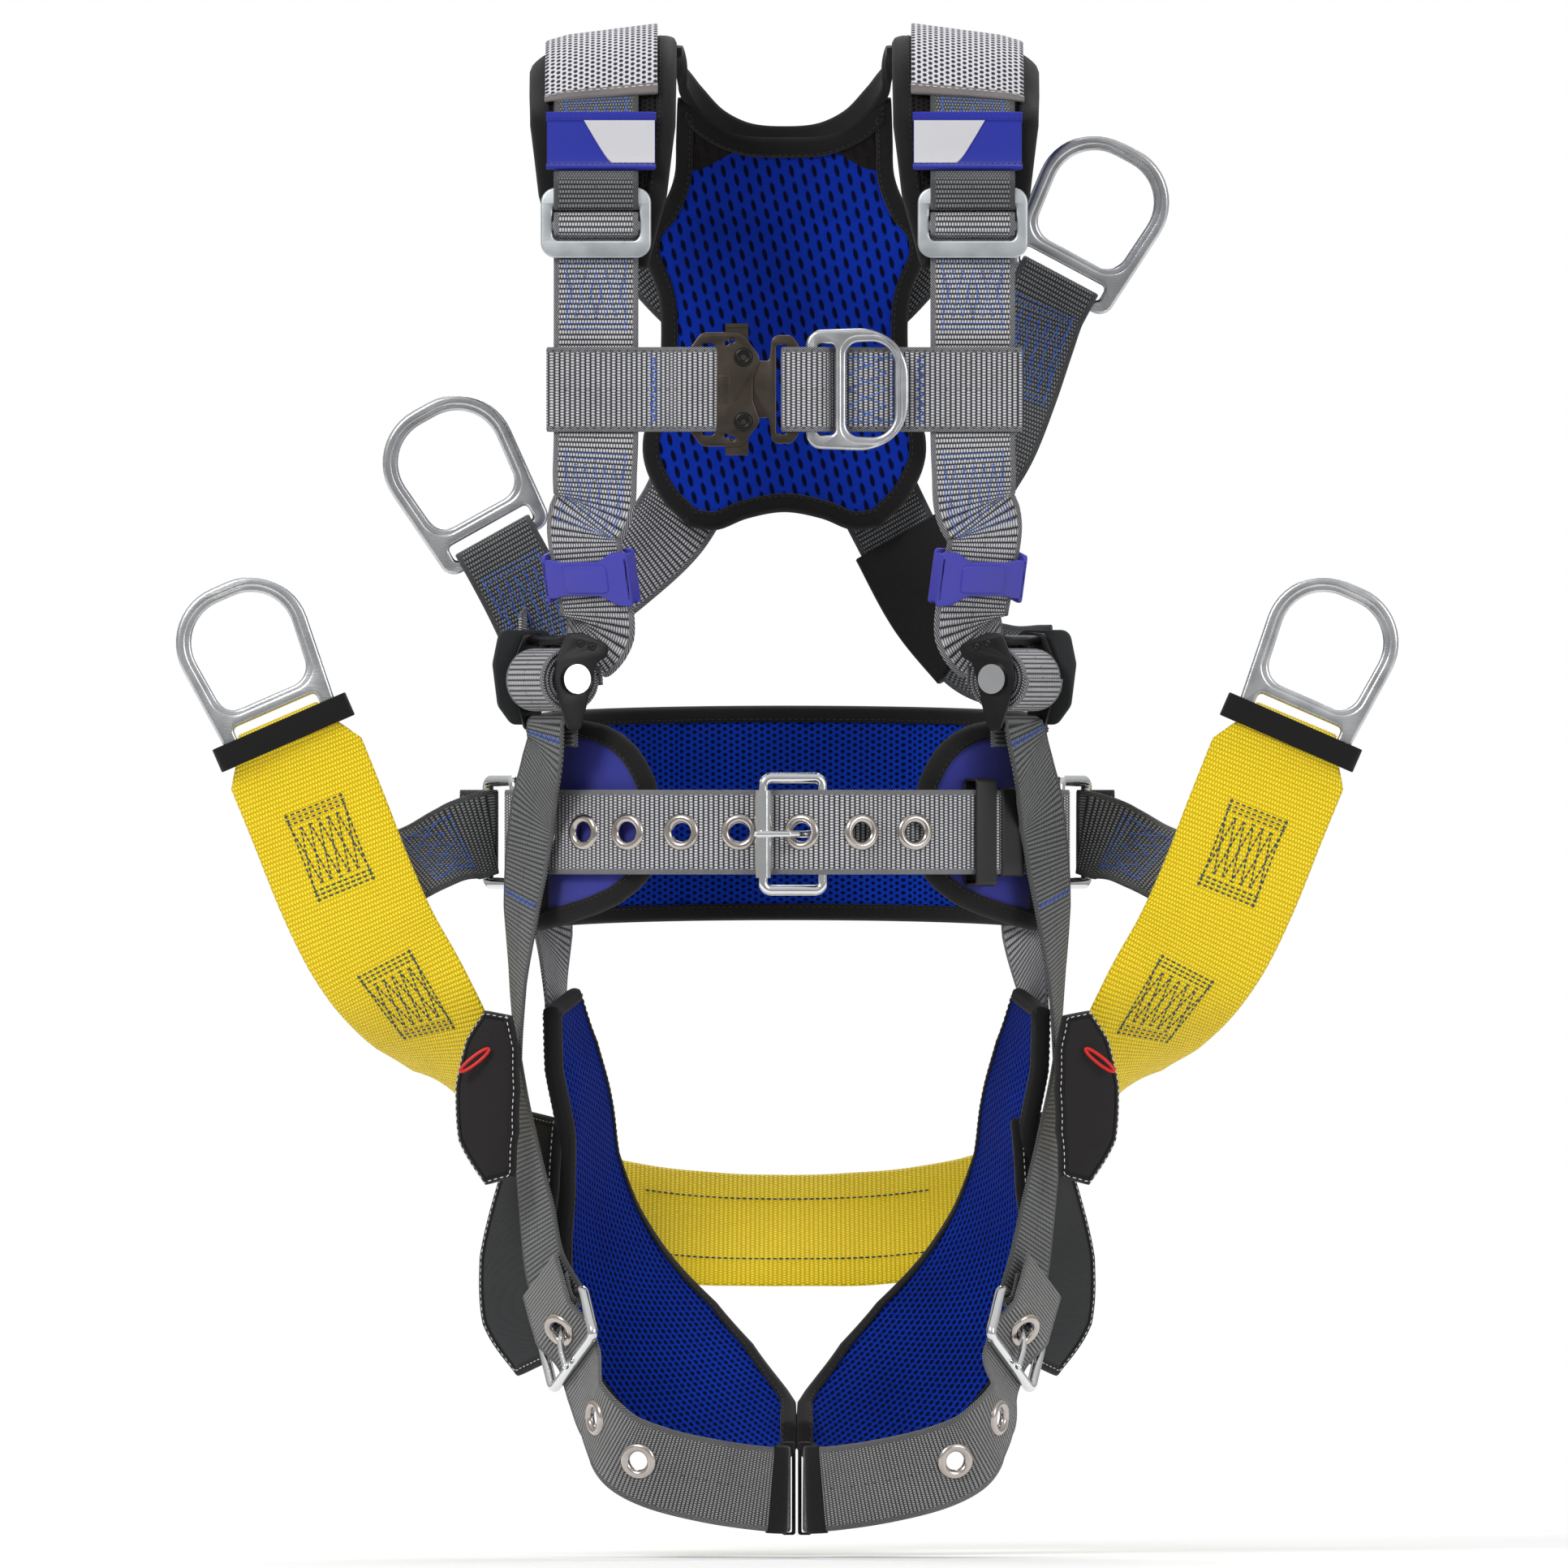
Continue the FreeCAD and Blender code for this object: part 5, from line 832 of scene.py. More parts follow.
class Pad:
    """A sewn pad over a grid of points: both faces crowned, thin at the seam, with a tape round its edge."""

    def __init__(self, name, points, normals, thick, flat, seams=(), shoulder=13.0, edge=2.0, tape=9.0):
        self.name, self.points, self.normals, self.flat = name, points, unit(normals), flat
        self.thick, self.shoulder, self.edge, self.tape_wide = thick, shoulder, edge, tape
        self.rim = border(*points.shape[:2])
        self.away = edge_distance(points, np.array([points[i, k] for i, k in self.rim]))
        self.half = self.profile(self.away)
        for i, k in seams:
            self.half[i, k] = min(self.half[i, k], edge + 0.9)
        self.seams = list(seams)

    def profile(self, away):
        """Half the pad's thickness at a distance from its rim."""
        swell = np.clip(np.asarray(away, float) / self.shoulder, 0, 1)
        return self.edge + (self.thick / 2 - self.edge) * np.sqrt(np.clip(1 - (1 - swell) ** 2, 0, 1))

    def piece(self, front, back, front_picks=None, back_picks=None, extra=(), pressure=3.0, cap=2.5):
        """Front faces along the normals. Both faces swell inside the tape and between the seams."""
        rows, columns = self.points.shape[:2]
        top = self.points + self.normals * self.half[..., None]
        low = self.points - self.normals * self.half[..., None]
        count = rows * columns
        faces = grid_faces(rows, columns) + grid_faces(rows, columns, count, True)
        quads = (rows - 1) * (columns - 1)
        picks = list(front_picks if front_picks is not None else [0] * quads)
        picks += list(back_picks if back_picks is not None else [1] * quads)
        ring = [i * columns + k for i, k in self.rim]
        for a, b in zip(ring, ring[1:] + ring[:1]):
            faces.append((a, b, b + count, a + count))
            picks.append(1)
        points = np.vstack([top.reshape(-1, 3), low.reshape(-1, 3)])
        flat = np.vstack([self.flat.reshape(-1, 2)] * 2)
        made = skin(self.name, points, faces, [front, back, *extra], flat, picks)
        under_tape = np.nonzero(self.away.ravel() < self.tape_wide + 0.8)[0].tolist()
        held = under_tape + [i * columns + k for i, k in self.seams]
        puff(made, held + [h + count for h in held], pressure, cap)
        return made

    def tape(self, name, finish, stitch=None, raise_by=0.8):
        """Binding folded over the pad's edge, and a row of stitches along its inner border."""
        wide = self.tape_wide
        points = np.array([self.points[i, k] for i, k in self.rim])
        normals = np.array([self.normals[i, k] for i, k in self.rim])
        along = unit(np.roll(points, -1, 0) - np.roll(points, 1, 0))
        inward_way = unit(np.cross(normals, along))
        if np.sum((points.mean(axis=0) - points) * inward_way) < 0:
            inward_way = -inward_way
        for again in range(3):
            inward_way = unit(np.roll(inward_way, 1, 0) + inward_way + np.roll(inward_way, -1, 0))
        half_section = [(wide * share, float(self.profile(wide * share)) + raise_by) for share in (1.0, 0.75, 0.5, 0.25, 0.06)]
        section = half_section + [(-0.8, self.edge * 0.5), (-0.8, -self.edge * 0.5)]
        section += [(a, -b) for a, b in half_section[::-1]]
        top = half_section[0][1] - 2.0
        section = np.array(section + [(wide - 0.6, -top), (wide - 0.6, top)])
        ring = points[:, None] + inward_way[:, None] * section[None, :, :1] + normals[:, None] * section[None, :, 1:]
        lengths = np.concatenate([[0], np.cumsum(np.linalg.norm(np.diff(points, axis=0), axis=1))])
        wrap = np.concatenate([[0], np.cumsum(np.linalg.norm(np.diff(section, axis=0), axis=1))])
        flat = np.stack(np.meshgrid(wrap, lengths), axis=-1)
        settle(skin(name, ring.reshape(-1, 3), tube_faces(len(points), len(section), True), [finish], flat.reshape(-1, 2)))
        if stitch:
            lift = half_section[0][1] + 0.05
            for label, way in (("front", 1), ("back", -1)):
                row = points + inward_way * (wide - 1.6) + normals * way * lift
                sew(f"{name}_{label}_stitches", [list(row) + [row[0]]], stitch, 3.4, 2.2, 0.5)


def puff(piece, held, pressure, cap):
    """Blows a sewn pad up between its seams: held points stay, and no point moves further than cap."""
    mesh = piece.data
    rest = np.zeros(len(mesh.vertices) * 3, np.float32)
    mesh.vertices.foreach_get("co", rest)
    group = piece.vertex_groups.new(name="seams")
    group.add(held, 1.0, "REPLACE")
    cloth = piece.modifiers.new("Cloth", "CLOTH")
    cloth.settings.vertex_group_mass = "seams"
    cloth.settings.use_pressure = True
    cloth.settings.uniform_pressure_force = pressure
    cloth.settings.effector_weights.gravity = 0
    cloth.settings.quality = 4
    cloth.settings.mass = 0.25
    cloth.settings.tension_stiffness = 12
    cloth.settings.compression_stiffness = 8
    cloth.settings.bending_stiffness = 1.5
    cloth.point_cache.frame_end = 20
    scene = bpy.context.scene
    for number in range(1, 19):
        scene.frame_set(number)
    swollen = piece.evaluated_get(bpy.context.evaluated_depsgraph_get())
    found = np.zeros(len(mesh.vertices) * 3, np.float32)
    swollen.data.vertices.foreach_get("co", found)
    piece.modifiers.remove(cloth)
    scene.frame_set(1)
    move = (found - rest).reshape(-1, 3)
    far = np.linalg.norm(move, axis=1, keepdims=True)
    move *= np.minimum(1.0, cap * MM / np.maximum(far, 1e-9))
    mesh.vertices.foreach_set("co", (rest.reshape(-1, 3) + move).ravel())
    mesh.update()
    piece.vertex_groups.clear()


# ---------------------------------------------------------------- shoulders

SHOULDER = [(-84, 297), (-81, 335), (-68, 372), (-40, 402), (-5, 415), (30, 407), (54, 384), (66, 353)]
SHOULDER_OUT, STRAP_OUT, PLATE_Y = 95.5, 99.0, 101.0
FRAME_Y, FRAME_Z, TOP_BAR_Z, SLIDE_BAR_Z = -99.5, 320.2, 334.05, 318.8
CHEST_Z, CHEST_Y = 232.6, -108.5
PAD_LIFT = 6.5


def shoulder_normal(i):
    before, after = SHOULDER[max(i - 1, 0)], SHOULDER[min(i + 1, len(SHOULDER) - 1)]
    along = Vector((0, after[0] - before[0], after[1] - before[1])).normalized()
    return Vector((0, -along.z, along.y))


def on_shoulder(side, out, offset, first=0, last=7):
    """Stations over the shoulder, moved outwards from the pad's middle."""
    found = []
    for i in range(first, last + 1):
        y, z = SHOULDER[i]
        found.append((Vector((side * out + TORSO_SHIFT, y, z)) + shoulder_normal(i) * offset, shoulder_normal(i)))
    return found


def down_the_front(side, out, offset, share):
    (y0, z0), (y1, z1) = SHOULDER[1], SHOULDER[2]
    normal = (shoulder_normal(1) * (1 - share) + shoulder_normal(2) * share).normalized()
    point = Vector((side * out + TORSO_SHIFT, y0 + (y1 - y0) * share, z0 + (z1 - z0) * share))
    return point + normal * offset, normal


def strip_grid(route, widths, columns, step=3.0):
    """A grid of points, normals and flat places across a route that carries a varying width."""
    line, facing, share = smoothed(route, step)
    tangent = unit(np.gradient(line, axis=0))
    across = unit(np.cross(tangent, facing))
    out = unit(np.cross(across, tangent))
    half = np.interp(share, range(len(route)), widths) / 2
    along = np.concatenate([[0], np.cumsum(np.linalg.norm(np.diff(line, axis=0), axis=1))])
    places = np.linspace(-1, 1, columns)
    points = line[:, None] + across[:, None] * (half[:, None] * places[None])[..., None]
    normals = np.repeat(out[:, None], columns, axis=1)
    flat = np.stack(np.broadcast_arrays(half[:, None] * places[None], along[:, None]), axis=-1)
    return points, normals, flat


def shoulder_pads():
    for name, side in SIDES:
        route = on_shoulder(side, SHOULDER_OUT, 0.0)
        points, normals, flat = strip_grid(route, [46.0, 66.0, 75.0, 76.0, 76.0, 76.0, 74.0, 66.0], 21)
        pad = Pad(f"shoulder_cushion_{name}", points, normals, 9.6, flat, tape=9.5)
        piece = pad.piece(BLACK_MESH, BLUE_AIR, cap=1.5)
        settle(piece, stands_for=[f"shoulder_pad_{name}"])
        pad.tape(f"shoulder_tape_{name}", TAPE, BLACK_THREAD)


def shoulder_straps():
    """Each strap folds up round the adjuster's top bar, runs over the pad and ends on the dorsal plate."""
    for name, side in SIDES:
        flap = on_shoulder(side, STRAP_OUT, PAD_LIFT + 2.7, 2, 3)[::-1]
        flap.append(down_the_front(side, STRAP_OUT, PAD_LIFT + 2.7, 0.4))
        bar = [(-3.1, 7.2, -0.8, 0.6), (-4.1, 2.0, -1, 0), (-4.0, -3.6, -1, -0.4), (-3.2, -6.0, -0.7, -0.7), (0, -6.4, 0, -1)]
        bar += [(3.2, -6.0, 0.7, -0.7), (4.0, -3.6, 1, -0.4), (4.0, 2.5, 1, 0)]
        edge = side * STRAP_OUT + TORSO_SHIFT
        fold = [(Vector((edge, FRAME_Y + y, TOP_BAR_Z + z)), Vector((0, ny, nz))) for y, z, ny, nz in bar]
        main = [down_the_front(side, STRAP_OUT, PAD_LIFT, 0.4)] + on_shoulder(side, STRAP_OUT, PAD_LIFT, 2, 6)
        rows = [(94, 78, 352, 0, 1, 0.25), (80, 90, 322, 0, 1, 0.1), (56, 95, 292, 0, 1, 0), (30, 96.5, 268, 0, 1, 0)]
        rest = [(p, -n) for p, n in main + stations(side, rows, TORSO_SHIFT)]
        strap = Strap(flap + fold + rest)
        settle(strap.mesh(f"shoulder_strap_{name}", DARK_WEB), stands_for=["shoulder_straps"])
        top, band_low = strap.find(2, 386.0), strap.find(2, 349.0)
        rows = stitch_box(top, top + 34, 16.0, 3)
        rows += [[(-15, band_low + 1.2), (15, band_low + 1.2)], [(-15, band_low + 4.0), (15, band_low + 4.0)]]
        sew(f"shoulder_stitches_{name}", lines_on(strap, rows), BLUE_THREAD)
        sew(f"shoulder_ticks_{name}", ticks(strap, band_low + 5, band_low + 24), BLACK_THREAD, 1.6, 1.6, 0.5)


def shoulder_covers():
    """Light mesh sewn over the strap on the top of each shoulder, with a taped front edge."""
    for name, side in SIDES:
        route = [down_the_front(side, 96.4, 11.9, 0.999)] + on_shoulder(side, 96.4, 11.6, 3, 6)
        route[0] = (route[0][0].lerp(route[1][0], 0.35), route[0][1].lerp(route[1][1], 0.35))
        cover = Strap(route, 59.0, 1.2)
        piece = cover.mesh(f"shoulder_cover_{name}", GREY_HEX)
        settle(piece)
        trim = Strap([cover_station(cover, s) for s in (-1.0, 2.5, 6.0)], 59.8, 2.2)
        piece = trim.mesh(f"shoulder_cover_trim_{name}", TAUPE_TAPE)
        settle(piece)
        rows = [[(-28.5, 5.2), (28.5, 5.2)]]
        sew(f"shoulder_cover_stitches_{name}", lines_on(trim, rows, 0.15), WHITE_THREAD, 3.6, 2.6, 0.7)


def cover_station(strap, along):
    middle, across, out = strap.frame(max(along, 0.0))
    ahead = unit(strap.line[1] - strap.line[0])
    return Vector(middle + ahead * min(along, 0.0)), Vector(out)


def identity_bands():
    """A cloth band over each strap: blue twill with a silver patch and bias-bound edges."""
    for name, side in SIDES:
        out = STRAP_OUT - 2.6
        route = [on_shoulder(side, out, 11.4, 2, 2)[0], down_the_front(side, out, 11.4, 0.4)]
        route.append((Vector((side * out + TORSO_SHIFT, -94.2, 349.2)), Vector((0, -0.59, 0.81))))
        band = Strap(route, 57.0, 1.2)
        length = band.along[-1]
        inner = 1 if band.across[0][0] * side < 0 else -1
        piece = band.mesh(f"identity_band_{name}", BAND_TWILL)
        settle(piece, stands_for=["identity_bands"])
        split_top, split_low = 9.0, -6.0
        top, low = 4.2, length - 4.2
        corners = [(inner * 28.2, top), (-inner * split_top, top), (-inner * split_low, low), (inner * 28.2, low)]
        patch(f"identity_patch_{name}", band, corners, PATCH)
        for label, start, end in (("upper", -0.6, 4.4), ("lower", length - 4.4, length + 0.6)):
            trim = Strap([band_station(band, s) for s in (start, (start + end) / 2, end)], 57.8, 2.2)
            settle(trim.mesh(f"band_trim_{label}_{name}", NAVY_TAPE))
            middle = trim.along[-1] * (0.72 if label == "upper" else 0.28)
            sew(f"band_stitches_{label}_{name}", lines_on(trim, [[(-27.5, middle), (27.5, middle)]], 0.1), NAVY_THREAD, 2.8, 2.0, 0.5)


def band_station(strap, along):
    """A station on a strap, carried straight on past its ends."""
    inside = min(max(along, 0.0), strap.along[-1])
    middle, across, out = strap.frame(inside)
    ahead = unit(strap.line[1] - strap.line[0]) if along < 0 else unit(strap.line[-1] - strap.line[-2])
    return Vector(middle + ahead * (along - inside)), Vector(out)


def patch(name, strap, corners, finish, lift=0.25, thick=0.5):
    """A thin four-cornered patch that lies on a strap."""
    columns, rows = 9, 9
    (a, b), (c, d), (e, f), (g, h) = corners
    points, flat = [], []
    for level in (lift + thick, lift - 0.4):
        for i in range(rows):
            t = i / (rows - 1)
            left, right = (a + (g - a) * t, b + (h - b) * t), (c + (e - c) * t, d + (f - d) * t)
            for k in range(columns):
                s = k / (columns - 1)
                across, along = left[0] + (right[0] - left[0]) * s, left[1] + (right[1] - left[1]) * s
                points.append(strap.spot(across, along, level))
                flat.append((across, along))
    count = rows * columns
    faces = grid_faces(rows, columns) + grid_faces(rows, columns, count, True)
    ring = [i * columns + k for i, k in border(rows, columns)]
    faces += [(p, q, q + count, p + count) for p, q in zip(ring, ring[1:] + ring[:1])]
    return settle(skin(name, points, faces, [finish], flat, smooth=False))


def shoulder_hardware():
    """Flat adjuster frames, with a slide bar across each."""
    for name, side in SIDES:
        place = place_at((side * STRAP_OUT + TORSO_SHIFT, FRAME_Y, FRAME_Z), (1, 0, 0), (0, 0, 1))
        outer = rounded([(-29, -18.5, 8), (29, -18.5, 8), (29, 18.5, 8), (-29, 18.5, 8)])
        window = rounded([(-22.7, -9.2, 3), (22.7, -9.2, 3), (22.7, 9.2, 3), (-22.7, 9.2, 3)])
        face = plate(f"adjuster_frame_{name}", [outer, window], 4.5, 1.1, place, ZINC)
        settle(face, stands_for=["shoulder_adjuster_frames"])
        dress(f"slide_bar_{name}", ZINC)


def dress(node, finish):
    """Gives a kept CAD node its finish."""
    mesh = frame["nodes"][node].data
    mesh.materials.clear()
    mesh.materials.append(finish.material)


# ---------------------------------------------------------------- back pad and neckline

BACK_SIDE_VIEW = [(160, 70), (195, 80), (235, 84), (280, 84), (325, 78), (358, 66), (383, 50), (395, 44)]


def back_y(z):
    heights, depths = zip(*BACK_SIDE_VIEW)
    return float(np.interp(z, heights, depths))


def curve_through(points, count):
    """Evenly spaced places along a smooth flat line."""
    route = [(Vector((x, 0, z)), Vector((0, 1, 0))) for x, z in points]
    line, facing, share = smoothed(route, 1.5)
    along = np.concatenate([[0], np.cumsum(np.linalg.norm(np.diff(line, axis=0), axis=1))])
    wanted = np.linspace(0, along[-1], count)
    return np.stack([np.interp(wanted, along, line[:, 0]), np.interp(wanted, along, line[:, 2])], axis=-1)


def back_pad():
    """The pad between the shoulder blades, filled from its four border lines."""
    rows, columns = 66, 47
    right = [(50, 162), (64, 176), (73, 194), (74, 208), (67, 232), (64.5, 258), (66, 284), (74, 306), (72.5, 318)]
    right += [(64, 330), (57.5, 346), (56.5, 366), (55.8, 387)]
    low = [(-50, 162), (-36, 160.5), (-20, 166.5), (0, 170), (20, 166.5), (36, 160.5), (50, 162)]
    top = [(-55.8, 387), (-51, 387), (-40, 376), (-22, 367.5), (0, 366), (22, 367.5), (40, 376), (51, 387), (55.8, 387)]
    east, south, north = curve_through(right, rows), curve_through(low, columns), curve_through(top, columns)
    west = east * np.array([-1, 1])
    grid = np.zeros((rows, columns, 2))
    for i in range(rows):
        t = i / (rows - 1)
        for k in range(columns):
            s = k / (columns - 1)
            corners = (1 - s) * (1 - t) * south[0] + s * (1 - t) * south[-1] + (1 - s) * t * north[0] + s * t * north[-1]
            grid[i, k] = (1 - t) * south[k] + t * north[k] + (1 - s) * west[i] + s * east[i] - corners
    points = np.zeros((rows, columns, 3))
    points[..., 0] = grid[..., 0] + TORSO_SHIFT
    points[..., 2] = grid[..., 1]
    points[..., 1] = np.vectorize(back_y)(grid[..., 1])
    slope = np.gradient(points[..., 1], axis=0) / np.maximum(np.gradient(points[..., 2], axis=0), 0.1)
    normals = np.stack([np.zeros_like(slope), -np.ones_like(slope), slope * 0.8], axis=-1)
    pad = Pad("back_cushion", points, normals, 10.4, grid.copy(), shoulder=16.0, tape=8.0)
    piece = pad.piece(BLUE_SPACER, PACK_CLOTH, pressure=4.0, cap=2.5)
    settle(piece, stands_for=["back_pad"])
    pad.tape("back_pad_tape", TAPE, BLACK_THREAD)


def neckline():
    """A soft rolled tape that joins the two shoulder pads round the neck."""
    half = [(0, 64, 366), (20, 63, 368), (36, 58, 376), (48, 49, 389), (56, 35, 402), (60, 14, 412), (61, -14, 411)]
    line = [(-x, y, z) for x, y, z in half[:0:-1]] + half
    route = [(Vector((x + TORSO_SHIFT, y, z)), Vector((0, -1, 0.35 + 0.01 * abs(x)))) for x, y, z in line]
    roll = Strap(route, 14.0, 5.2, ripple=0.0)
    settle(roll.mesh("neck_tape", TAPE))


# ---------------------------------------------------------------- front straps, keepers and torso adjusters

SPOOL_OUT, SPOOL_Y, SPOOL_Z = 122.1, -70.0, 80.5
AXIS_OUT, AXIS_Y = -0.44, -0.898
CROSS_LOW = -23.8
CHEEK = [(-4, 24), (4, 24.5), (20, 18), (19, 11.5), (13, 9), (9.5, -2), (7, -14), (3.4, -27), (-3.4, -27)]
CHEEK += [(-8, -14), (-12, 0), (-10.5, 9.5)]
KEEPER_OUT, KEEPER_Y, KEEPER_Z = 101.8, -79.0, 134.0
KEEPER_TURN = math.radians(30)


def adjuster_place(side):
    centre = (side * SPOOL_OUT + TORSO_SHIFT, SPOOL_Y, SPOOL_Z)
    return place_at(centre, (-AXIS_Y, AXIS_OUT * side, 0), (0, 0, 1))


def inward(side):
    return Vector((side * AXIS_Y, -AXIS_OUT, 0))


def keeper_place(side):
    centre = (side * KEEPER_OUT + TORSO_SHIFT, KEEPER_Y, KEEPER_Z)
    return place_at(centre, (math.cos(KEEPER_TURN), side * math.sin(KEEPER_TURN), 0), (-side * 1.6, -13.0, 40.0))


def front_straps():
    for name, side in SIDES:
        shift, out = TORSO_SHIFT, STRAP_OUT
        bar = Vector((side * out + shift, FRAME_Y, SLIDE_BAR_Z + 2.0))
        flap = stations(side, [(out, -92.8, 262, 0, 1, 0), (out, -92.8, 305, 0, 1, 0)], shift)
        flap += [(bar + Vector((0, 4.4, -2.0)), Vector((0, 1, 0)))]
        fold = turn(bar, (0, 0, 1), (0, 1, 0), 4.4, 0)
        rows = [(out, -103.9, 318, 0, -1, -0.1), (out, -103.4, 316.0, 0, -0.9, -0.5), (out, -100.3, 314.2, 0, -0.5, -1)]
        rows += [(out, -96.3, 312.9, 0, -0.8, -0.8), (out, -95.0, 308, 0, -1, -0.1), (out, -95.2, 292, 0, -1, 0)]
        rows += [(out, -98.6, 272, 0, -1, 0), (out, -100.05, 258, 0, -1, 0), (out, -100.05, 207, 0, -1, 0)]
        rows += [(out + 0.6, -97.6, 190, 0.1, -1, 0), (out + 1.4, -91.5, 171, 0.25, -1, 0)]
        place = keeper_place(side)
        ahead = place.to_3x3() @ Vector((0, 0, 1))
        ahead = ahead if ahead.y < 0 else -ahead
        run = stations(side, rows, shift) + [(place @ Vector((0, along, 0)), ahead) for along in (27, 0, -27)]
        touch = Vector((side * SPOOL_OUT + shift, SPOOL_Y, SPOOL_Z)) + inward(side) * (17.0 + 0.9 + 0.6)
        end = [(touch + Vector((0, 0, 12)), -inward(side)), (touch - Vector((0, 0, 4)), -inward(side))]
        strap = Strap(flap + fold + run + end)
        settle(strap.mesh(f"front_webbing_{name}", LIGHT_WEB), stands_for=[f"front_strap_{name}"])
        upper, lower = strap.find(2, 301.0, 1), strap.find(2, 197.0)
        rows = stitch_box(upper, upper + 38, 15.5, 3) + stitch_box(lower, lower + 43, 15.5, 3)
        sew(f"front_stitches_{name}", lines_on(strap, rows), BLUE_THREAD, 3.0, 2.2, 0.6)
        sew(f"front_ticks_{name}", ticks(strap, upper - 12, strap.along[-1] - 8), BLACK_THREAD, 1.7, 1.7, 0.5)


def lanyard_keepers():
    """A moulded clip on each front strap: a slotted body, a raised front and flared wings."""
    for name, side in SIDES:
        place = keeper_place(side)
        body = f"lanyard_keeper_{name}"
        front = 1 if (place.to_3x3() @ Vector((0, 0, 1))).y < 0 else -1
        pieces = []
        for label, level, thick in (("front", front * 4.0, 2.0), ("rear", -front * 4.0, 2.0)):
            half = [(-26, 10.5, 2), (-20, 10.5, 3), (-14, 9, 8), (8, 9.5, 8), (17, 14.5, 4), (26, 15, 2)]
            rows = half + [(x, -y, r) for x, y, r in half[::-1]]
            layer = place @ Matrix.Translation((0, 0, level))
            outline = rounded([(-side * x, y, r) for x, y, r in rows])
            pieces.append(plate(f"{body}_{label}", [outline], thick, 0.7, layer, BLUE_PLASTIC))
            if label == "front":
                band = rounded([(-13, -7.5, 3), (13, -7.5, 3), (13, 7.5, 3), (-13, 7.5, 3)])
                raised = place @ Matrix.Translation((0, 0, level + front * 1.0))
                pieces.append(plate(f"{body}_band", [band], 1.6, 0.7, raised, BLUE_PLASTIC))
        for end in (-1, 1):
            wall = place @ Matrix.Translation((end * 24.75, 0, 0))
            cheek = place_at((0, 0, 0), (0, 1, 0), (0, 0, 1))
            wall = wall @ cheek
            outline = rounded([(-13, -5, 2), (13, -5, 2), (13, 5, 2), (-13, 5, 2)])
            pieces.append(plate(f"{body}_end_{end}", [outline], 2.4, 0.6, wall, BLUE_PLASTIC))
        settle(joined(body + "_clip", pieces), body, [body])


def torso_adjusters():
    """Two cheek plates, cross rods, and the spool that the spare webbing winds on."""
    for name, side in SIDES:
        hand = -side
        place = adjuster_place(side)
        pieces = []
        for label, z in (("front", 26.25), ("rear", -26.25)):
            radii = [3, 3, 3, 2, 6, 12, 12, 3, 3, 12, 10, 8]
            outline = [(hand * x, y, r) for (x, y), r in zip(CHEEK, radii)]
            holes = [circle(0, 0, 4.06), circle(hand * 3.5, 18.6, 1.3, 14), circle(hand * 10.0, 17.0, 1.3, 14)]
            layer = place @ Matrix.Translation((0, 0, z))
            pieces.append(plate(f"cheek_{label}", [rounded(outline), *holes], 2.5, 0.5, layer, BLACK_STEEL))
            lug = [(place @ Vector((hand * x, y, z + (1.3 if z > 0 else -1.3)))) for x, y in ((3.5, 18.6), (10.0, 17.0))]
            facing = place.to_3x3() @ Vector((0, 0, 1))
            pieces.append(set_grommets(f"lugs_{label}", [(p, facing) for p in lug], BLACK_STEEL, 0.05, 2.2, 1.2))
        for height in (20.5, CROSS_LOW):
            ends = [place @ Vector((0, height, z)) for z in (-27.2, -9, 9, 27.2)]
            pieces.append(tube("rod", ends, 2.5, BLACK_STEEL))
        settle(joined(f"torso_adjuster_{name}", pieces), ROOT, ["torso_adjuster_frames"])
        body = f"adjuster_spool_{name}"
        spiral = []
        turns, rise = 5, 12.2 / 5
        for i in range(turns * 16 + 1):
            angle = 2 * math.pi * i / 16
            radius = 4.9 + rise * i / 16
            normal = place.to_3x3() @ Vector((math.cos(angle), math.sin(angle), 0))
            spiral.append((place.translation + normal * min(radius, 16.1), normal))
        roll = Strap(spiral, WEB_WIDE, 1.9, 3.5, 0.0)
        settle(roll.mesh(body + "_roll", LIGHT_WEB), body, [body])
        sew(body + "_ticks", ticks(roll, roll.along[-1] - 105, roll.along[-1] - 2, 5.6), BLACK_THREAD, 1.6, 1.6, 0.5, body)
        dress(f"adjuster_axle_{name}", CHROME)
        points = [(-15, 26, 6), (14, 26, 6), (19, 12, 6), (14, -10, 8), (4, -24, 6), (-8, -24, 6), (-16, -14, 8), (-19, 8, 8)]
        layer = place @ Matrix.Translation((0, 0, -32.8))
        guard = plate(f"adjuster_guard_{name}", [rounded([(hand * x, y, r) for x, y, r in points])], 3.0, 1.2, layer, NEOPRENE)
        settle(guard, ROOT, ["adjuster_guards"])


# ---------------------------------------------------------------- chest strap, buckle and rings


def flat_run(rows):
    return [(Vector((x, y, CHEST_Z)), Vector((nx, ny, 0))) for x, y, nx, ny in rows]


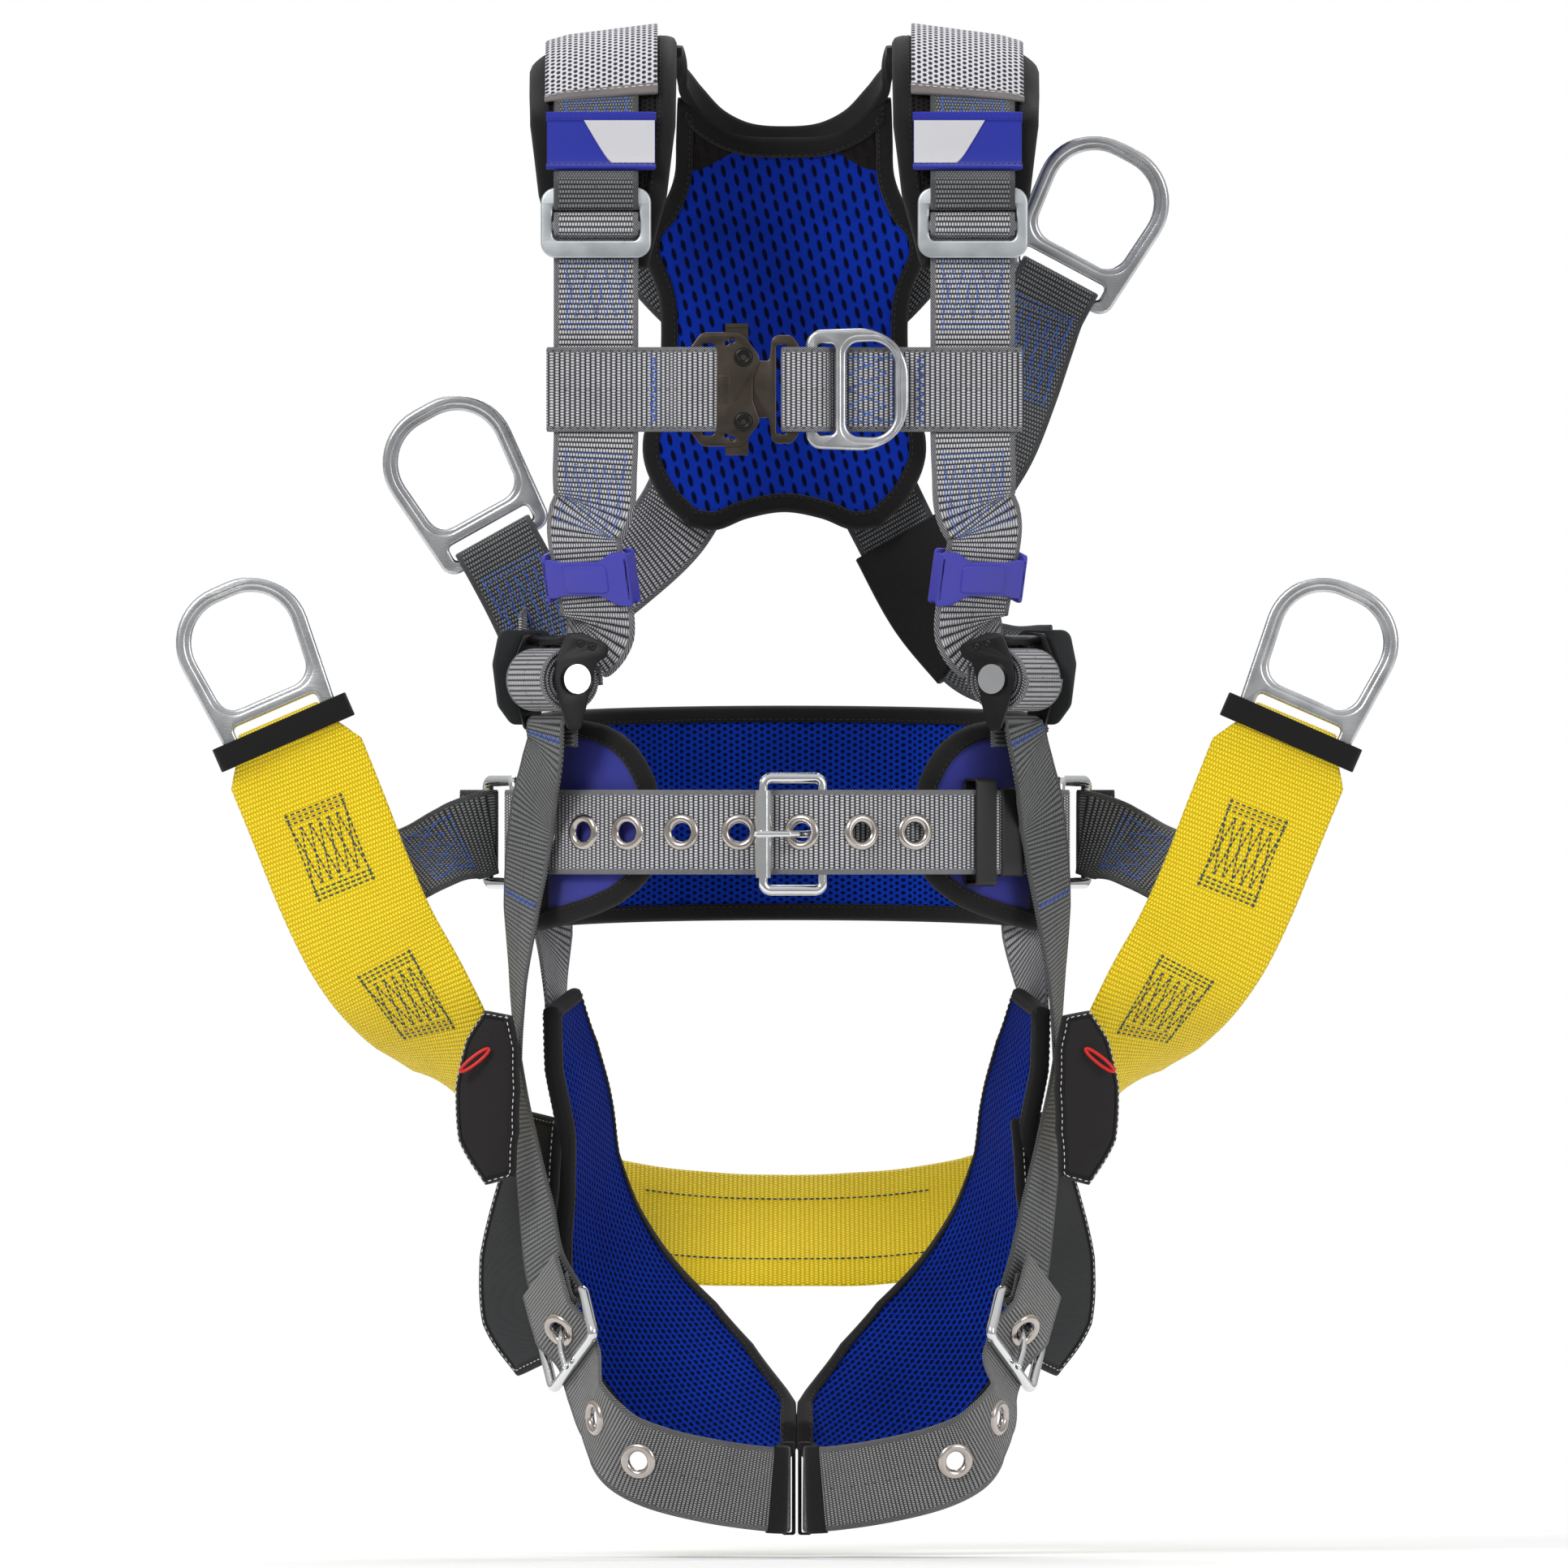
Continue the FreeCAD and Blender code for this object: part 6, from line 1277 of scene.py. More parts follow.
def chest_straps():
    sleeve_y, gap = -100.05, 2.5
    left_edge = -(STRAP_OUT + 0.2 + WEB_WIDE / 2) + TORSO_SHIFT - 0.3
    right_edge = STRAP_OUT + 0.2 + WEB_WIDE / 2 + TORSO_SHIFT + 0.3
    left = flat_run([(-70, sleeve_y + gap, 0, 1), (-95, sleeve_y + gap, 0, 1)])
    left += turn((left_edge, sleeve_y, CHEST_Z), (-1, 0, 0), (0, 1, 0), gap, 0)
    left += flat_run([(-95, sleeve_y - gap, 0, -1), (-77, sleeve_y - gap, 0, -1), (-70, -104.0, -0.2, -1)])
    left += flat_run([(-62, -107.5, -0.6, -1), (-55, CHEST_Y - 4.8, -0.2, -1)])
    left += turn((-41.5, CHEST_Y, CHEST_Z), (1, 0, 0), (0, -1, 0), 4.8, 0)
    left += flat_run([(-54, CHEST_Y + 4.8, 0, 1), (-62, -102.6, 0.1, 1), (-68, -101.2, 0.2, 1)])
    right = flat_run([(68, sleeve_y + gap, 0, 1), (95, sleeve_y + gap, 0, 1)])
    right += turn((right_edge, sleeve_y, CHEST_Z), (1, 0, 0), (0, 1, 0), gap, 0)
    right += flat_run([(95, sleeve_y - gap, 0, -1), (70, sleeve_y - gap, 0, -1), (36, -102.8, 0, -1)])
    right += flat_run([(27.5, -102.9, 0.1, -1), (23.0, -105.0, 0.6, -0.8), (20.6, -110, 0.85, -0.5)])
    right += flat_run([(17.8, -113.1, 0.5, -0.9), (12.5, -114.3, 0, -1), (5, -113.2, -0.1, -1)])
    right += turn((1.5, CHEST_Y, CHEST_Z), (-1, 0, 0), (0, -1, 0), 3.9, 0)
    right += flat_run([(6.5, -104.0, 0.2, 1), (10.5, -102.6, 0.1, 1), (17, -102.3, 0, 1)])
    right += flat_run([(25, -100.9, 0.1, 1), (34, -100.5, 0, 1), (64, -100.2, 0, 1)])
    for name, route, tack_x in (("left", left, -70.6), ("right", right, 68.5)):
        strap = Strap(route)
        settle(strap.mesh(f"chest_webbing_{name}", LIGHT_WEB), stands_for=[f"chest_strap_{name}"])
        front = np.nonzero((strap.out[:, 1] < -0.5))[0]
        first, last = strap.along[front[0]], strap.along[front[-1]]
        places = [a for a in strap.along[front] if abs(strap.frame(a)[0][0] - tack_x) < 1.6]
        sew(f"chest_tack_{name}", bartack(strap, places[0], 17.5, 14, 1.7), BLUE_THREAD, 1.5, 1.9, 0.9)
        sew(f"chest_ticks_{name}", ticks(strap, first + 2, last), BLACK_THREAD, 1.7, 1.7, 0.5)
        edges = [[(a, first + 3), (a, last - 3)] for a in (-20.3, 20.3)]
        sew(f"chest_edge_{name}", lines_on(strap, edges, 0.0), BLACK_THREAD, 4.2, 2.0, 0.5)
        if name == "right":
            behind = np.nonzero((strap.out[:, 1] < -0.9) & (strap.line[:, 0] > 24) & (strap.line[:, 0] < 60) & (strap.line[:, 1] < -101))[0]
            start, end = strap.along[behind[0]], strap.along[behind[-1]]
            sew("chest_box_stitches", lines_on(strap, stitch_box(start, end, 17.0, 2)), BLUE_THREAD)


def chest_buckle():
    """Two plates riveted over a core that leaves the mouth, and a male plate with a strap slot."""
    centre = (-32.5, CHEST_Y, CHEST_Z)
    place = place_at(centre, (1, 0, 0), (0, 0, 1))
    wide, tall = 18.5, 30.0
    outline = [(-wide, -22, 4), (-wide + 6, -tall, 5), (wide - 10, -tall, 5), (wide, -17, 5), (wide - 4, -6, 5), (wide - 4, 6, 5)]
    outline += [(wide, 17, 5), (wide - 10, tall, 5), (-wide + 6, tall, 5), (-wide, 22, 4)]
    window = rounded([(-12.2, -24, 1.5), (-5.8, -24, 1.5), (-5.8, 24, 1.5), (-12.2, 24, 1.5)])
    pins = [circle(0.5, y, 1.25, 14) for y in (-24.3, 24.3)] + [circle(3.5, y, 1.6, 14) for y in (-25.8, 25.8)]
    pieces = []
    for z in (-2.8, 2.8):
        layer = place @ Matrix.Translation((0, 0, z))
        pieces.append(plate("cover", [rounded(outline), window, *pins], 1.4, 0.45, layer, BRONZE))
    core = [(-wide + 1, -21, 3), (-wide + 7, -tall + 1, 3), (-1, -tall + 1, 1), (-1, -22, 1), (5, -20, 1), (5, 20, 1), (-1, 22, 1)]
    core += [(-1, tall - 1, 1), (-wide + 7, tall - 1, 3), (-wide + 1, 21, 3)]
    pieces.append(plate("core", [rounded(core), window], 4.6, 0.3, place, BRONZE))
    tab = rounded([(-3.4, -7.5, 1), (2.4, -7.5, 1), (2.4, 7.5, 1), (-3.4, 7.5, 1)])
    front = place @ Matrix.Translation((0, 0, 3.3 if (place.to_3x3() @ Vector((0, 0, 1))).y < 0 else -3.3))
    pieces.append(plate("badge", [tab], 0.9, 0.3, front, BRONZE))
    settle(joined("chest_buckle_body", pieces), ROOT, ["chest_buckle_housing"])
    facing = Vector((0, -1, 0))
    heads = [(Vector((-23.0, CHEST_Y + y, CHEST_Z + z)), facing) for y in (-3.9, 3.9) for z in (-17.0, 17.0)]
    rivets = set_grommets("chest_rivets", heads, BLACK_STEEL, 1.7, 5.0, 2.4)
    settle(rivets, ROOT, ["chest_buckle_rivets"])
    rows = [(-25.3, -13, 1), (-21.0, -15, 1), (-10, -15, 2), (-8.5, -28.5, 4), (2, -28.5, 4), (5.5, -23.5, 3), (5.5, 23.5, 3)]
    rows += [(2, 28.5, 4), (-8.5, 28.5, 4), (-10, 15, 2), (-21.0, 15, 1), (-25.3, 13, 1)]
    slot = rounded([(-6.3, -23.4, 1.5), (-0.8, -23.4, 1.5), (-0.8, 23.4, 1.5), (-6.3, 23.4, 1.5)])
    male = place_at((0.5, CHEST_Y, CHEST_Z), (1, 0, 0), (0, 0, 1))
    tongue = plate("chest_buckle_male", [rounded(rows), slot], 3.6, 0.6, male, BRONZE)
    settle(tongue, "chest_buckle_tongue", ["chest_buckle_tongue"])
    for name in ("upper", "lower"):
        dress(f"chest_latch_{name}", BRONZE)


RING_SIZES = {
    "ring": {"foot": 62, "head": 77, "rise": 84, "head_round": 31, "near": 20, "eye_foot": 49, "eye_head": 60, "far": 76, "foot_in": 11, "head_in": 23},
    "chest_ring": {"foot": 62, "head": 66, "rise": 51, "head_round": 27, "near": 18, "eye_foot": 49, "eye_head": 51, "far": 43.5, "foot_in": 7, "head_in": 17},
}


def forged_ring(name, place, kind="ring"):
    """A forged ring: strap bar on the place's X axis, head along Y, a thin web and a raised outer rim."""
    s = RING_SIZES[kind]
    foot, head, rise = s["foot"] / 2, s["head"] / 2, s["rise"]

    def band(inset):
        rows = [(-foot + inset, -3 + inset * 0.5, 8), (foot - inset, -3 + inset * 0.5, 8), (head - inset, rise - inset, s["head_round"] - inset)]
        return rounded(rows + [(-head + inset, rise - inset, s["head_round"] - inset)], 12)

    slot = rounded([(-23.75, 3, 2.5), (23.75, 3, 2.5), (23.75, 12, 2.5), (-23.75, 12, 2.5)])
    near, far, narrow, broad = s["near"], s["far"], s["eye_foot"] / 2, s["eye_head"] / 2
    eye = rounded([(-narrow, near, s["foot_in"]), (narrow, near, s["foot_in"]), (broad, far, s["head_in"]), (-broad, far, s["head_in"])], 12)
    grown = [(-narrow - 2.6, near - 2.0, s["foot_in"] + 1), (narrow + 2.6, near - 2.0, s["foot_in"] + 1)]
    grown = rounded(grown + [(broad + 2.6, far + 2.6, s["head_in"] + 2), (-broad - 2.6, far + 2.6, s["head_in"] + 2)], 12)
    web = plate(name + "_web", [band(0.8), slot, eye], 4.6, 1.5, place, FORGED)
    rim = plate(name + "_rim", [band(0.0), [(x, y) for x, y in slot], grown], 6.0, 1.6, place, FORGED)
    piece = joined(name + "_forging", [web, rim])
    return settle(piece, name, [name])


def rings():
    forged_ring("chest_ring", place_at((13.0, CHEST_Y, CHEST_Z), (0, 0, 1), (1, 0, 0)), "chest_ring")
    forged_ring("dorsal_ring", place_at((TORSO_SHIFT, 109.4, 256), (1, 0, 0), (0, 0, -1)))
    for name, (bar, across, rise, route) in REAR_RINGS.items():
        across = Vector(across).normalized()
        rise = Vector(rise)
        rise = (rise - across * rise.dot(across)).normalized()
        out = across.cross(rise)
        out = out if out.y < 0 else -out
        bar = Vector(bar)
        forged_ring(f"rear_ring_{name}", place_at(bar, across, rise))
        rows = [(Vector(p), Vector((out.x * 0.4, -1, 0))) for p in route]
        radius = 3.0 + 1.5 + 0.5 + 0.9
        strap = Strap(rows + [(bar + out * radius - rise * 12, out)] + turn(bar, rise, out, radius, 18))
        settle(strap.mesh(f"rear_ring_webbing_{name}", DARK_WEB), ROOT, [f"rear_ring_strap_{name}"])
        visible = strap.along[np.nonzero(strap.out[:, 1] < -0.2)[0][-1]]
        rows = stitch_box(max(6.0, visible - 74), visible - 20, 16.0, 3)
        sew(f"rear_ring_stitches_{name}", lines_on(strap, rows), BLUE_THREAD)
        sew(f"rear_ring_ticks_{name}", ticks(strap, 4, visible), BLACK_THREAD, 1.7, 1.7, 0.5)
    for name, side in SIDES:
        forged_ring(f"sling_ring_{name}", sling_bar_place(side))


REAR_RINGS = {
    "left": ((-152.5, -14.0, 151.0), (0.87, 0.0, 0.485), (-0.47, -0.1, 0.87), [(-122, -6, 84), (-128, -9, 102), (-137, -12, 122)]),
    "right": ((141.5, 8.0, 288.0), (0.88, 0.0, -0.47), (0.52, -0.1, 0.85), [(98, 62, 186), (110, 44, 206), (121, 26, 234), (129, 12, 258)]),
}


# ---------------------------------------------------------------- waist pad and belt


def belt_station(degrees, extra=0.0, z=0.0):
    angle = math.radians(degrees)
    wide, deep = 142.5 + extra, 105.0 + extra
    point = Vector((wide * math.sin(angle), -deep * math.cos(angle), z))
    return point, Vector((math.sin(angle) / wide, -math.cos(angle) / deep, 0)).normalized()


FLAP_TOP = [(66, 11), (68, 20), (72, 31), (78, 41), (86, 49), (96, 54), (108, 56)]
FLAP_LOW = [(66, -9), (68, -16), (72, -23), (78, -30), (88, -38), (100, -44), (116, -50), (132, -56)]


def waist_pad():
    """A padded wrap open at the front, with two rounded flaps, sewn into upright channels."""
    columns, rows = 17, 131
    angles = np.linspace(30, 330, rows)
    points = np.zeros((rows, columns, 3))
    normals = np.zeros((rows, columns, 3))
    flat = np.zeros((rows, columns, 2))
    length = 0.0
    for i, angle in enumerate(angles):
        lift = 10.0 * (1 - math.cos(math.radians(angle))) / 2
        point, normal = belt_station(angle, -10.5)
        length += (Vector(points[i - 1, 0]) - point).to_2d().length if i else 0.0
        front = point.y < 0
        top = (np.interp(abs(point.x), *zip(*FLAP_TOP)) if front else 56.0) + lift
        low = (np.interp(abs(point.x), *zip(*FLAP_LOW)) if front else -56.0) + lift
        for k in range(columns):
            z = low + (top - low) * k / (columns - 1)
            points[i, k] = (point.x, point.y, z)
            normals[i, k] = tuple(normal)
            flat[i, k] = (length, z)
    seam_rows = [int(np.argmin(np.abs(angles - a))) for a in (105, 150, 176, 205, 255)]
    seams = [(i, k) for i in seam_rows for k in range(1, columns - 1)]
    pad = Pad("waist_cushion", points, normals, 10.4, flat, seams, shoulder=12.0, tape=8.0)
    outside = np.repeat((np.abs(angles[:-1] - 180) < 112).astype(int) * 2, columns - 1)
    piece = pad.piece(PANEL_TWILL, BLUE_AIR, outside, extra=[PACK_CLOTH], pressure=3.5, cap=2.2)
    settle(piece, stands_for=["waist_pad"])
    pad.tape("waist_tape", TAPE, BLACK_THREAD)


PIN_HOLE = 7.7
BELT_HOLES = (-127.0, -107.5, -83.5, -55.5, -25.0, PIN_HOLE, 38.5, 66.5)
ROLLER_BAR, PIVOT_BAR = Vector((-12.5, -111.4, -1.0)), Vector((18.5, -106.6, -1.0))
HIP_BAR, HIP_END = (143.5, -11.0), (157.9, 17.6)


def punched(piece, places, radius):
    """Cuts round holes through webbing at (point, normal) places."""
    for point, normal in places:
        cutter = tube("punch", [Vector(point) - Vector(normal) * 5, Vector(point), Vector(point) + Vector(normal) * 5], radius, BLACK_THREAD, sides=20)
        hole = piece.modifiers.new("hole", "BOOLEAN")
        hole.operation = "DIFFERENCE"
        hole.object = cutter
        hole.solver = "EXACT"
        bpy.context.view_layer.update()
        cut = bpy.data.meshes.new_from_object(piece.evaluated_get(bpy.context.evaluated_depsgraph_get()))
        piece.modifiers.remove(hole)
        old, piece.data = piece.data, cut
        bpy.data.meshes.remove(old)
        bpy.data.objects.remove(cutter)
    return piece


def belt():
    route = [belt_station(angle) for angle in (-68, -60, -52, -44, -36, -28, -20, -13)]
    middle = [(-14, -104.4, 0.05, -1), (-4, -106.6, -0.25, -1), (7.7, -110.4, -0.3, -1), (17, -113.2, -0.15, -1)]
    middle += [(27, -113.6, 0.05, -1), (37, -111.2, 0.25, -1)]
    route += [(Vector((x, y, 0)), Vector((nx, ny, 0)).normalized()) for x, y, nx, ny in middle]
    route += [belt_station(angle, 4.6) for angle in (21, 28, 35, 42, 49, 53)]
    radius = 3.2 + 0.5 + 0.9
    hip = Vector((-HIP_BAR[0], HIP_BAR[1], 0))
    back = turn(hip, (-0.1, 1, 0), (-1, -0.1, 0), radius, 16)[::-1]
    left = Strap(back + route)
    webbing_piece = left.mesh("belt_webbing_left", LIGHT_WEB)
    places = []
    for x in BELT_HOLES:
        near = int(np.argmin(np.abs(left.line[:, 0] - x) + (left.line[:, 1] > -20) * 999))
        places.append((Vector(left.line[near]), Vector(left.out[near])))
    punched(webbing_piece, places, 5.95)
    settle(webbing_piece, stands_for=["belt_strap_left"])
    settle(set_grommets("belt_eyelets", places, NICKEL), stands_for=["belt_grommets"])
    hip = Vector((HIP_BAR[0], HIP_BAR[1], 0))
    begin = turn(hip, (0.1, 1, 0), (1, -0.1, 0), radius, 16)[::-1]
    run = [belt_station(angle) for angle in (68, 60, 52, 44, 36, 28, 20)]
    end = [(p, -n) for p, n in turn((PIVOT_BAR.x, PIVOT_BAR.y, 0), (-1, 0, 0), (0, 1, 0), 2.75 + 0.5 + 0.9, 9)]
    right = Strap(begin + run + end)
    piece = right.mesh("belt_webbing_right", LIGHT_WEB)
    notch = plate("notch", [[(-9.5, -4.5), (7, -4.5), (7, 4.5), (-9.5, 4.5)]], 14, 0.05, place_at((PIVOT_BAR.x, PIVOT_BAR.y, PIVOT_BAR.z), (1, 0, 0), (0, 0, 1)), BLACK_THREAD)
    hole = piece.modifiers.new("notch", "BOOLEAN")
    hole.operation = "DIFFERENCE"
    hole.object = notch
    bpy.context.view_layer.update()
    cut = bpy.data.meshes.new_from_object(piece.evaluated_get(bpy.context.evaluated_depsgraph_get()))
    piece.modifiers.remove(hole)
    piece.data = cut
    bpy.data.objects.remove(notch)
    settle(piece, stands_for=["belt_strap_right"])
    tip = Strap([belt_station(angle, 4.6) for angle in (49.5, 52, 54.5, 57)], 46.5, 3.6, ripple=0.0)
    settle(tip.mesh("belt_tail_cap", BLACK_PLASTIC))
    for node in ("belt_buckle_frame", "belt_buckle_roller", "belt_buckle_tongue", "hip_ring_left", "hip_ring_right"):
        dress(node, CHROME)
    point, normal = belt_station(44.5, 2.2)
    place = place_at(point, normal, (0, 0, 1))
    outer = rounded([(-6.4, -28.5, 3), (6.4, -28.5, 3), (6.4, 28.5, 3), (-6.4, 28.5, 3)])
    inner = rounded([(-4.6, -26.7, 1.5), (4.6, -26.7, 1.5), (4.6, 26.7, 1.5), (-4.6, 26.7, 1.5)])
    keeper = plate("belt_keeper_loop", [outer, inner], 13.0, 0.5, place, BLACK_PLASTIC)
    settle(keeper, "belt_keeper", ["belt_keeper"])


# ---------------------------------------------------------------- straps at the sides and back

LEG_BUCKLE = (121.0, -45.0, -254.0)
LEG_OUT, LEG_DOWN = (0.88, -0.47, 0.0), (-0.2, -0.5, -0.84)


def leg_buckle_place(side):
    down = Vector((side * LEG_DOWN[0], LEG_DOWN[1], LEG_DOWN[2]))
    out = Vector((side * LEG_OUT[0], LEG_OUT[1], LEG_OUT[2]))
    across = out.cross(down) if side < 0 else down.cross(out)
    return place_at((side * LEG_BUCKLE[0] + LEG_SHIFT / 2, LEG_BUCKLE[1], LEG_BUCKLE[2]), down, across)


def side_straps():
    rows = [(127.5, -69, 42, 0.9, -0.44, 0), (130, -59, 28, 0.86, -0.5, 0), (133.5, -47.5, 10, 0.83, -0.55, 0)]
    rows += [(137.5, -43, -18, 0.86, -0.5, 0), (140.5, -38, -44, 0.92, -0.4, 0), (142, -30, -76, 0.98, -0.2, 0)]
    rows += [(141.5, -24, -118, 1, -0.05, 0), (138, -23, -160, 0.97, -0.25, 0.05), (132, -28, -200, 0.92, -0.38, 0.1)]
    rows += [(126.5, -36, -232, 0.88, -0.47, 0.0)]
    for name, side in SIDES:
        low_rod = adjuster_place(side) @ Vector((0, CROSS_LOW, 0))
        fold = turn(low_rod, (0, 0, 1), -inward(side), 2.5 + 1.4, 12)[::-1]
        down = Vector((side * LEG_DOWN[0], LEG_DOWN[1], LEG_DOWN[2]))
        out = Vector((side * LEG_OUT[0], LEG_OUT[1], LEG_OUT[2]))
        bar = Vector((side * LEG_BUCKLE[0] + LEG_SHIFT / 2, LEG_BUCKLE[1], LEG_BUCKLE[2]))
        end = [(p, -n) for p, n in turn(bar, down, -out, 2.75 + 1.4, 12)]
        strap = Strap(fold + stations(side, rows) + end)
        piece = strap.mesh(f"side_strap_{name}", DARK_WEB)
        notch = plate("notch", [[(-8.5, -4.5), (11.5, -4.5), (11.5, 4.5), (-8.5, 4.5)]], 13.5, 0.05, leg_buckle_place(side), BLACK_THREAD)
        hole = piece.modifiers.new("notch", "BOOLEAN")
        hole.operation = "DIFFERENCE"
        hole.object = notch
        bpy.context.view_layer.update()
        cut = bpy.data.meshes.new_from_object(piece.evaluated_get(bpy.context.evaluated_depsgraph_get()))
        piece.modifiers.remove(hole)
        piece.data = cut
        bpy.data.objects.remove(notch)
        settle(piece, stands_for=["side_straps"])
        tacks = bartack(strap, strap.find(2, 48.0, -1), 19.0, 14, 1.4) + bartack(strap, strap.find(2, -37.0, -1), 19.0, 14, 1.4)
        sew(f"side_tacks_{name}", tacks, BLUE_THREAD, 1.5, 1.9, 0.8)
        start = strap.find(2, 40.0, -1)
        sew(f"side_ticks_{name}", ticks(strap, start, strap.along[-1] - 30), BLACK_THREAD, 1.7, 1.7, 0.5)


def back_straps():
    left = [(30, 96.5, 236, 0, 1, 0), (46, 95.5, 190, 0.05, 1, 0), (60, 92, 163, 0.2, 1, 0), (86, 78, 137, 0.5, 0.87, 0)]
    left += [(112, 50, 116, 0.8, 0.6, 0), (131, 12, 102, 0.97, 0.2, 0), (139.5, -22, 94, 0.99, -0.1, 0)]
    right = [(30, 96.5, 236, 0, 1, 0), (44, 95.5, 190, 0.05, 1, 0), (60, 88, 156, 0.25, 1, 0), (77, 77, 122, 0.45, 0.9, 0)]
    right += [(96, 62, 96, 0.65, 0.76, 0), (119, 27, 87, 0.9, 0.4, 0), (135, -8, 87, 0.99, 0, 0), (140.5, -26, 87, 0.99, -0.1, 0)]
    for name, side, rows in (("left", -1, left), ("right", 1, right)):
        strap = Strap(stations(side, rows, TORSO_SHIFT))
        settle(strap.mesh(f"back_strap_{name}", LIGHT_WEB if name == "left" else DARK_WEB), stands_for=["back_straps"])
    sleeve = Strap(stations(1, right[2:5], TORSO_SHIFT), 51.5, 6.0, ripple=0.0)
    settle(sleeve.mesh("back_strap_cover", PACK_CLOTH), stands_for=["back_strap_sleeve"])


def dorsal_plate():
    place = place_at((TORSO_SHIFT, PLATE_Y, 256), (-1, 0, 0), (0, 0, 1))
    outer = rounded([(-31, -37, 10), (31, -37, 10), (31, 37, 10), (-31, 37, 10)], 8)
    slots = [rounded([(-26 + s, y - 2, 1.5), (-4 + s, y - 2, 1.5), (-4 + s, y + 2, 1.5), (-26 + s, y + 2, 1.5)]) for s in (0, 30) for y in (-28, 28)]
    pieces = [plate("plate", [outer, *slots], 5.0, 1.2, place, BLACK_PLASTIC)]
    saddle = place @ Matrix.Translation((0, 0, 8.4)) @ place_at((0, 0, 0), (0, 1, 0), (0, 0, 1))
    pieces.append(plate("saddle", [circle(0, 0, 7.4, 36), circle(0, 0, 4.9, 30)], 44.0, 0.8, saddle, BLACK_PLASTIC))
    settle(joined("dorsal_plate_moulding", pieces), ROOT, ["dorsal_plate"])


def slope_shoulders():
    """Sets the tops of the shoulder pieces falling outwards, with a rounded outer corner."""
    for piece in bpy.data.objects:
        if not piece.name.startswith("shoulder_") or "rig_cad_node" in piece or piece.type != "MESH":
            continue
        places = np.zeros(len(piece.data.vertices) * 3, np.float32)
        piece.data.vertices.foreach_get("co", places)
        places = places.reshape(-1, 3)
        out = np.abs(places[:, 0] - TORSO_SHIFT * MM)
        high = np.clip((places[:, 2] - 0.372) / 0.036, 0, 1)
        fall = np.clip(out - 0.062, 0, 0.08) * 0.13 + np.clip((out - 0.114) / 0.02, 0, 1) ** 2 * 0.006
        places[:, 2] -= fall * high * high * (3 - 2 * high)
        piece.data.vertices.foreach_set("co", places.ravel())
        piece.data.update()


def hip_links():
    rows = [(174, 5, -6, 0.5, -0.87, 0), (190, -7, -13, 0.55, -0.83, 0), (206, -20, -20, 0.5, -0.87, 0)]
    rows += [(217, -25.2, -26, 0.35, -0.93, 0), (226, -28.4, -30, 0.25, -0.97, 0)]
    for name, side in SIDES:
        bar = Vector((side * HIP_END[0], HIP_END[1], 0))
        fold = turn(bar, (side * -0.88, 0.46, 0), (side * -0.46, -0.88, 0), 3.2 + 1.4, 14)[::-1]
        strap = Strap(fold + stations(side, rows))
        settle(strap.mesh(f"hip_link_{name}", DARK_WEB), stands_for=["hip_link_straps"])
        start = strap.find(0, side * 172.0, -1)
        sew(f"hip_link_stitches_{name}", lines_on(strap, stitch_box(start, start + 30, 15.0, 2)), BLUE_THREAD)


# ---------------------------------------------------------------- seat sling

SLING = [
    (258.5, -37, 36, 0.05, -1, 0),
    (246, -36, 5, 0.1, -1, 0),
    (233, -34, -28, 0.15, -1, 0),
    (219, -29, -58, 0.22, -0.97, -0.05),
    (202, -19, -85, 0.36, -0.92, -0.12),
    (186, -4, -109, 0.52, -0.83, -0.2),
    (172, 14, -132, 0.7, -0.66, -0.25),
    (161, 33, -152, 0.85, -0.3, -0.3),
    (149, 54, -172, 0.85, 0.3, -0.35),
    (128, 74, -190, 0.6, 0.65, -0.45),
    (98, 88, -202, 0.25, 0.8, -0.55),
    (55, 96, -209, 0.05, 0.8, -0.6),
    (0, 98, -211, 0, 0.78, -0.62),
]
SLING_BAR = (265.5, -37.0, 53.0)
SLING_RISE = (0.4, 0.0, 0.917)


def sling_bar_place(side):
    rise = (side * SLING_RISE[0], SLING_RISE[1], SLING_RISE[2])
    return place_at((side * SLING_BAR[0], SLING_BAR[1], SLING_BAR[2]), (SLING_RISE[2], 0, -side * SLING_RISE[0]), rise)


def sling_end(side):
    bar = Vector((side * SLING_BAR[0], SLING_BAR[1], SLING_BAR[2]))
    rise = Vector((side * SLING_RISE[0], SLING_RISE[1], SLING_RISE[2]))
    out = Vector((0, -1, 0))
    return turn(bar, rise, out, 3.0 + 2.2 + 1.2, 0) + [(bar - out * 4.6 - rise * 14, -out)]


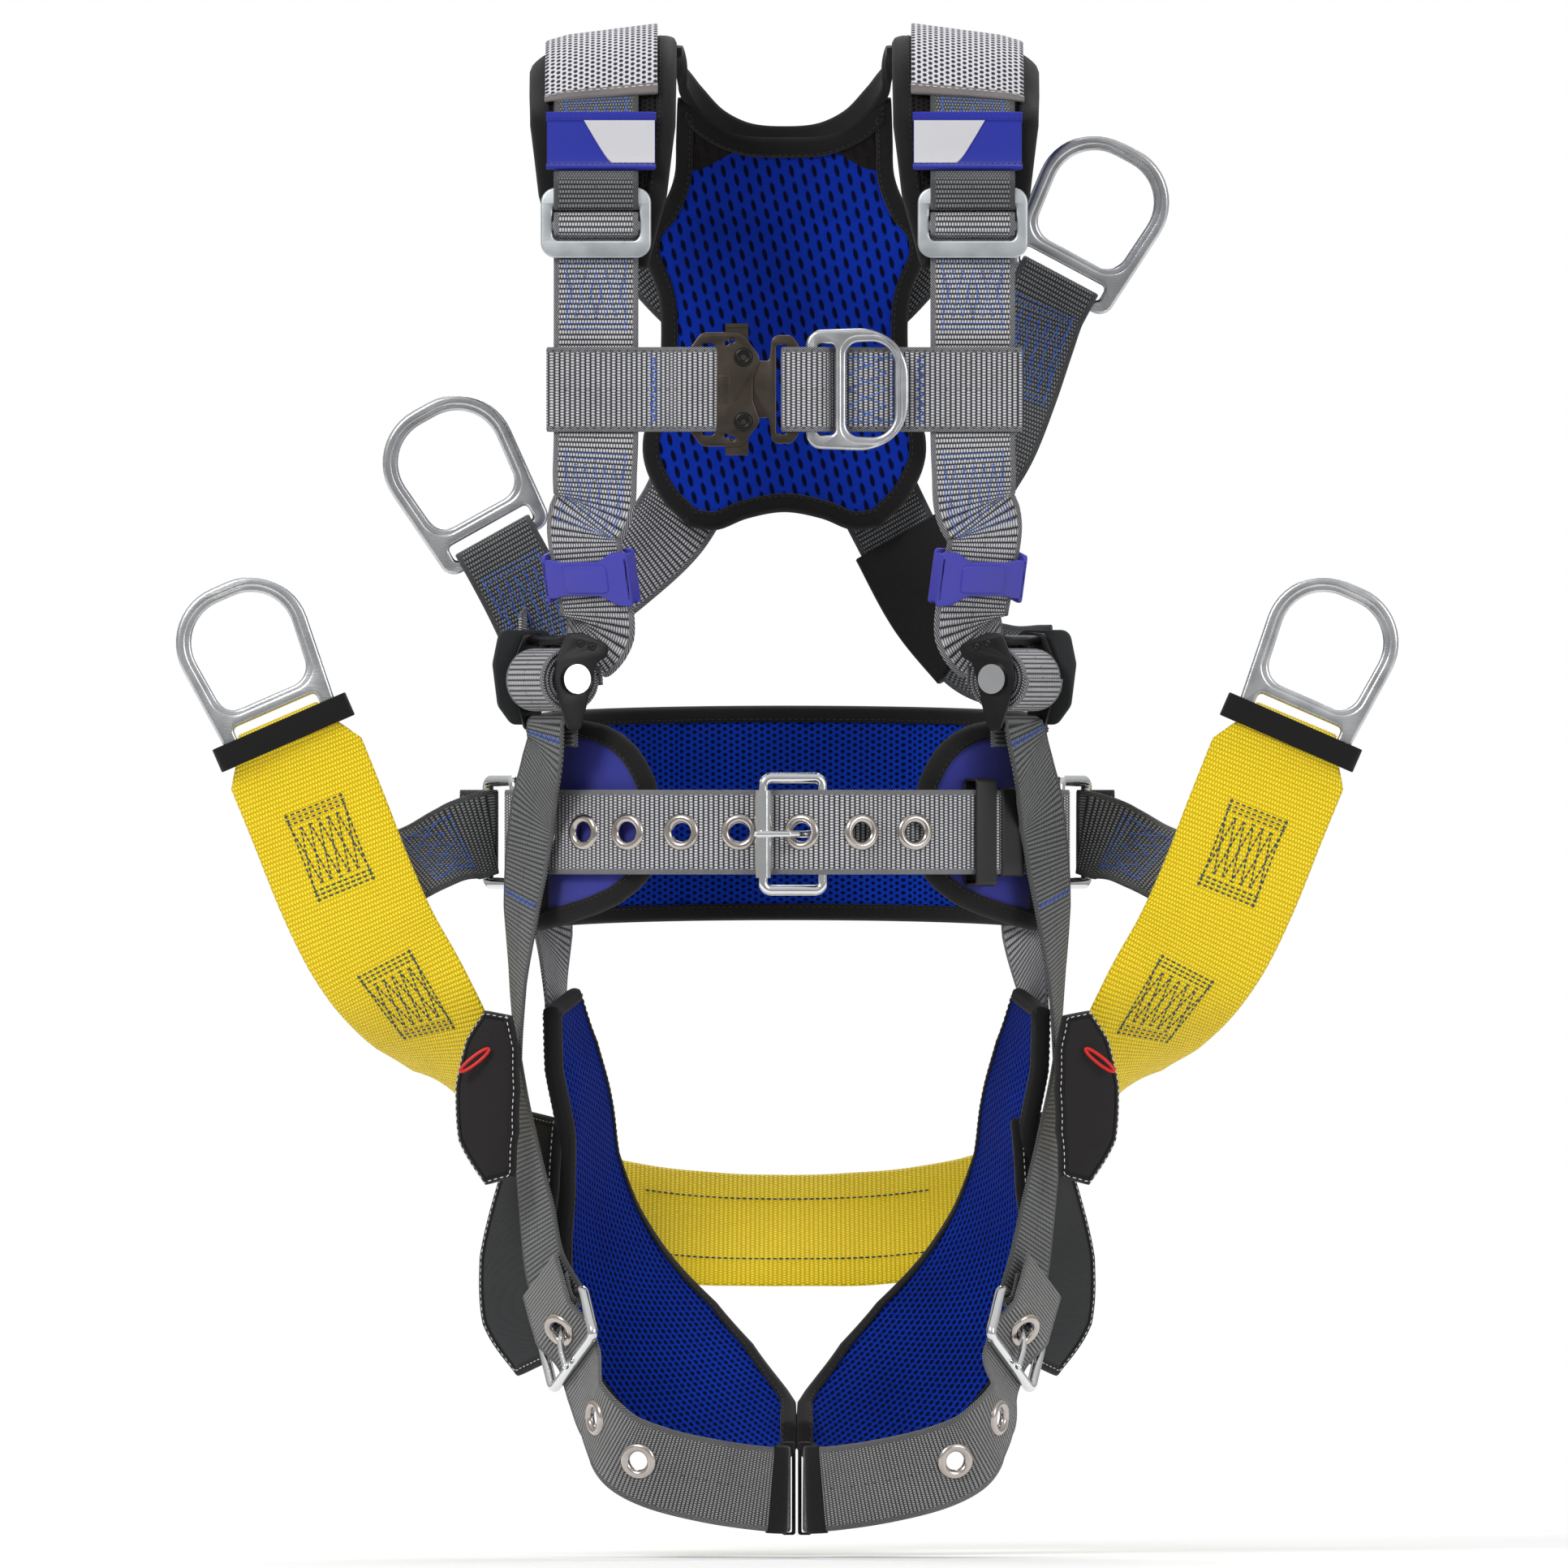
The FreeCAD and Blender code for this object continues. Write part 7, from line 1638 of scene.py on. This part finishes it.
def sling():
    arm = stations(1, SLING)
    left = stations(-1, SLING)
    route = sling_end(-1)[::-1] + left + arm[-2::-1] + sling_end(1)
    ends = len(sling_end(1))
    widths = [46.0] * ends + [74.0] * (len(route) - 2 * ends) + [46.0] * ends
    strap = Strap(route, widths, 2.4, 3.0, 0.35)
    settle(strap.mesh("sling_yellow_webbing", YELLOW_WEB), stands_for=["sling_webbing"])
    rows = []
    for side in (-1, 1):
        crossings = sorted((strap.find(2, 12.0, k) for k in (0, 1)), key=lambda a: abs(a - (0 if side < 0 else strap.along[-1])))
        upper = crossings[0]
        way = 1 if side < 0 else -1
        for start in (upper, upper + way * 92):
            rows += stitch_box(min(start, start + way * 47), max(start, start + way * 47), 15.5, 3, 3, 2.4)
    middle = strap.along[-1] / 2
    seat = [[(across, middle - 75), (across, middle + 75)] for across in (-20, 20)]
    sew("sling_stitches", lines_on(strap, rows), GREEN_THREAD, 3.2, 2.5, 1.0)
    sew("seat_stitches", lines_on(strap, seat, -2.6), GREEN_THREAD, 3.2, 2.5, 1.0)
    for name, side in SIDES:
        place = sling_bar_place(side)
        up = place.to_3x3() @ Vector((0, 1, 0))
        loop = rounded([(-38.2, -9.3, 5), (38.2, -9.3, 5), (38.2, 9.3, 5), (-38.2, 9.3, 5)])
        inner = rounded([(-36.9, -8.0, 4), (36.9, -8.0, 4), (36.9, 8.0, 4), (-36.9, 8.0, 4)])
        layer = place @ Matrix.Translation((0, -0.5, 0)) @ place_at((0, 0, 0), (1, 0, 0), (0, 0, 1))
        binding = plate(f"sling_binding_{name}", [loop, inner], 13.0, 0.6, layer, TAPE)
        settle(binding, stands_for=["sling_bindings"])


# ---------------------------------------------------------------- thigh loops

LEG_PAD = [
    (124, 0, -88, -0.97, -0.25, 0),
    (119, 5, -118, -0.93, -0.37, 0.03),
    (112, 14, -150, -0.93, -0.37, 0.05),
    (110, 24, -180, -0.9, -0.42, 0.08),
    (105, 34, -212, -0.78, -0.6, 0.15),
    (93, 40, -245, -0.5, -0.8, 0.3),
    (75, 40, -272, -0.2, -0.88, 0.42),
    (53, 32, -296, 0.05, -0.88, 0.45),
    (27, 16, -318, 0.3, -0.8, 0.5),
    (7, -4, -332, 0.55, -0.7, 0.4),
]
LEG_PAD_WIDTHS = [50, 60, 66, 70, 76, 82, 86, 80, 64, 46]
# The short webbings that hang each thigh loop's back from the waist pad.
RISER_TOP = [(125.6, 43.8, -22, 0.838, 0.545, 0), (125.6, 43.8, -50, 0.838, 0.545, 0)]
RISER_LOW = [(126.9, 17, -94, 0.97, 0.25, 0), (122.4, 18, -118, 0.93, 0.37, 0)]
LEG_FRONT = [
    (108, -75, -303, 0.82, -0.5, -0.25),
    (102, -85, -314, 0.72, -0.64, -0.25),
    (91, -93, -326, 0.55, -0.8, -0.15),
    (74, -97, -334, 0.35, -0.92, -0.1),
    (46, -93, -341, 0.12, -0.98, -0.08),
    (20, -82, -345, 0.05, -1, -0.05),
    (7, -72, -346, -0.35, -0.93, 0),
    (4.3, -60, -346, -1, -0.1, 0),
    (4.3, -44, -345, -1, 0, 0),
]
LEG_HOLES = (3, 8, 10)


def leg_pads():
    for name, side in SIDES:
        route = stations(side, LEG_PAD, LEG_SHIFT)
        points, normals, flat = strip_grid(route, LEG_PAD_WIDTHS, 19)
        limit = LEG_SHIFT + side * 1.4
        points[..., 0] = np.maximum(points[..., 0], limit) if side > 0 else np.minimum(points[..., 0], limit)
        pad = Pad(f"leg_cushion_{name}", points, normals, 9.6, flat, tape=5.5)
        piece = pad.piece(LEG_AIR, NEOPRENE, pressure=3.5, cap=2.2)
        settle(piece, stands_for=[f"leg_pad_{name}"])
        pad.tape(f"leg_tape_{name}", TAPE, BLACK_THREAD)


def leg_strap_route(side):
    place = leg_buckle_place(side)
    sign = 1 if (place.to_3x3() @ Vector((0, 0, 1))).x * side > 0 else -1
    out = place.to_3x3() @ Vector((0, 0, sign))
    over = 2.75 + 0.5 + 1.8 * 1.5 + 0.6
    under = 2.75 + 0.5 + 0.9
    rows = [(-24, over + 1.2), (-10, over + 0.6), (0, over), (6, 6.0), (16, -1.5), (22, -3.9), (30, -under), (38, -under - 0.4)]
    return [(place @ Vector((x, 0, sign * z)), out) for x, z in rows] + stations(side, LEG_FRONT, LEG_SHIFT)


def leg_straps():
    spots = []
    for name, side in SIDES:
        route = leg_strap_route(side)
        strap = Strap(route)
        piece = strap.mesh(f"leg_webbing_{name}", SATIN_WEB)
        share = smoothed(route)[2]
        places = []
        for index in LEG_HOLES:
            near = int(np.argmin(np.abs(share - index - 0.5)))
            places.append((Vector(strap.line[near]), Vector(strap.out[near])))
        punched(piece, places, 5.95)
        settle(piece, stands_for=[f"leg_strap_{name}"])
        spots += places
        end = strap.along[-1]
        cuff = Strap([band_station(strap, end - back) for back in (38, 34, 30, 26)], 46.4, 3.2, 1.5, 0.0)
        settle(cuff.mesh(f"leg_strap_cuff_{name}", TAPE))
        sew(f"leg_ticks_{name}", ticks(strap, strap.find(2, -335.0), strap.along[-1] - 24), BLACK_THREAD, 1.7, 1.7, 0.5)
        dress(f"leg_buckle_tongue_{name}", CHROME)
    settle(set_grommets("leg_eyelets", spots, NICKEL), stands_for=["leg_grommets"])
    dress("leg_buckle_frames", CHROME)
    for name, side in SIDES:
        place = place_at((side * 4.3 + LEG_SHIFT, -52, -345.5), (1, 0, 0), (0, 0, 1))
        loop = rounded([(-3.7, -5, 1.5), (3.7, -5, 1.5), (3.7, 5, 1.5), (-3.7, 5, 1.5)])
        hollow = rounded([(-3.7, -24.5, 1.6), (3.7, -24.5, 1.6), (3.7, 24.5, 1.6), (-3.7, 24.5, 1.6)])
        bore = rounded([(-1.7, -23.2, 0.8), (1.7, -23.2, 0.8), (1.7, 23.2, 0.8), (-1.7, 23.2, 0.8)])
        sleeve = plate(f"crotch_sleeve_{name}", [hollow, bore], 10.0, 0.5, place, PACK_CLOTH)
        settle(sleeve, stands_for=["crotch_sleeves"])


def thigh_risers():
    for name, side in SIDES:
        strap = Strap(stations(side, RISER_TOP) + stations(side, RISER_LOW, LEG_SHIFT))
        settle(strap.mesh(f"thigh_riser_{name}", LIGHT_WEB), stands_for=["side_straps"])
        rows = stitch_box(strap.along[-1] - 40, strap.along[-1] - 8, 15.0, 2)
        sew(f"thigh_riser_stitches_{name}", lines_on(strap, rows), BLUE_THREAD)


THIGH_WING = [
    (128, 2, -150, 0.85, -0.5, 0),
    (136, 2, -185, 0.8, -0.6, 0),
    (143, 1, -225, 0.75, -0.66, 0),
    (143, -2, -255, 0.75, -0.66, 0),
    (133, -4, -282, 0.75, -0.6, -0.2),
]


def thigh_wings():
    """The neoprene outside of each thigh loop, behind its side strap."""
    for name, side in SIDES:
        points, normals, flat = strip_grid(stations(side, THIGH_WING), [34.0, 48.0, 54.0, 50.0, 30.0], 17)
        wing = Pad(f"thigh_wing_{name}", points, normals, 6.0, flat, tape=4.0, edge=1.5)
        piece = wing.piece(NEOPRENE, NEOPRENE, cap=1.2)
        settle(piece)
        wing.tape(f"thigh_wing_tape_{name}", TAPE, WHITE_THREAD, 0.5)


POUCH = [
    (152, -45, -96, 0.3, -0.95, 0),
    (155, -45, -112, 0.3, -0.95, 0),
    (157.5, -45, -135, 0.3, -0.95, 0),
    (157, -45, -160, 0.3, -0.95, 0),
    (151, -45, -183, 0.3, -0.95, 0),
]


def hip_pouches():
    """A stuffed pouch on each hip with a taped seam and a red pull."""
    for name, side in SIDES:
        points, normals, flat = strip_grid(stations(side, POUCH), [14.0, 28.0, 34.0, 32.0, 16.0], 17, 2.5)
        pouch = Pad(f"hip_pouch_{name}", points, normals, 15.0, flat, shoulder=15.0, tape=2.6, edge=2.0)
        piece = pouch.piece(PACK_CLOTH, PACK_CLOTH, pressure=4.0, cap=2.0)
        settle(piece, stands_for=["hip_pouches"])
        pouch.tape(f"hip_pouch_tape_{name}", TAPE, WHITE_THREAD, 0.5)
        loop = []
        for i in range(24):
            angle = 2 * math.pi * i / 24
            x, z = 9.5 * math.cos(angle), 1.9 * math.sin(angle)
            loop.append((side * (164.5 + 0.78 * x + 0.62 * z), -55.5, -120 - 0.62 * x + 0.78 * z))
        settle(tube(f"pouch_pull_{name}", loop, 0.9, RED_PLASTIC, looped=True))


# ---------------------------------------------------------------- studio


def studio():
    """Soft light from above and both sides, a pale floor, and a white backdrop."""
    lo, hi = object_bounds()
    floor = skin("floor", [(-4000, -900, 0), (4000, -900, 0), (4000, 900, 0), (-4000, 900, 0)], [(0, 1, 2, 3)], [floor_finish()], close=False)
    floor.data.transform(Matrix.Translation((0, 0, lo.z - 0.012)))
    floor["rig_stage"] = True
    world = bpy.data.worlds.new("studio")
    world.use_nodes = True
    nodes, links = world.node_tree.nodes, world.node_tree.links
    split = nodes.new("ShaderNodeSeparateXYZ")
    links.new(nodes.new("ShaderNodeTexCoord").outputs["Generated"], split.inputs[0])
    height = nodes.new("ShaderNodeMapRange")
    height.inputs["From Min"].default_value, height.inputs["From Max"].default_value = -0.7, 0.8
    height.inputs["To Min"].default_value, height.inputs["To Max"].default_value = 0.1, 0.72
    links.new(split.outputs["Z"], height.inputs["Value"])
    backdrop = nodes.new("ShaderNodeMapRange")
    backdrop.inputs["From Min"].default_value, backdrop.inputs["From Max"].default_value = 0.75, 0.95
    backdrop.inputs["To Min"].default_value, backdrop.inputs["To Max"].default_value = 0.0, 1.0
    links.new(split.outputs["Y"], backdrop.inputs["Value"])
    both = nodes.new("ShaderNodeMath")
    both.operation = "MAXIMUM"
    links.new(height.outputs[0], both.inputs[0])
    links.new(backdrop.outputs[0], both.inputs[1])
    links.new(both.outputs[0], nodes["Background"].inputs["Color"])
    bpy.context.scene.world = world
    lamps = (("key", (-1.7, -2.6, 1.9), 1.3, 62), ("fill", (2.1, -2.2, 0.8), 1.6, 22), ("rim", (0.3, 1.9, 2.2), 1.6, 30))
    for name, spot, size, watts in lamps:
        lamp = bpy.data.lights.new(name, "AREA")
        lamp.shape = "DISK"
        lamp.size = size
        lamp.energy = watts
        holder = bpy.data.objects.new(name, lamp)
        holder.location = spot
        holder.rotation_euler = (-Vector(spot)).to_track_quat("-Z", "Y").to_euler()
        bpy.context.scene.collection.objects.link(holder)
    lens = bpy.data.cameras.new("camera")
    lens.sensor_width = 36.0
    lens.lens = 1200.0
    lens.clip_end = 200.0
    camera = bpy.data.objects.new("camera", lens)
    middle_x, middle_z, half_wide = -0.0017, 0.0253, 0.4135
    camera.location = (middle_x, -half_wide * lens.lens / (lens.sensor_width / 2), middle_z)
    camera.rotation_euler = (math.radians(90), 0, 0)
    bpy.context.scene.collection.objects.link(camera)
    bpy.context.scene.camera = camera
    bpy.context.scene.view_settings.view_transform = "Standard"


def floor_finish():
    f = Finish("pale_floor", Specular_IOR_Level=0.1)
    f.colour(f.mix(f.noise(0.6), (0.93, 0.93, 0.93, 1), (0.96, 0.96, 0.96, 1)))
    f.rough(0.9)
    return f


shoulder_pads()
shoulder_straps()
shoulder_covers()
slope_shoulders()
identity_bands()
shoulder_hardware()
back_pad()
neckline()
front_straps()
lanyard_keepers()
torso_adjusters()
chest_straps()
chest_buckle()
rings()
waist_pad()
belt()
side_straps()
back_straps()
dorsal_plate()
hip_links()
sling()
leg_pads()
leg_straps()
thigh_risers()
thigh_wings()
hip_pouches()
studio()
